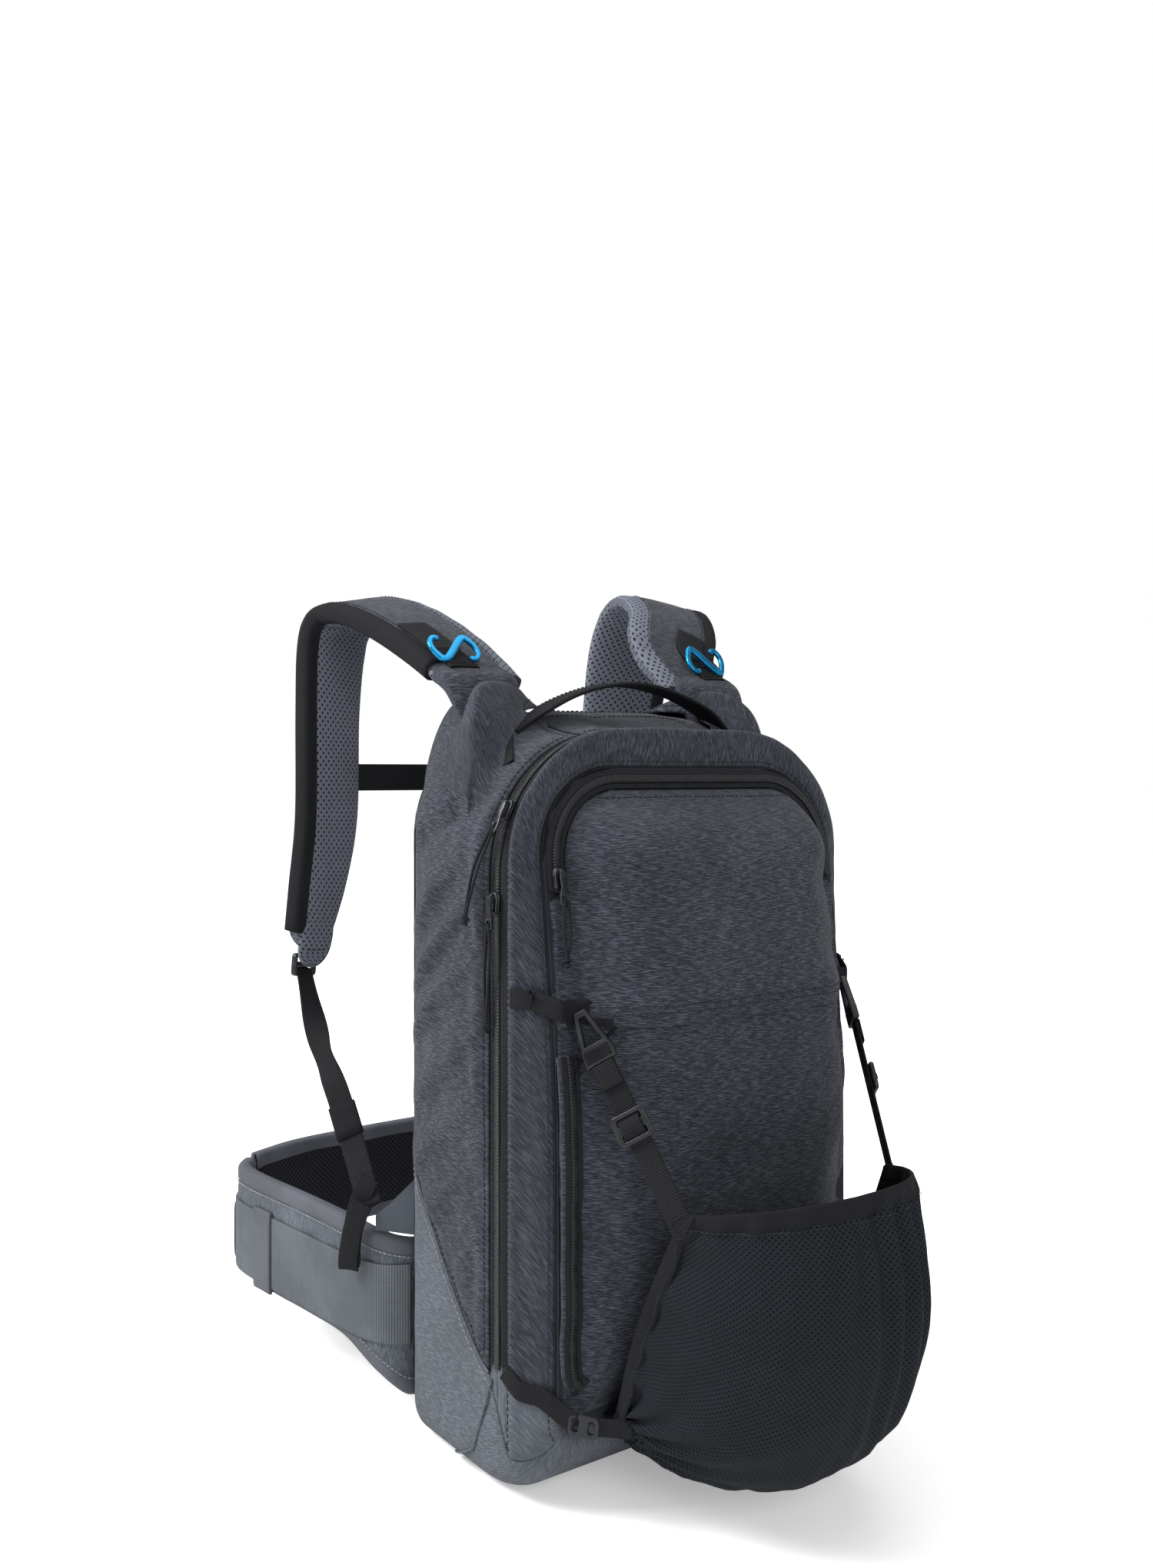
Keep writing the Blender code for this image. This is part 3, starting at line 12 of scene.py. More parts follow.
import bmesh
import bpy
import numpy
from mathutils import Matrix, Quaternion, Vector, noise
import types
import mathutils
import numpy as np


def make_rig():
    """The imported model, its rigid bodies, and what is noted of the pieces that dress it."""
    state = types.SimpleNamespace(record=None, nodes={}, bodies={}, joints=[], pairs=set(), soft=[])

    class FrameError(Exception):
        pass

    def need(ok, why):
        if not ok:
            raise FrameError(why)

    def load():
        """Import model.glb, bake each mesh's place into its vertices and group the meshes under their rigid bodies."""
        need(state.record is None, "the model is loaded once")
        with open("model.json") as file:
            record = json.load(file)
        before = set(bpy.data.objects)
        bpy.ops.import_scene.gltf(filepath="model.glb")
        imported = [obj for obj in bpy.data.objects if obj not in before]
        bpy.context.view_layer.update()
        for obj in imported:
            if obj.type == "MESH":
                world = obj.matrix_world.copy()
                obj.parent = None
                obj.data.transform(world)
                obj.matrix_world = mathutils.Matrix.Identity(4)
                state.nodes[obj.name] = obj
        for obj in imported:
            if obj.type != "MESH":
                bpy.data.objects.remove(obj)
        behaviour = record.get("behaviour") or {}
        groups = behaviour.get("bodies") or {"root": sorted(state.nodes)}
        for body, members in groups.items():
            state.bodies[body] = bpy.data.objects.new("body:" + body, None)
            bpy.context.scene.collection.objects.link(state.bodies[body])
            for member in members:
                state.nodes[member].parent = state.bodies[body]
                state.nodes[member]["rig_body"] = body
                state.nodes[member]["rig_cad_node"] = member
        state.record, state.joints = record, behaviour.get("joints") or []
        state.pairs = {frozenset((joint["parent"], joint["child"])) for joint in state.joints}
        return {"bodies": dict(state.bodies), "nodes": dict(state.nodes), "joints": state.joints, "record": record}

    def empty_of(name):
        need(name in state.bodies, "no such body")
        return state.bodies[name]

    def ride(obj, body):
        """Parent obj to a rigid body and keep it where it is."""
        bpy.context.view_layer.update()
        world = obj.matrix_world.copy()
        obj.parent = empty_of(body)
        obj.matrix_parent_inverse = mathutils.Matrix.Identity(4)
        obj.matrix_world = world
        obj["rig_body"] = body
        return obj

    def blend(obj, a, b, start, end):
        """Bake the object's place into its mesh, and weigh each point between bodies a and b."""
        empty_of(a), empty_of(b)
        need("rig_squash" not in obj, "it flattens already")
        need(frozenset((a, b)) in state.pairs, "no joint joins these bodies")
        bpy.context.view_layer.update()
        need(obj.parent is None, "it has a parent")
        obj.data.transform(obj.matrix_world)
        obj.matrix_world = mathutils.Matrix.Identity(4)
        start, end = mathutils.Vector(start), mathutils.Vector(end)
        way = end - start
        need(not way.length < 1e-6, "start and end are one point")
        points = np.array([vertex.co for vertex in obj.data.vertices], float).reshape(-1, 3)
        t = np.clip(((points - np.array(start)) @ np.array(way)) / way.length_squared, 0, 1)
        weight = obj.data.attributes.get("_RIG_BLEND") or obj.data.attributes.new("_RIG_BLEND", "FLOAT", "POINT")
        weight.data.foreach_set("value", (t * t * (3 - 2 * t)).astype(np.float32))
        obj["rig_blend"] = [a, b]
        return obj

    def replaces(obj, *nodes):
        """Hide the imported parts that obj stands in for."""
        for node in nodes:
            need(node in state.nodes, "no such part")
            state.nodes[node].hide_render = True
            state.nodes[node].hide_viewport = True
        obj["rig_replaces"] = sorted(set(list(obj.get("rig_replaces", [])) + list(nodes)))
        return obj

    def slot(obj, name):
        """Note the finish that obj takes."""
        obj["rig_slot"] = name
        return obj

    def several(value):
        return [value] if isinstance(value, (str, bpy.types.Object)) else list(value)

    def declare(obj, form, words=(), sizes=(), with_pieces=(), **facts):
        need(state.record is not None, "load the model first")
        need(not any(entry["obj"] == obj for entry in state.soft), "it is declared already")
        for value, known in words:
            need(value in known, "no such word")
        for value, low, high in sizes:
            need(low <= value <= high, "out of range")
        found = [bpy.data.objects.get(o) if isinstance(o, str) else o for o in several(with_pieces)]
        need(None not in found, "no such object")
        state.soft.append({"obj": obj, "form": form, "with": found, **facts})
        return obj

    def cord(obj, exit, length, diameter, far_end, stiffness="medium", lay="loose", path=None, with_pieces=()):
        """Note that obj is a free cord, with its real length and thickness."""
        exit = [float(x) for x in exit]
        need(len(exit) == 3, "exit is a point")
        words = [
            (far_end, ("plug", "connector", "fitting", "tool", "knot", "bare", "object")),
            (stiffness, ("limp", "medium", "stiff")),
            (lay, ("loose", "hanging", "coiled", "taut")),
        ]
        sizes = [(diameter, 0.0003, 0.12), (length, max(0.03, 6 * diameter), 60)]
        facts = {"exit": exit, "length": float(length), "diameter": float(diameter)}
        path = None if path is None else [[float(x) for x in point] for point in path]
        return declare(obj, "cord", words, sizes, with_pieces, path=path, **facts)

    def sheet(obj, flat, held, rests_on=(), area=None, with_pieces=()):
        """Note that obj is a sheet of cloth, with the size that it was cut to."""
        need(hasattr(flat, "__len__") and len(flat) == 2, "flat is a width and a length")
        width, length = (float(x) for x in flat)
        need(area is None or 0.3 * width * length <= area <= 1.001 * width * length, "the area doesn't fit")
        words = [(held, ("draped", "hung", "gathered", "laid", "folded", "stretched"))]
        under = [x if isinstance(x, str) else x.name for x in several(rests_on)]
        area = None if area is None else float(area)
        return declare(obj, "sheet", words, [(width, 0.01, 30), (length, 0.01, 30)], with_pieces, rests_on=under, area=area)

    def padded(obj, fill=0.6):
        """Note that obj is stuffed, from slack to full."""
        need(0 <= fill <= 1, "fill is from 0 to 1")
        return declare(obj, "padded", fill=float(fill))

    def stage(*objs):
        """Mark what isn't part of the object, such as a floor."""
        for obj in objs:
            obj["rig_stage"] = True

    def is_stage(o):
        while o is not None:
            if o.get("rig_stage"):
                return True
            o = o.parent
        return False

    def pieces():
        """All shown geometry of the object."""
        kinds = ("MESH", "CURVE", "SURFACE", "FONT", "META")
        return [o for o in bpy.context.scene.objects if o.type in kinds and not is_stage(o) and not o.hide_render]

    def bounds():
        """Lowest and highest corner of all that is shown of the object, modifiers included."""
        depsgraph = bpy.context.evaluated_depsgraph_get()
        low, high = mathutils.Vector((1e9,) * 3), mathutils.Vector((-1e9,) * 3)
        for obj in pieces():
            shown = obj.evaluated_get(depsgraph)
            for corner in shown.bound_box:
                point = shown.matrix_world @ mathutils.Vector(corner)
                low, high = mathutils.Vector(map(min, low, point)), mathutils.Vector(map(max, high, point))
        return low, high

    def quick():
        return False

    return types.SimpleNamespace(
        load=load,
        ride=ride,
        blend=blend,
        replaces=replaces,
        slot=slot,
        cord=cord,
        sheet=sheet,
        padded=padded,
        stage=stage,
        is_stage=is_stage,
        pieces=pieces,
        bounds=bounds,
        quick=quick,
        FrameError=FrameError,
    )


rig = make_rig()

LOG = logging.getLogger("trail_backpack")
SIZE_FILE = Path("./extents.json")
UP = Vector((0.0, 0.0, 1.0)).freeze()
PACK_MIDDLE = Vector((0.0, 0.0, 0.25)).freeze()

Surface = Callable[[float, float], Vector]
Relief = Callable[[float, float, Vector], float]
Outline = "list[tuple[float, float]]"
Section = Callable[[float], Outline]
Frame = "tuple[Vector, Vector, Vector]"
Seam = Sequence["tuple[Vector, Vector]"]


class Side(Enum):
    """The two sides of the pack, as the sign of their X."""

    LEFT = -1
    RIGHT = 1

    @property
    def word(self) -> str:
        """Name used in node and piece names."""
        return self.name.lower()

    def place(self, point: Vector) -> Vector:
        """Put a point that is written for the left side on this side."""
        return point.copy() if self is Side.LEFT else Vector((-point.x, point.y, point.z))

    def frames(self, frames: Iterable[Frame]) -> list[Frame]:
        """Put frames that are written for the left side on this side."""
        return [(self.place(origin), self.place(across), self.place(out))
                for origin, across, out in frames]


# Small curves and numbers


def mix(low: float, high: float, share: float) -> float:
    """Value at a clamped share between two ends."""
    return low + (high - low) * min(max(share, 0.0), 1.0)


def ease(share: float) -> float:
    """Smooth step of a share from 0 to 1."""
    share = min(max(share, 0.0), 1.0)
    return share * share * (3.0 - 2.0 * share)


def spread(low: float, high: float, count: int) -> list[float]:
    """Evenly spaced values, both ends included."""
    return [mix(low, high, index / count) for index in range(count + 1)]


def spline(points: Sequence[Sequence[float]], count: int) -> list[Vector]:
    """Read count + 1 samples from a smooth curve through points of any size.

    Args:
        points: control points that the curve passes through.
        count: number of steps.

    Returns:
        The samples, first and last control point included.
    """
    vectors = [Vector(point) for point in points]
    samples = []
    for index in range(count + 1):
        place = index / count * (len(vectors) - 1)
        start = min(int(place), len(vectors) - 2)
        share = place - start
        before = vectors[max(start - 1, 0)]
        low = vectors[start]
        high = vectors[start + 1]
        after = vectors[min(start + 2, len(vectors) - 1)]
        samples.append(
            0.5
            * (
                2.0 * low
                + (high - before) * share
                + (2.0 * before - 5.0 * low + 4.0 * high - after) * share**2
                + (3.0 * low - before - 3.0 * high + after) * share**3
            )
        )
    return samples


def even_steps(points: Sequence[Vector], step: float) -> list[Vector]:
    """Points at equal distances along a polyline.

    Args:
        points: the polyline.
        step: wanted distance between points, in metres.

    Returns:
        Points a whole number of steps apart, both ends included.
    """
    lengths = [0.0]
    for first, second in zip(points, points[1:]):
        lengths.append(lengths[-1] + (second - first).length)
    count = max(int(lengths[-1] / step + 0.5), 1)
    result = []
    place = 0
    for index in range(count + 1):
        goal = lengths[-1] * index / count
        while place < len(points) - 2 and lengths[place + 1] < goal:
            place += 1
        span = max(lengths[place + 1] - lengths[place], 1e-9)
        result.append(points[place].lerp(points[place + 1], (goal - lengths[place]) / span))
    return result


def wander(point: Vector, scale: tuple[float, float, float], seed: float) -> float:
    """Smooth noise from -1 to 1 at a point, with its own scale along each axis."""
    return noise.noise(Vector((point.x * scale[0] + seed, point.y * scale[1] - seed,
                               point.z * scale[2] + 2.0 * seed)))


def square_to(way: Vector, ahead: Vector) -> Vector:
    """A direction after its part along another one is taken out."""
    return (way - way.dot(ahead) * ahead).normalized()


def ahead_at(points: Sequence[Vector], index: int) -> Vector:
    """Direction of a polyline at one of its points."""
    last = len(points) - 1
    return (points[min(index + 1, last)] - points[max(index - 1, 0)]).normalized()


# The pack's form


@dataclass(frozen=True)
class PackForm:
    """Sizes of the pack body and the surfaces that its cloth lies on, in metres."""

    width: float = 0.284
    height: float = 0.503
    back_y: float = 0.085
    crest_y: float = 0.045
    back_fillet: float = 0.022
    corner_top: float = 0.094
    corner_back: float = 0.080
    corner_bottom: float = 0.022
    zip_top: float = 0.488
    zip_y: float = -0.038
    tape: float = 0.010
    base_front_y: float = -0.010
    face_y: float = -0.078
    face_top: float = 0.463
    face_bottom: float = 0.054
    face_inset: float = 0.016
    face_corner_top: float = 0.060
    face_corner_bottom: float = 0.022
    face_shoulder: float = 0.050
    face_border: float = 0.0145
    face_lift: float = 0.00638
    face_lean: float = 0.024
    lean_start: float = 0.220
    lean_power: float = 1.6
    upper_depth: float = 0.038
    lower_depth: float = 0.022
    pocket_hem: float = 0.316
    pocket_zip_end: float = 0.386
    pocket_tape: float = 0.014
    zip_end_z: float = 0.078
    seam_back_z: float = 0.210
    bottom_share: float = 0.10
    low_arc_share: float = 0.17
    side_end_share: float = 0.36
    high_arc_share: float = 0.44
    top_seam_share: float = 0.428

    @property
    def tape_back(self) -> float:
        """Depth at which the body's zip tape meets its panels."""
        return self.zip_y + self.tape

    @property
    def tape_front(self) -> float:
        """Depth at which the lid's zip tape meets its gusset."""
        return self.zip_y - self.tape

    def outline(self, depth: float) -> tuple[float, float, float, float, float]:
        """Half width, bottom, top, low radius and high radius of the outline at a depth."""
        back = min(max((depth - self.back_y + self.back_fillet) / self.back_fillet, 0.0), 1.0)
        back_inset = self.back_fillet * (1.0 - math.sqrt(1.0 - back * back))
        front = min(max((self.tape_front - depth) / (self.tape_front - self.face_y), 0.0), 1.0)
        under = min(max((self.base_front_y - depth) / (self.base_front_y - self.face_y), 0.0), 1.0)
        rise = ease((depth - self.tape_back) / (self.crest_y - self.tape_back))
        half = self.width / 2.0 - back_inset - self.face_inset * front**2
        bottom = self.face_bottom * (1.0 - math.sqrt(1.0 - under * under)) + back_inset
        top = self.zip_top + (self.height - self.zip_top) * rise
        top -= (self.zip_top - self.face_top) * front**2 + back_inset
        low_radius = mix(self.corner_bottom, self.face_corner_bottom, under)
        high_radius = mix(mix(self.corner_top, self.corner_back, rise), self.face_corner_top, front)
        return half, bottom, top, low_radius, high_radius

    def lean(self, z: float) -> float:
        """How far the front leans back towards its top."""
        climb = max((z - self.lean_start) / (self.face_top - self.lean_start), 0.0)
        return self.face_lean * climb**self.lean_power

    def rim(self, depth: float, share: float, inset: float = 0.0) -> Vector:
        """Point of the outline: share 0 is bottom centre, 0.5 top centre, left positive."""
        half, bottom, top, low_radius, high_radius = self.outline(depth)
        half -= inset
        bottom += inset
        top -= inset
        low_radius = max(low_radius - inset, 0.002)
        high_radius = max(high_radius - inset, 0.002)
        along = abs(share)
        if along < self.bottom_share:
            x = (half - low_radius) * along / self.bottom_share
            z = bottom
        elif along < self.low_arc_share:
            part = (along - self.bottom_share) / (self.low_arc_share - self.bottom_share)
            angle = math.pi / 2.0 * part
            x = half - low_radius + low_radius * math.sin(angle)
            z = bottom + low_radius * (1.0 - math.cos(angle))
        elif along < self.side_end_share:
            x = half
            part = (along - self.low_arc_share) / (self.side_end_share - self.low_arc_share)
            z = mix(bottom + low_radius, top - high_radius, part)
        elif along < self.high_arc_share:
            part = (along - self.side_end_share) / (self.high_arc_share - self.side_end_share)
            angle = math.pi / 2.0 * part
            x = half - high_radius + high_radius * math.cos(angle)
            z = top - high_radius + high_radius * math.sin(angle)
        else:
            x = (half - high_radius) * (0.5 - along) / (0.5 - self.high_arc_share)
            z = top
        front = min(max((self.tape_front - depth) / (self.tape_front - self.face_y), 0.0), 1.0)
        return Vector((x if share < 0.0 else -x, depth + self.lean(z) * front**2, z))

    def arch(self, depth: float, share: float, inset: float = 0.0) -> Vector:
        """The outline as one arch that runs up the left side, over the top and down the right."""
        return self.rim(depth, share if share <= 0.5 else share - 1.0, inset)

    def side_share(self, depth: float, height: float) -> float:
        """Share at which the straight side of the outline passes a height."""
        _half, bottom, top, low_radius, high_radius = self.outline(depth)
        part = (height - bottom - low_radius) / (top - high_radius - bottom - low_radius)
        return self.low_arc_share + (self.side_end_share - self.low_arc_share) * part

    def base_seam(self, depth: float) -> float:
        """Share of the seam between the grey base and the dark panels above it."""
        if depth >= self.tape_back:
            climb = ((depth - self.tape_back) / (self.back_y - self.tape_back)) ** 1.3
            return self.side_share(depth, mix(self.zip_end_z, self.seam_back_z, climb))
        front = (self.tape_back - depth) / (self.tape_back - self.face_y)
        corner = (self.bottom_share + self.low_arc_share) / 2.0
        return mix(self.side_share(self.tape_back, self.zip_end_z), corner, front)

    def face_depth(self, x: float, z: float) -> float:
        """How far the stuffed front stands proud of the face plane."""
        half, bottom, top, low_radius, high_radius = self.outline(self.face_y)
        middle = (bottom + top) / 2.0
        radius = high_radius if z > middle else low_radius
        over_x = abs(x) - half + radius
        over_z = abs(z - middle) - (top - bottom) / 2.0 + radius
        outside = math.hypot(max(over_x, 0.0), max(over_z, 0.0)) + min(max(over_x, over_z), 0.0) - radius
        share = min(max((-outside - self.face_border) / self.face_shoulder, 0.0), 1.0)
        depth = mix(self.lower_depth, self.upper_depth, ease((z - 0.12) / (self.pocket_hem - 0.12)))
        return depth * (1.0 - (1.0 - share) ** 2.2)

    def face_point(self, x: float, z: float, proud: float = 0.0) -> Vector:
        """Point on the outer surface of the front pockets."""
        return Vector((x, self.face_y + self.lean(z) - self.face_lift - self.face_depth(x, z) - proud, z))

    def face_normal(self, x: float, z: float) -> Vector:
        """Outward normal of the front pockets."""
        step = 0.0008
        across = self.face_point(x + step, z) - self.face_point(x - step, z)
        up = self.face_point(x, z + step) - self.face_point(x, z - step)
        return across.cross(up).normalized()

    def face_half(self, z: float, inset: float) -> float:
        """Half width of the front face at a height, inside a border."""
        half, bottom, top, low_radius, high_radius = self.outline(self.face_y)
        if z > top - high_radius:
            reach = max((high_radius - inset) ** 2 - (z - top + high_radius) ** 2, 0.0)
            return half - high_radius + math.sqrt(reach)
        if z < bottom + low_radius:
            reach = max((low_radius - inset) ** 2 - (bottom + low_radius - z) ** 2, 0.0)
            return half - low_radius + math.sqrt(reach)
        return half - inset


FORM = PackForm()


# Making of meshes


def finish_mesh(name: str, points: Sequence[Vector], faces: Sequence[Sequence[int]],
                uvs: Sequence[tuple[float, float]] | None = None) -> bpy.types.Object:
    """Make a smooth-shaded object from points and faces.

    Args:
        name: piece name.
        points: vertex places in the row frame.
        faces: vertex numbers of each face.
        uvs: a cloth coordinate per vertex, in metres across and along.

    Returns:
        The linked object.
    """
    mesh = bpy.data.meshes.new(name)
    mesh.from_pydata([tuple(point) for point in points], [], faces)
    if uvs is not None:
        layer = mesh.uv_layers.new(name="cloth")
        for loop in mesh.loops:
            layer.data[loop.index].uv = uvs[loop.vertex_index]
    mesh.shade_smooth()
    piece = bpy.data.objects.new(name, mesh)
    bpy.context.scene.collection.objects.link(piece)
    return piece


def turn_outward(piece: bpy.types.Object) -> bpy.types.Object:
    """Turn the faces of closed shells outward."""
    builder = bmesh.new()
    builder.from_mesh(piece.data)
    bmesh.ops.recalc_face_normals(builder, faces=builder.faces)
    builder.to_mesh(piece.data)
    builder.free()
    return piece


def grid_piece(name: str, surface: Surface, columns: int, rows: int, inside: Vector,
               relief: Relief | None = None, turned: bool = False) -> bpy.types.Object:
    """Cloth laid on a surface.

    Args:
        name: piece name.
        surface: maps u and v from 0 to 1 to a point.
        columns: cells along u.
        rows: cells along v.
        inside: a point that the back of the cloth faces.
        relief: height of folds along the outward normal, from u, v and the point.
        turned: lay the cloth's weft along v instead of u.

    Returns:
        The piece, with cloth coordinates in metres.
    """
    table = [[surface(column / columns, row / rows) for column in range(columns + 1)]
             for row in range(rows + 1)]
    middle = columns // 2
    facing = 0.0
    for row in range(0, rows, max(rows // 8, 1)):
        for column in range(0, columns, max(columns // 8, 1)):
            corner = table[row][column]
            normal = (table[row][column + 1] - corner).cross(table[row + 1][column] - corner)
            if normal.length > 1e-12:
                facing += normal.normalized().dot((corner - inside).normalized())
    flip = facing < 0.0
    if relief is not None:
        raised = []
        for row in range(rows + 1):
            line = []
            for column in range(columns + 1):
                left = table[row][max(column - 1, 0)]
                right = table[row][min(column + 1, columns)]
                low = table[max(row - 1, 0)][column]
                high = table[min(row + 1, rows)][column]
                normal = (right - left).cross(high - low)
                normal = normal.normalized() if normal.length > 1e-12 else Vector((0.0, 0.0, 0.0))
                point = table[row][column]
                lift = relief(column / columns, row / rows, point)
                line.append(point + normal * (-lift if flip else lift))
            raised.append(line)
        table = raised
    uvs = []
    climb = 0.0
    for row in range(rows + 1):
        if row:
            climb += (table[row][middle] - table[row - 1][middle]).length
        along = [0.0]
        for column in range(1, columns + 1):
            along.append(along[-1] + (table[row][column] - table[row][column - 1]).length)
        for length in along:
            across = length - along[middle]
            uvs.append((climb, across) if turned else (across, climb))
    points = [point for line in table for point in line]
    faces = []
    for row in range(rows):
        for column in range(columns):
            corner = row * (columns + 1) + column
            face = (corner, corner + 1, corner + columns + 2, corner + columns + 1)
            faces.append(face[::-1] if flip else face)
    return finish_mesh(name, points, faces, uvs)


def sweep(name: str, frames: Sequence[Frame], section: Section,
          slots: Callable[[int, float], int] | None = None, closed: bool = False) -> bpy.types.Object:
    """Solid swept along frames, such as a strap, binding, webbing or ring.

    Args:
        name: piece name.
        frames: origin, across and outward direction of each station.
        section: the closed section at a share of the way, as across and outward lengths.
        slots: material slot number from the section edge number and the share of the way.
        closed: join the last station to the first.

    Returns:
        The piece, with cloth coordinates round and along it in metres.
    """
    rings = []
    uvs = []
    travelled = 0.0
    for index, (origin, across, outward) in enumerate(frames):
        share = index / max(len(frames) - 1, 1)
        shape = section(share)
        if index:
            travelled += (origin - frames[index - 1][0]).length
        ring = [origin + across * x + outward * y for x, y in shape]
        around = 0.0
        for place, point in enumerate(ring):
            if place:
                around += (point - ring[place - 1]).length
            uvs.append((around, travelled))
        rings.append(ring)
    count = len(rings[0])
    points = [point for ring in rings for point in ring]
    faces = []
    numbers = []
    stations = len(rings) if closed else len(rings) - 1
    for index in range(stations):
        following = (index + 1) % len(rings)
        for place in range(count):
            after = (place + 1) % count
            faces.append((index * count + place, index * count + after,
                          following * count + after, following * count + place))
            numbers.append(slots(place, index / max(stations, 1)) if slots else 0)
    if not closed:
        faces.append(tuple(range(count)))
        faces.append(tuple(reversed(range((len(rings) - 1) * count, len(rings) * count))))
        numbers += [0, 0]
    piece = finish_mesh(name, points, faces, uvs)
    for polygon, number in zip(piece.data.polygons, numbers):
        polygon.material_index = number
    return turn_outward(piece)


def rounded_section(width: float, thickness: float, sides: int, squareness: float) -> Outline:
    """Rounded rectangle about the origin, as across and outward lengths."""
    points = []
    for index in range(sides):
        angle = 2.0 * math.pi * (index + 0.5) / sides
        cosine = math.copysign(abs(math.cos(angle)) ** (2.0 / squareness), math.cos(angle))
        sine = math.copysign(abs(math.sin(angle)) ** (2.0 / squareness), math.sin(angle))
        points.append((width / 2.0 * cosine, thickness / 2.0 * sine))
    return points


def path_frames(points: Sequence[Vector], outward: Callable[[int, Vector], Vector] | Vector) -> list[Frame]:
    """Frames along a path whose outward direction is given.

    Args:
        points: stations of the path.
        outward: one direction, or a function of the station number and point.

    Returns:
        Origin, across and outward direction of each station.
    """
    frames = []
    for index, point in enumerate(points):
        ahead = ahead_at(points, index)
        out = square_to(outward if isinstance(outward, Vector) else outward(index, point), ahead)
        frames.append((point, ahead.cross(out), out))
    return frames


def webbing(name: str, frames: Sequence[Frame], width: float, thickness: float) -> bpy.types.Object:
    """Flat webbing with round edges."""
    shape = rounded_section(width, thickness, 12, 5.0)
    return sweep(name, frames, lambda _share: shape)


def round_tube(name: str, points: Sequence[Vector], radius: float, closed: bool = False,
               sides: int = 8) -> bpy.types.Object:
    """Tube or ring that follows points with a frame carried along it."""
    frames: list[Frame] = []
    out = Vector((0.31, 0.52, 0.79))
    for index, point in enumerate(points):
        if closed:
            ahead = (points[(index + 1) % len(points)] - points[index - 1]).normalized()
        else:
            ahead = ahead_at(points, index)
        out = square_to(out, ahead)
        frames.append((point, ahead.cross(out), out))
    turns = [2.0 * math.pi * side / sides for side in range(sides)]
    shape = [(radius * math.cos(turn), radius * math.sin(turn)) for turn in turns]
    return sweep(name, frames, lambda _share: shape, closed=closed)


@dataclass(frozen=True)
class Stitch:
    """Pitch, length and half thickness of a row of stitches."""

    pitch: float = 0.0042
    length: float = 0.0030
    radius: float = 0.0004


# Height of a stitched line over its cloth
PROUD = 0.0002
PLAIN_STITCH = Stitch()
ZIP_STITCH = Stitch(0.0034, 0.0024, 0.0003)
NET_STITCH = Stitch(0.0036, 0.0024, 0.0003)
BELT_STITCH = Stitch(0.0036, 0.0028)
HANDLE_STITCH = Stitch(0.0036, 0.0026)
BOX_STITCH = Stitch(0.0024, 0.0018, 0.0003)
TACK_STITCH = Stitch(0.0028, 0.0024, 0.0006)


def stitch_row(name: str, points: Sequence[Vector], outward: Callable[[Vector], Vector] | Vector,
               stitch: Stitch) -> bpy.types.Object:
    """Row of thread stitches that dip into the cloth at both ends.

    Args:
        name: piece name.
        points: the seam line on the cloth.
        outward: cloth normal, or a function that gives it at a point.
        stitch: size of the stitches.

    Returns:
        One mesh that holds the whole row.
    """
    sides = 5
    rings = ((0.0, -0.4, 0.6), (0.22, 0.55, 1.0), (0.78, 0.55, 1.0), (1.0, -0.4, 0.6))
    stations = even_steps(points, stitch.pitch)
    verts: list[Vector] = []
    faces: list[tuple[int, ...]] = []
    for first, second in zip(stations, stations[1:]):
        ahead = (second - first).normalized()
        out = square_to(outward if isinstance(outward, Vector) else outward(first), ahead)
        across = ahead.cross(out)
        start = len(verts)
        for place, lift, size in rings:
            centre = first + ahead * (stitch.length * place) + out * (stitch.radius * lift)
            for turn in range(sides):
                angle = 2.0 * math.pi * turn / sides
                spoke = across * math.cos(angle) + out * math.sin(angle)
                verts.append(centre + spoke * stitch.radius * size)
        for base in range(start, len(verts) - sides, sides):
            for turn in range(sides):
                after = (turn + 1) % sides
                faces.append((base + turn, base + after, base + sides + after, base + sides + turn))
        faces.append(tuple(start + turn for turn in reversed(range(sides))))
        faces.append(tuple(range(len(verts) - sides, len(verts))))
    return finish_mesh(name, verts, faces, [(point.x, point.z) for point in verts])


def zip_chain(name: str, points: Sequence[Vector], outward: Callable[[Vector], Vector], side: float,
              pitch: float, offset: float) -> bpy.types.Object:
    """Half of a coil zip: one row of elements that reach over the middle of the tapes.

    Args:
        name: piece name.
        points: middle line of the zip.
        outward: tape normal at a point.
        side: +1 or -1, the side that this row is sewn to.
        pitch: distance between elements of one row.
        offset: start of the first element along the zip.

    Returns:
        One mesh that holds the row.
    """
    profile = ((0.0030, 0.0002, 0.42), (0.0024, 0.0010, 0.46), (0.0, 0.0013, 0.50), (-0.0011, 0.0009, 0.44),
               (-0.0013, 0.0001, 0.30))
    stations = even_steps(points, pitch)
    verts: list[Vector] = []
    faces: list[tuple[int, ...]] = []
    for first, second in zip(stations, stations[1:]):
        ahead = (second - first).normalized()
        out = square_to(outward(first), ahead)
        across = ahead.cross(out) * side
        centre = first + ahead * offset
        start = len(verts)
        for reach, height, size in profile:
            for lengthwise in (-1.0, 1.0):
                verts.append(centre + across * reach + out * height + ahead * (lengthwise * pitch * size))
        for step in range(4):
            base = start + step * 2
            faces.append((base, base + 1, base + 3, base + 2))
        faces.append(tuple(start + 2 * step for step in reversed(range(5))))
        faces.append(tuple(start + 2 * step + 1 for step in range(5)))
        faces.append((start + 8, start + 9, start + 1, start))
    return turn_outward(finish_mesh(name, verts, faces, [(point.y, point.z) for point in verts]))


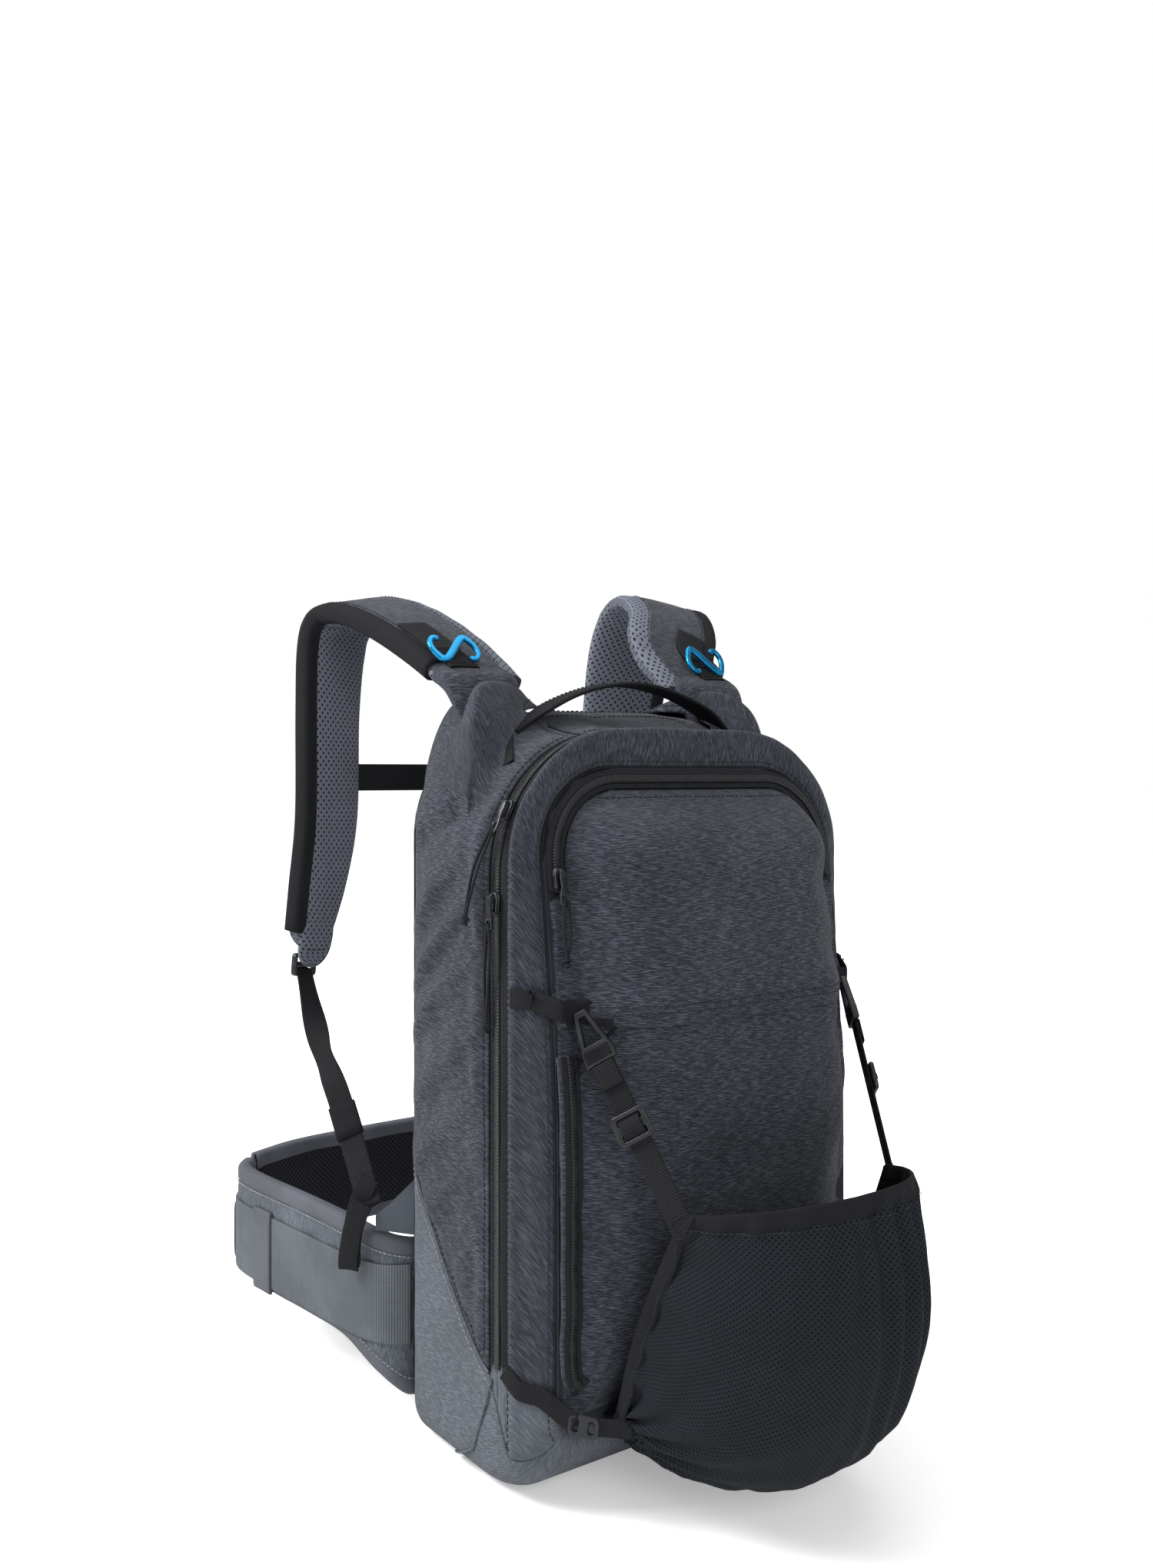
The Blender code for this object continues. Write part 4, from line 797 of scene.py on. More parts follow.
def moulded_plate(name: str, loops: Sequence[Outline], thickness: float, rounding: float,
                  matrix: Matrix) -> bpy.types.Object:
    """Moulded plate with rounded edges from closed outlines, the first solid and the rest holes.

    Args:
        name: piece name.
        loops: outlines across and along the plate.
        thickness: full thickness.
        rounding: radius of the edges.
        matrix: places the plate's own axes in the row frame.

    Returns:
        A mesh object with cloth coordinates from the plate's own axes.
    """
    curve = bpy.data.curves.new(name, "CURVE")
    curve.dimensions = "2D"
    curve.fill_mode = "BOTH"
    curve.extrude = max(thickness / 2.0 - rounding, 0.0)
    curve.bevel_depth = rounding
    curve.bevel_resolution = 2
    curve.offset = -rounding
    for loop in loops:
        ring = curve.splines.new("POLY")
        ring.points.add(len(loop) - 1)
        for point, (across, along) in zip(ring.points, loop):
            point.co = (across, along, 0.0, 1.0)
        ring.use_cyclic_u = True
    source = bpy.data.objects.new(name + "_outline", curve)
    bpy.context.scene.collection.objects.link(source)
    bpy.context.view_layer.update()
    mesh = bpy.data.meshes.new_from_object(source.evaluated_get(bpy.context.evaluated_depsgraph_get()))
    bpy.data.objects.remove(source, do_unlink=True)
    mesh.name = name
    builder = bmesh.new()
    builder.from_mesh(mesh)
    bmesh.ops.remove_doubles(builder, verts=builder.verts, dist=0.00001)
    bmesh.ops.recalc_face_normals(builder, faces=builder.faces)
    layer = builder.loops.layers.uv.new("cloth")
    for face in builder.faces:
        face.smooth = True
        for loop in face.loops:
            loop[layer].uv = (loop.vert.co.x, loop.vert.co.y)
    bmesh.ops.transform(builder, matrix=matrix, verts=builder.verts)
    builder.to_mesh(mesh)
    builder.free()
    mesh.set_sharp_from_angle(angle=math.radians(40.0))
    piece = bpy.data.objects.new(name, mesh)
    bpy.context.scene.collection.objects.link(piece)
    return piece


def rounded_loop(width: float, height: float, radius: float) -> Outline:
    """Rectangle with round corners about the origin."""
    steps = 4
    points = []
    for quarter, (sign_x, sign_y) in enumerate(((1, 1), (-1, 1), (-1, -1), (1, -1))):
        for step in range(steps + 1):
            angle = math.pi / 2.0 * (quarter + step / steps)
            points.append((sign_x * (width / 2.0 - radius) + radius * math.cos(angle),
                           sign_y * (height / 2.0 - radius) + radius * math.sin(angle)))
    return points


def shifted(loop: Outline, across: float, along: float) -> Outline:
    """An outline moved across and along its plane."""
    return [(x + across, y + along) for x, y in loop]


def two_slots(outer: Outline, slot: Outline, across: float, along: float) -> list[Outline]:
    """Outlines of a plate with two slots, one on each side of its middle."""
    return [outer, shifted(slot, across, along), shifted(slot, -across, -along)]


def axes_matrix(origin: Vector, x_axis: Vector, y_axis: Vector) -> Matrix:
    """Matrix with the given axes, squared up, at an origin."""
    first = Vector(x_axis).normalized()
    second = square_to(Vector(y_axis), first)
    rotation = Matrix((first, second, first.cross(second))).transposed()
    return Matrix.Translation(Vector(origin)) @ rotation.to_4x4()


# Finishes


class NodeSheet:
    """Short way to add and join shader nodes in one tree."""

    def __init__(self, tree: bpy.types.NodeTree) -> None:
        """Work on a tree."""
        self.tree = tree

    def add(self, kind: str, **settings: object) -> bpy.types.Node:
        """Add a node and set its properties."""
        node = self.tree.nodes.new(kind)
        for key, value in settings.items():
            setattr(node, key, value)
        return node

    def join(self, source: object, target: bpy.types.NodeSocket) -> None:
        """Link a socket to an input, or write a plain value into it."""
        if isinstance(source, bpy.types.NodeSocket):
            self.tree.links.new(source, target)
        else:
            target.default_value = source

    def math(self, operation: str, first: object, second: object = 0.0) -> bpy.types.NodeSocket:
        """Result of a math node."""
        node = self.add("ShaderNodeMath", operation=operation)
        self.join(first, node.inputs[0])
        self.join(second, node.inputs[1])
        return node.outputs[0]

    def vector(self, operation: str, first: object,
               second: object = (0.0, 0.0, 0.0)) -> bpy.types.NodeSocket:
        """Result of a vector math node."""
        node = self.add("ShaderNodeVectorMath", operation=operation)
        self.join(first, node.inputs[0])
        self.join(second, node.inputs[1])
        return node.outputs["Value" if operation == "LENGTH" else "Vector"]

    def scaled(self, colour: object, gain: object) -> bpy.types.NodeSocket:
        """Colour multiplied by a value."""
        node = self.add("ShaderNodeVectorMath", operation="SCALE")
        self.join(colour, node.inputs[0])
        self.join(gain, node.inputs["Scale"])
        return node.outputs[0]

    def split(self, vector: object) -> bpy.types.NodeOutputs:
        """The X, Y and Z of a vector."""
        node = self.add("ShaderNodeSeparateXYZ")
        self.join(vector, node.inputs[0])
        return node.outputs

    def flat(self, x: object, y: object) -> bpy.types.NodeSocket:
        """Vector of an X and a Y."""
        node = self.add("ShaderNodeCombineXYZ")
        self.join(x, node.inputs[0])
        self.join(y, node.inputs[1])
        return node.outputs[0]

    def noise(self, vector: object, dimensions: str, detail: float,
              roughness: float) -> bpy.types.NodeSocket:
        """Noise from 0 to 1 with cells of one unit."""
        node = self.add("ShaderNodeTexNoise", noise_dimensions=dimensions)
        self.join(vector, node.inputs["Vector"])
        for name, value in (("Scale", 1.0), ("Detail", detail), ("Roughness", roughness)):
            node.inputs[name].default_value = value
        return node.outputs["Fac"]

    def cloth(self) -> bpy.types.NodeSocket:
        """Place on the cloth, in metres across and along it."""
        return self.add("ShaderNodeUVMap", uv_map="cloth").outputs[0]

    def place(self) -> bpy.types.NodeSocket:
        """Place in the object's own space."""
        return self.add("ShaderNodeTexCoord").outputs["Object"]

    def remap(self, value: object, low: float, high: float, to_low: float = 0.0,
              to_high: float = 1.0) -> bpy.types.NodeSocket:
        """Smooth remap of a value."""
        node = self.add("ShaderNodeMapRange", interpolation_type="SMOOTHSTEP")
        self.join(value, node.inputs["Value"])
        ends = {"From Min": low, "From Max": high, "To Min": to_low, "To Max": to_high}
        for name, number in ends.items():
            self.join(number, node.inputs[name])
        return node.outputs["Result"]

    def blend(self, share: object, first: object, second: object) -> bpy.types.NodeSocket:
        """Mix of two colours."""
        node = self.add("ShaderNodeMix", data_type="RGBA")
        for name, source in (("Factor", share), ("A", first), ("B", second)):
            self.join(source, node.inputs[name])
        return node.outputs["Result"]


def rgba(colour: tuple[float, float, float]) -> tuple[float, float, float, float]:
    """Opaque colour for a socket."""
    return (*colour, 1.0)


class EffectGroups:
    """Node groups that more than one finish uses; each is made once."""

    def __init__(self) -> None:
        """Make every group."""
        self.flecks = self._flecks()
        self.weave = self._weave()
        self.ribs = self._ribs()
        self.holes = self._holes()
        self.wear = self._wear()

    @staticmethod
    def _start(name: str, inputs: Sequence[tuple[str, float]],
               outputs: Sequence[str]) -> tuple[NodeSheet, bpy.types.Node, bpy.types.Node]:
        """New group with a Vector input, float inputs and float outputs."""
        group = bpy.data.node_groups.new(name, "ShaderNodeTree")
        group.interface.new_socket("Vector", in_out="INPUT", socket_type="NodeSocketVector")
        for title, value in inputs:
            socket = group.interface.new_socket(title, in_out="INPUT", socket_type="NodeSocketFloat")
            socket.default_value = value
        for title in outputs:
            group.interface.new_socket(title, in_out="OUTPUT", socket_type="NodeSocketFloat")
        sheet = NodeSheet(group)
        return sheet, sheet.add("NodeGroupInput"), sheet.add("NodeGroupOutput")

    def _flecks(self) -> bpy.types.NodeTree:
        """Heather yarn: light flecks that run along the weft, and the fibre height."""
        sheet, start, end = self._start("heather_flecks", (("Length", 0.008), ("Width", 0.0011)),
                                        ("Flecks", "Fibre"))
        scale = sheet.flat(sheet.math("DIVIDE", 1.0, start.outputs["Length"]),
                           sheet.math("DIVIDE", 1.0, start.outputs["Width"]))
        parts = sheet.split(sheet.vector("MULTIPLY", start.outputs["Vector"], scale))
        stagger = sheet.math("MULTIPLY", parts[1], 0.618)
        yarns = sheet.flat(sheet.math("ADD", parts[0], stagger), parts[1])
        coarse = sheet.noise(yarns, "2D", 1.5, 0.5)
        fine = sheet.noise(sheet.vector("MULTIPLY", yarns, (2.3, 1.7, 1.0)), "2D", 1.0, 0.5)
        bright = sheet.remap(coarse, 0.52, 0.68)
        speck = sheet.remap(fine, 0.54, 0.74, 0.0, 0.75)
        sheet.join(sheet.math("MAXIMUM", bright, speck), end.inputs["Flecks"])
        sheet.join(sheet.math("ADD", coarse, fine), end.inputs["Fibre"])
        return sheet.tree

    def _weave(self) -> bpy.types.NodeTree:
        """Plain weave: height of crossing threads."""
        sheet, start, end = self._start("plain_weave", (("Pitch", 0.0012),), ("Height",))
        turns = sheet.math("DIVIDE", 2.0 * math.pi, start.outputs["Pitch"])
        across, along, _out = sheet.split(start.outputs["Vector"])
        warp = sheet.math("SINE", sheet.math("MULTIPLY", across, turns))
        weft = sheet.math("SINE", sheet.math("MULTIPLY", along, turns))
        sheet.join(sheet.math("MULTIPLY", warp, weft), end.inputs["Height"])
        return sheet.tree

    def _ribs(self) -> bpy.types.NodeTree:
        """Cross ribs of webbing, and its fine lengthwise threads."""
        sheet, start, end = self._start("cross_ribs", (("Pitch", 0.0016),), ("Height", "Thread"))
        across, along, _out = sheet.split(start.outputs["Vector"])
        turns = sheet.math("DIVIDE", math.pi, start.outputs["Pitch"])
        rib = sheet.math("ABSOLUTE", sheet.math("SINE", sheet.math("MULTIPLY", along, turns)))
        thread = sheet.math("ABSOLUTE", sheet.math("SINE", sheet.math("MULTIPLY", across, turns)))
        sheet.join(sheet.math("ADD", rib, sheet.math("MULTIPLY", thread, 0.35)), end.inputs["Height"])
        sheet.join(thread, end.inputs["Thread"])
        return sheet.tree

    def _holes(self) -> bpy.types.NodeTree:
        """Staggered punched holes: 1 in a hole, 0 on the cloth."""
        sheet, start, end = self._start("punched_holes", (("Pitch", 0.0078), ("Radius", 0.0010)), ("Mask",))
        cells = sheet.vector("DIVIDE", start.outputs["Vector"], start.outputs["Pitch"])
        nearest = None
        for shift in (0.0, 0.5):
            moved = sheet.vector("ADD", cells, (shift, shift, 0.0))
            part = sheet.vector("FRACTION", moved)
            flat = sheet.vector("MULTIPLY", sheet.vector("SUBTRACT", part, (0.5, 0.5, 0.0)),
                                (1.0, 1.0, 0.0))
            distance = sheet.vector("LENGTH", flat)
            nearest = distance if nearest is None else sheet.math("MINIMUM", nearest, distance)
        reach = sheet.math("DIVIDE", start.outputs["Radius"], start.outputs["Pitch"])
        edge = sheet.math("DIVIDE", nearest, reach)
        sheet.join(sheet.remap(edge, 0.75, 1.15, 1.0, 0.0), end.inputs["Mask"])
        return sheet.tree

    def _wear(self) -> bpy.types.NodeTree:
        """Slow uneven tone: dust, rubbing and dye differences."""
        sheet, start, end = self._start("uneven_tone", (("Size", 0.06),), ("Tone",))
        scaled = sheet.vector("DIVIDE", start.outputs["Vector"], start.outputs["Size"])
        cloud = sheet.noise(scaled, "3D", 4.0, 0.6)
        sheet.join(sheet.remap(cloud, 0.3, 0.7), end.inputs["Tone"])
        return sheet.tree


@dataclass(frozen=True)
class Finish:
    """A surface finish: its name, colour and shine."""

    name: str
    colour: tuple[float, float, float]
    roughness: float
    slot: str

    def start(self) -> tuple[NodeSheet, bpy.types.Node, bpy.types.Material]:
        """New material with its principled shader."""
        material = bpy.data.materials.new(self.name)
        material.use_nodes = True
        sheet = NodeSheet(material.node_tree)
        shader = material.node_tree.nodes["Principled BSDF"]
        shader.inputs["Roughness"].default_value = self.roughness
        return sheet, shader, material

    @staticmethod
    def effect(sheet: NodeSheet, group: bpy.types.NodeTree, vector: object,
               **values: float) -> bpy.types.Node:
        """Add one of the effect groups."""
        node = sheet.add("ShaderNodeGroup", node_tree=group)
        sheet.join(vector, node.inputs["Vector"])
        for name, value in values.items():
            sheet.join(value, node.inputs[name])
        return node

    @staticmethod
    def bump(sheet: NodeSheet, shader: bpy.types.Node, height: object, distance: float,
             strength: float) -> None:
        """Fine relief on the shader's normal."""
        node = sheet.add("ShaderNodeBump")
        node.inputs["Strength"].default_value = strength
        node.inputs["Distance"].default_value = distance
        sheet.join(height, node.inputs["Height"])
        sheet.join(node.outputs["Normal"], shader.inputs["Normal"])

    def tone(self, sheet: NodeSheet, shader: bpy.types.Node, groups: EffectGroups, colour: object,
             amount: float) -> None:
        """Colour of the shader, with slow uneven tone over it."""
        wear = self.effect(sheet, groups.wear, sheet.place())
        gain = sheet.remap(wear.outputs["Tone"], 0.0, 1.0, 1.0 - amount, 1.0 + amount)
        sheet.join(sheet.scaled(colour, gain), shader.inputs["Base Color"])

    def build(self, groups: EffectGroups) -> bpy.types.Material:
        """Make the material.

        Args:
            groups: the shared effect groups.

        Returns:
            A material in this finish.
        """
        raise NotImplementedError


@dataclass(frozen=True)
class HeatherFinish(Finish):
    """Two-tone woven cloth with light flecks along the weft."""

    fleck: tuple[float, float, float] = (0.2, 0.2, 0.2)
    cover: float = 0.6
    length: float = 0.008
    width: float = 0.0011

    def build(self, groups: EffectGroups) -> bpy.types.Material:
        """Make the material; see the base class."""
        sheet, shader, material = self.start()
        cloth = sheet.cloth()
        flecks = self.effect(sheet, groups.flecks, cloth, Length=self.length, Width=self.width)
        share = sheet.math("MULTIPLY", flecks.outputs["Flecks"], self.cover)
        mixed = sheet.blend(share, rgba(self.colour), rgba(self.fleck))
        self.tone(sheet, shader, groups, mixed, 0.10)
        weave = self.effect(sheet, groups.weave, cloth, Pitch=0.0010)
        threads = sheet.math("MULTIPLY", weave.outputs["Height"], 0.15)
        height = sheet.math("ADD", threads, flecks.outputs["Fibre"])
        self.bump(sheet, shader, height, 0.00035, 0.45)
        shader.inputs["Specular IOR Level"].default_value = 0.12
        shader.inputs["Sheen Weight"].default_value = 0.06
        shader.inputs["Sheen Roughness"].default_value = 0.6
        return material


@dataclass(frozen=True)
class RibbedFinish(Finish):
    """Webbing, tape or elastic with cross ribs; its colour is darker in the rib grooves and lighter on the crests, as
    painted shade and painted highlight.
    """

    pitch: float = 0.0016
    depth: float = 0.0004
    # lift: colour gain of the painted highlight on the rib crests, over the plain colour.
    lift: float = 1.5

    def build(self, groups: EffectGroups) -> bpy.types.Material:
        """Make the material; see the base class."""
        sheet, shader, material = self.start()
        cloth = sheet.cloth()
        ribs = self.effect(sheet, groups.ribs, cloth, Pitch=self.pitch)
        # Painted shade and highlight: the colour goes from 0.55 in the rib grooves to lift on the rib crests, by the
        # rib height.
        gain = sheet.remap(ribs.outputs["Height"], 0.0, 1.2, 0.55, self.lift)
        self.tone(sheet, shader, groups, sheet.scaled(self.colour, gain), 0.12)
        self.bump(sheet, shader, ribs.outputs["Height"], self.depth, 0.6)
        shader.inputs["Specular IOR Level"].default_value = 0.14
        return material


@dataclass(frozen=True)
class PerforatedFinish(Finish):
    """Foam or mesh cloth with punched holes; the holes are painted dark as painted shade, and the weave is painted
    lighter on its crests and darker in its hollows as painted highlight and shade.
    """

    # Colour of the painted shade that fills the holes.
    hole: tuple[float, float, float] = (0.01, 0.01, 0.012)
    pitch: float = 0.0078
    radius: float = 0.0010
    depth: float = 0.0012

    def build(self, groups: EffectGroups) -> bpy.types.Material:
        """Make the material; see the base class."""
        sheet, shader, material = self.start()
        cloth = sheet.cloth()
        holes = self.effect(sheet, groups.holes, cloth, Pitch=self.pitch, Radius=self.radius)
        weave = self.effect(sheet, groups.weave, cloth, Pitch=0.0009)
        # Painted shade and highlight: the colour is scaled from 0.88 in the weave's hollows to 1.12 on its crests.
        weave_shade = sheet.remap(weave.outputs["Height"], -1.0, 1.0, 0.88, 1.12)
        # Painted shade: the holes are filled with the dark hole colour instead of being cut through.
        coloured = sheet.blend(holes.outputs["Mask"], sheet.scaled(self.colour, weave_shade), rgba(self.hole))
        self.tone(sheet, shader, groups, coloured, 0.08)
        threads = sheet.math("MULTIPLY", weave.outputs["Height"], 0.06)
        height = sheet.math("SUBTRACT", threads, holes.outputs["Mask"])
        self.bump(sheet, shader, height, self.depth, 0.7)
        shader.inputs["Specular IOR Level"].default_value = 0.12
        return material


@dataclass(frozen=True)
class MouldedFinish(Finish):
    """Moulded plastic or plated metal with a fine grain and rubbed patches."""

    metallic: float = 0.0
    grain: float = 0.0015

    def build(self, groups: EffectGroups) -> bpy.types.Material:
        """Make the material; see the base class."""
        sheet, shader, material = self.start()
        place = sheet.place()
        grain = self.effect(sheet, groups.wear, place, Size=self.grain)
        rubbed = self.effect(sheet, groups.wear, place, Size=0.012)
        gain = sheet.remap(rubbed.outputs["Tone"], 0.0, 1.0, 0.85, 1.2)
        sheet.join(sheet.scaled(self.colour, gain), shader.inputs["Base Color"])
        shine = sheet.remap(rubbed.outputs["Tone"], 0.0, 1.0, self.roughness - 0.08, self.roughness + 0.1)
        sheet.join(shine, shader.inputs["Roughness"])
        shader.inputs["Metallic"].default_value = self.metallic
        shader.inputs["Specular IOR Level"].default_value = 0.28
        self.bump(sheet, shader, grain.outputs["Tone"], 0.00012, 0.35)
        return material


CHARCOAL = HeatherFinish("charcoal_heather", (0.0125, 0.0145, 0.0200), 0.92, "charcoal_cloth",
                         fleck=(0.128, 0.141, 0.176), cover=0.58, length=0.0068, width=0.00042)
GREY = HeatherFinish("grey_heather", (0.054, 0.062, 0.075), 0.92, "grey_cloth",
                     fleck=(0.225, 0.248, 0.282), cover=0.48, length=0.0068, width=0.00042)
# The hole colours of FOAM, NET and SPACER are painted shade inside the punched holes.
FOAM = PerforatedFinish("perforated_foam", (0.128, 0.139, 0.170), 0.90, "foam_mesh",
                        hole=(0.008, 0.009, 0.012), pitch=0.0062, radius=0.0010)
# lift in the ribbed finishes below sets the painted highlight on their rib crests.
BINDING = RibbedFinish("edge_binding", (0.0065, 0.0068, 0.0082), 0.85, "black_webbing", pitch=0.0010,
                       depth=0.0002)
WEBBING = RibbedFinish("black_webbing", (0.0078, 0.0080, 0.0095), 0.80, "black_webbing", pitch=0.0017,
                       depth=0.0005)
TAPE = RibbedFinish("zip_tape", (0.0120, 0.0130, 0.0155), 0.88, "zip_tape", pitch=0.0009, depth=0.00015,
                    lift=1.3)
ELASTIC = RibbedFinish("ribbed_elastic", (0.074, 0.083, 0.092), 0.78, "belt_elastic", pitch=0.0019,
                       depth=0.0006)
STRETCH = RibbedFinish("stretch_binding", (0.086, 0.091, 0.106), 0.72, "grey_cloth", pitch=0.0008,
                       depth=0.0001, lift=1.1)
NET = PerforatedFinish("carrier_mesh", (0.0100, 0.0126, 0.0170), 0.72, "net_mesh",
                       hole=(0.0010, 0.0013, 0.0018), pitch=0.0038, radius=0.00075, depth=0.0005)
SPACER = PerforatedFinish("spacer_mesh", (0.022, 0.023, 0.028), 0.85, "grey_cloth",
                          hole=(0.004, 0.004, 0.005), pitch=0.0044, radius=0.0011, depth=0.0010)
PLASTIC = MouldedFinish("moulded_plastic", (0.0135, 0.0142, 0.0165), 0.40, "plastic")
ALLOY = MouldedFinish("blue_alloy", (0.012, 0.215, 0.440), 0.32, "blue_alloy", metallic=0.85)
GUNMETAL = MouldedFinish("plated_metal", (0.050, 0.052, 0.058), 0.28, "gunmetal", metallic=0.9)
ZIP_TEETH = MouldedFinish("zip_teeth", (0.0110, 0.0115, 0.0135), 0.45, "zip_tape")
THREAD = MouldedFinish("sewing_thread", (0.018, 0.019, 0.023), 0.80, "charcoal_cloth")
PALE_THREAD = MouldedFinish("pale_thread", (0.21, 0.22, 0.24), 0.80, "grey_cloth")
CORD = RibbedFinish("braided_cord", (0.0100, 0.0105, 0.0130), 0.70, "cord", pitch=0.0011, depth=0.0004)
PROTECTOR = MouldedFinish("protector_foam", (0.030, 0.030, 0.034), 0.85, "protector_foam")
FINISHES: tuple[Finish, ...] = (
    CHARCOAL, GREY, FOAM, BINDING, WEBBING, TAPE, ELASTIC, STRETCH, NET, SPACER, PLASTIC, ALLOY, GUNMETAL,
    ZIP_TEETH, THREAD, PALE_THREAD, CORD, PROTECTOR)


class Wardrobe:
    """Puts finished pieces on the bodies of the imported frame."""

    def __init__(self, frame: dict) -> None:
        """Make the materials for a loaded frame."""
        self.frame = frame
        groups = EffectGroups()
        self.materials = {finish.name: finish.build(groups) for finish in FINISHES}

    def paint(self, piece: bpy.types.Object, *finishes: Finish) -> bpy.types.Object:
        """Give a piece its materials, in slot order."""
        numbers = [polygon.material_index for polygon in piece.data.polygons]
        piece.data.materials.clear()
        for finish in finishes:
            piece.data.materials.append(self.materials[finish.name])
        for polygon, number in zip(piece.data.polygons, numbers):
            polygon.material_index = number
        return piece

    def wear(self, piece: bpy.types.Object, body: str, *finishes: Finish,
             stands_for: Sequence[str] = ()) -> bpy.types.Object:
        """Paint a piece, let it ride on a body and stand for CAD nodes.

        Args:
            piece: object in the row frame.
            body: body of the frame that carries it.
            finishes: one finish per material slot.
            stands_for: CAD nodes that it replaces.

        Returns:
            The same piece.
        """
        self.paint(piece, *finishes)
        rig.ride(piece, body)
        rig.slot(piece, finishes[0].slot)
        if stands_for:
            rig.replaces(piece, *stands_for)
        return piece

    def sew(self, name: str, seam: Seam, body: str, finish: Finish = THREAD,
            stitch: Stitch = PLAIN_STITCH) -> None:
        """Put a row of stitches along a seam, on a body."""
        self.wear(stitches(name, seam, stitch), body, finish)

    def keep(self, node: str, finish: Finish) -> None:
        """Show a CAD node as it is, in a finish."""
        self.paint(self.frame["nodes"][node], finish)


# Cloth sheets


class Sheet:
    """A cloth grid that can be read again by its own u and v after it has settled."""

    def __init__(self, name: str, surface: Surface, columns: int, rows: int, inside: Vector,
                 relief: Relief | None = None, turned: bool = False) -> None:
        """Lay the cloth; the arguments are those of grid_piece."""
        self.columns = columns
        self.rows = rows
        self.piece = grid_piece(name, surface, columns, rows, inside, relief, turned)

    def at(self, u: float, v: float) -> Vector:
        """Point of the cloth."""
        across = min(max(u, 0.0), 1.0) * self.columns
        along = min(max(v, 0.0), 1.0) * self.rows
        column = min(int(across), self.columns - 1)
        row = min(int(along), self.rows - 1)
        verts = self.piece.data.vertices
        corner = row * (self.columns + 1) + column
        above = corner + self.columns + 1
        low = verts[corner].co.lerp(verts[corner + 1].co, across - column)
        high = verts[above].co.lerp(verts[above + 1].co, across - column)
        return low.lerp(high, along - row)

    def normal(self, u: float, v: float) -> Vector:
        """Outward normal of the cloth."""
        across = min(max(u, 0.0), 1.0) * self.columns
        along = min(max(v, 0.0), 1.0) * self.rows
        column = min(int(across + 0.5), self.columns)
        row = min(int(along + 0.5), self.rows)
        return self.piece.data.vertices[row * (self.columns + 1) + column].normal.copy()

    def seam(self, start: tuple[float, float], end: tuple[float, float], count: int = 160,
             proud: float = 0.0) -> list[tuple[Vector, Vector]]:
        """Points and normals along a straight line in u and v."""
        line = []
        for index in range(count + 1):
            u = mix(start[0], end[0], index / count)
            v = mix(start[1], end[1], index / count)
            normal = self.normal(u, v)
            line.append((self.at(u, v) + normal * proud, normal))
        return line

    def settle(self, pressure: float, slack: float, cap: float, border: int = 2) -> None:
        """Let the cloth buckle and puff inside its sewn border.

        Args:
            pressure: push of the filling from inside.
            slack: how much bigger the cloth is cut than its place.
            cap: furthest that a point may move, in metres.
            border: rings of vertices held by the seams.
        """
        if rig.quick():
            return
        piece = self.piece
        held = piece.vertex_groups.new(name="sewn")
        for row in range(self.rows + 1):
            for column in range(self.columns + 1):
                edge = min(row, self.rows - row, column, self.columns - column)
                if edge < border:
                    held.add([row * (self.columns + 1) + column], 1.0, "REPLACE")
        before = [vertex.co.copy() for vertex in piece.data.vertices]
        cloth = piece.modifiers.new("cloth", "CLOTH")
        settings = cloth.settings
        settings.quality = 4
        settings.mass = 0.2
        settings.tension_stiffness = 12.0
        settings.compression_stiffness = 8.0
        settings.shear_stiffness = 4.0
        settings.bending_stiffness = 0.25
        settings.air_damping = 2.0
        settings.vertex_group_mass = "sewn"
        settings.shrink_min = -slack
        settings.shrink_max = -slack
        settings.use_pressure = True
        settings.uniform_pressure_force = pressure
        settings.effector_weights.gravity = 0.0
        cloth.collision_settings.use_collision = False
        last_frame = 20
        cloth.point_cache.frame_start = 1
        cloth.point_cache.frame_end = last_frame
        scene = bpy.context.scene
        for frame in range(1, last_frame + 1):
            scene.frame_set(frame)
        evaluated = piece.evaluated_get(bpy.context.evaluated_depsgraph_get())
        moved = [vertex.co.copy() for vertex in evaluated.data.vertices]
        piece.modifiers.remove(cloth)
        piece.vertex_groups.clear()
        scene.frame_set(1)
        steps = self._smoothed([new - old for old, new in zip(before, moved)], 4)
        for vertex, old, step in zip(piece.data.vertices, before, steps):
            length = step.length
            vertex.co = old + step * (cap * math.tanh(length / cap) / length) if length > 1e-9 else old
        piece.data.update()

    def _smoothed(self, steps: Sequence[Vector], passes: int) -> list[Vector]:
        """Vectors of the grid averaged over their neighbours, its border held."""
        cells = numpy.array([step[:] for step in steps]).reshape(self.rows + 1, self.columns + 1, 3)
        for _turn in range(passes):
            around = cells[:-2, 1:-1] + cells[2:, 1:-1] + cells[1:-1, :-2] + cells[1:-1, 2:]
            cells[1:-1, 1:-1] = 0.5 * cells[1:-1, 1:-1] + 0.125 * around
        return [Vector(cell) for cell in cells.reshape(-1, 3)]

    def soften(self, passes: int, share: Callable[[Vector], float]) -> None:
        """Round the cloth off where a share between 0 and 1 says so."""
        before = [vertex.co.copy() for vertex in self.piece.data.vertices]
        for vertex, old, new in zip(self.piece.data.vertices, before, self._smoothed(before, passes)):
            vertex.co = old.lerp(new, share(old))
        self.piece.data.update()

    def lay(self, weft: Callable[[Vector], tuple[float, float]]) -> None:
        """Lay the weave by a map of the points instead of by the grid."""
        data = self.piece.data
        for loop in data.loops:
            data.uv_layers.active.data[loop.index].uv = weft(data.vertices[loop.vertex_index].co)

    def thicken(self, thickness: float) -> bpy.types.Object:
        """Give the cloth its thickness towards the inside."""
        solid = self.piece.modifiers.new("thickness", "SOLIDIFY")
        solid.thickness = thickness
        solid.offset = -1.0
        return self.piece


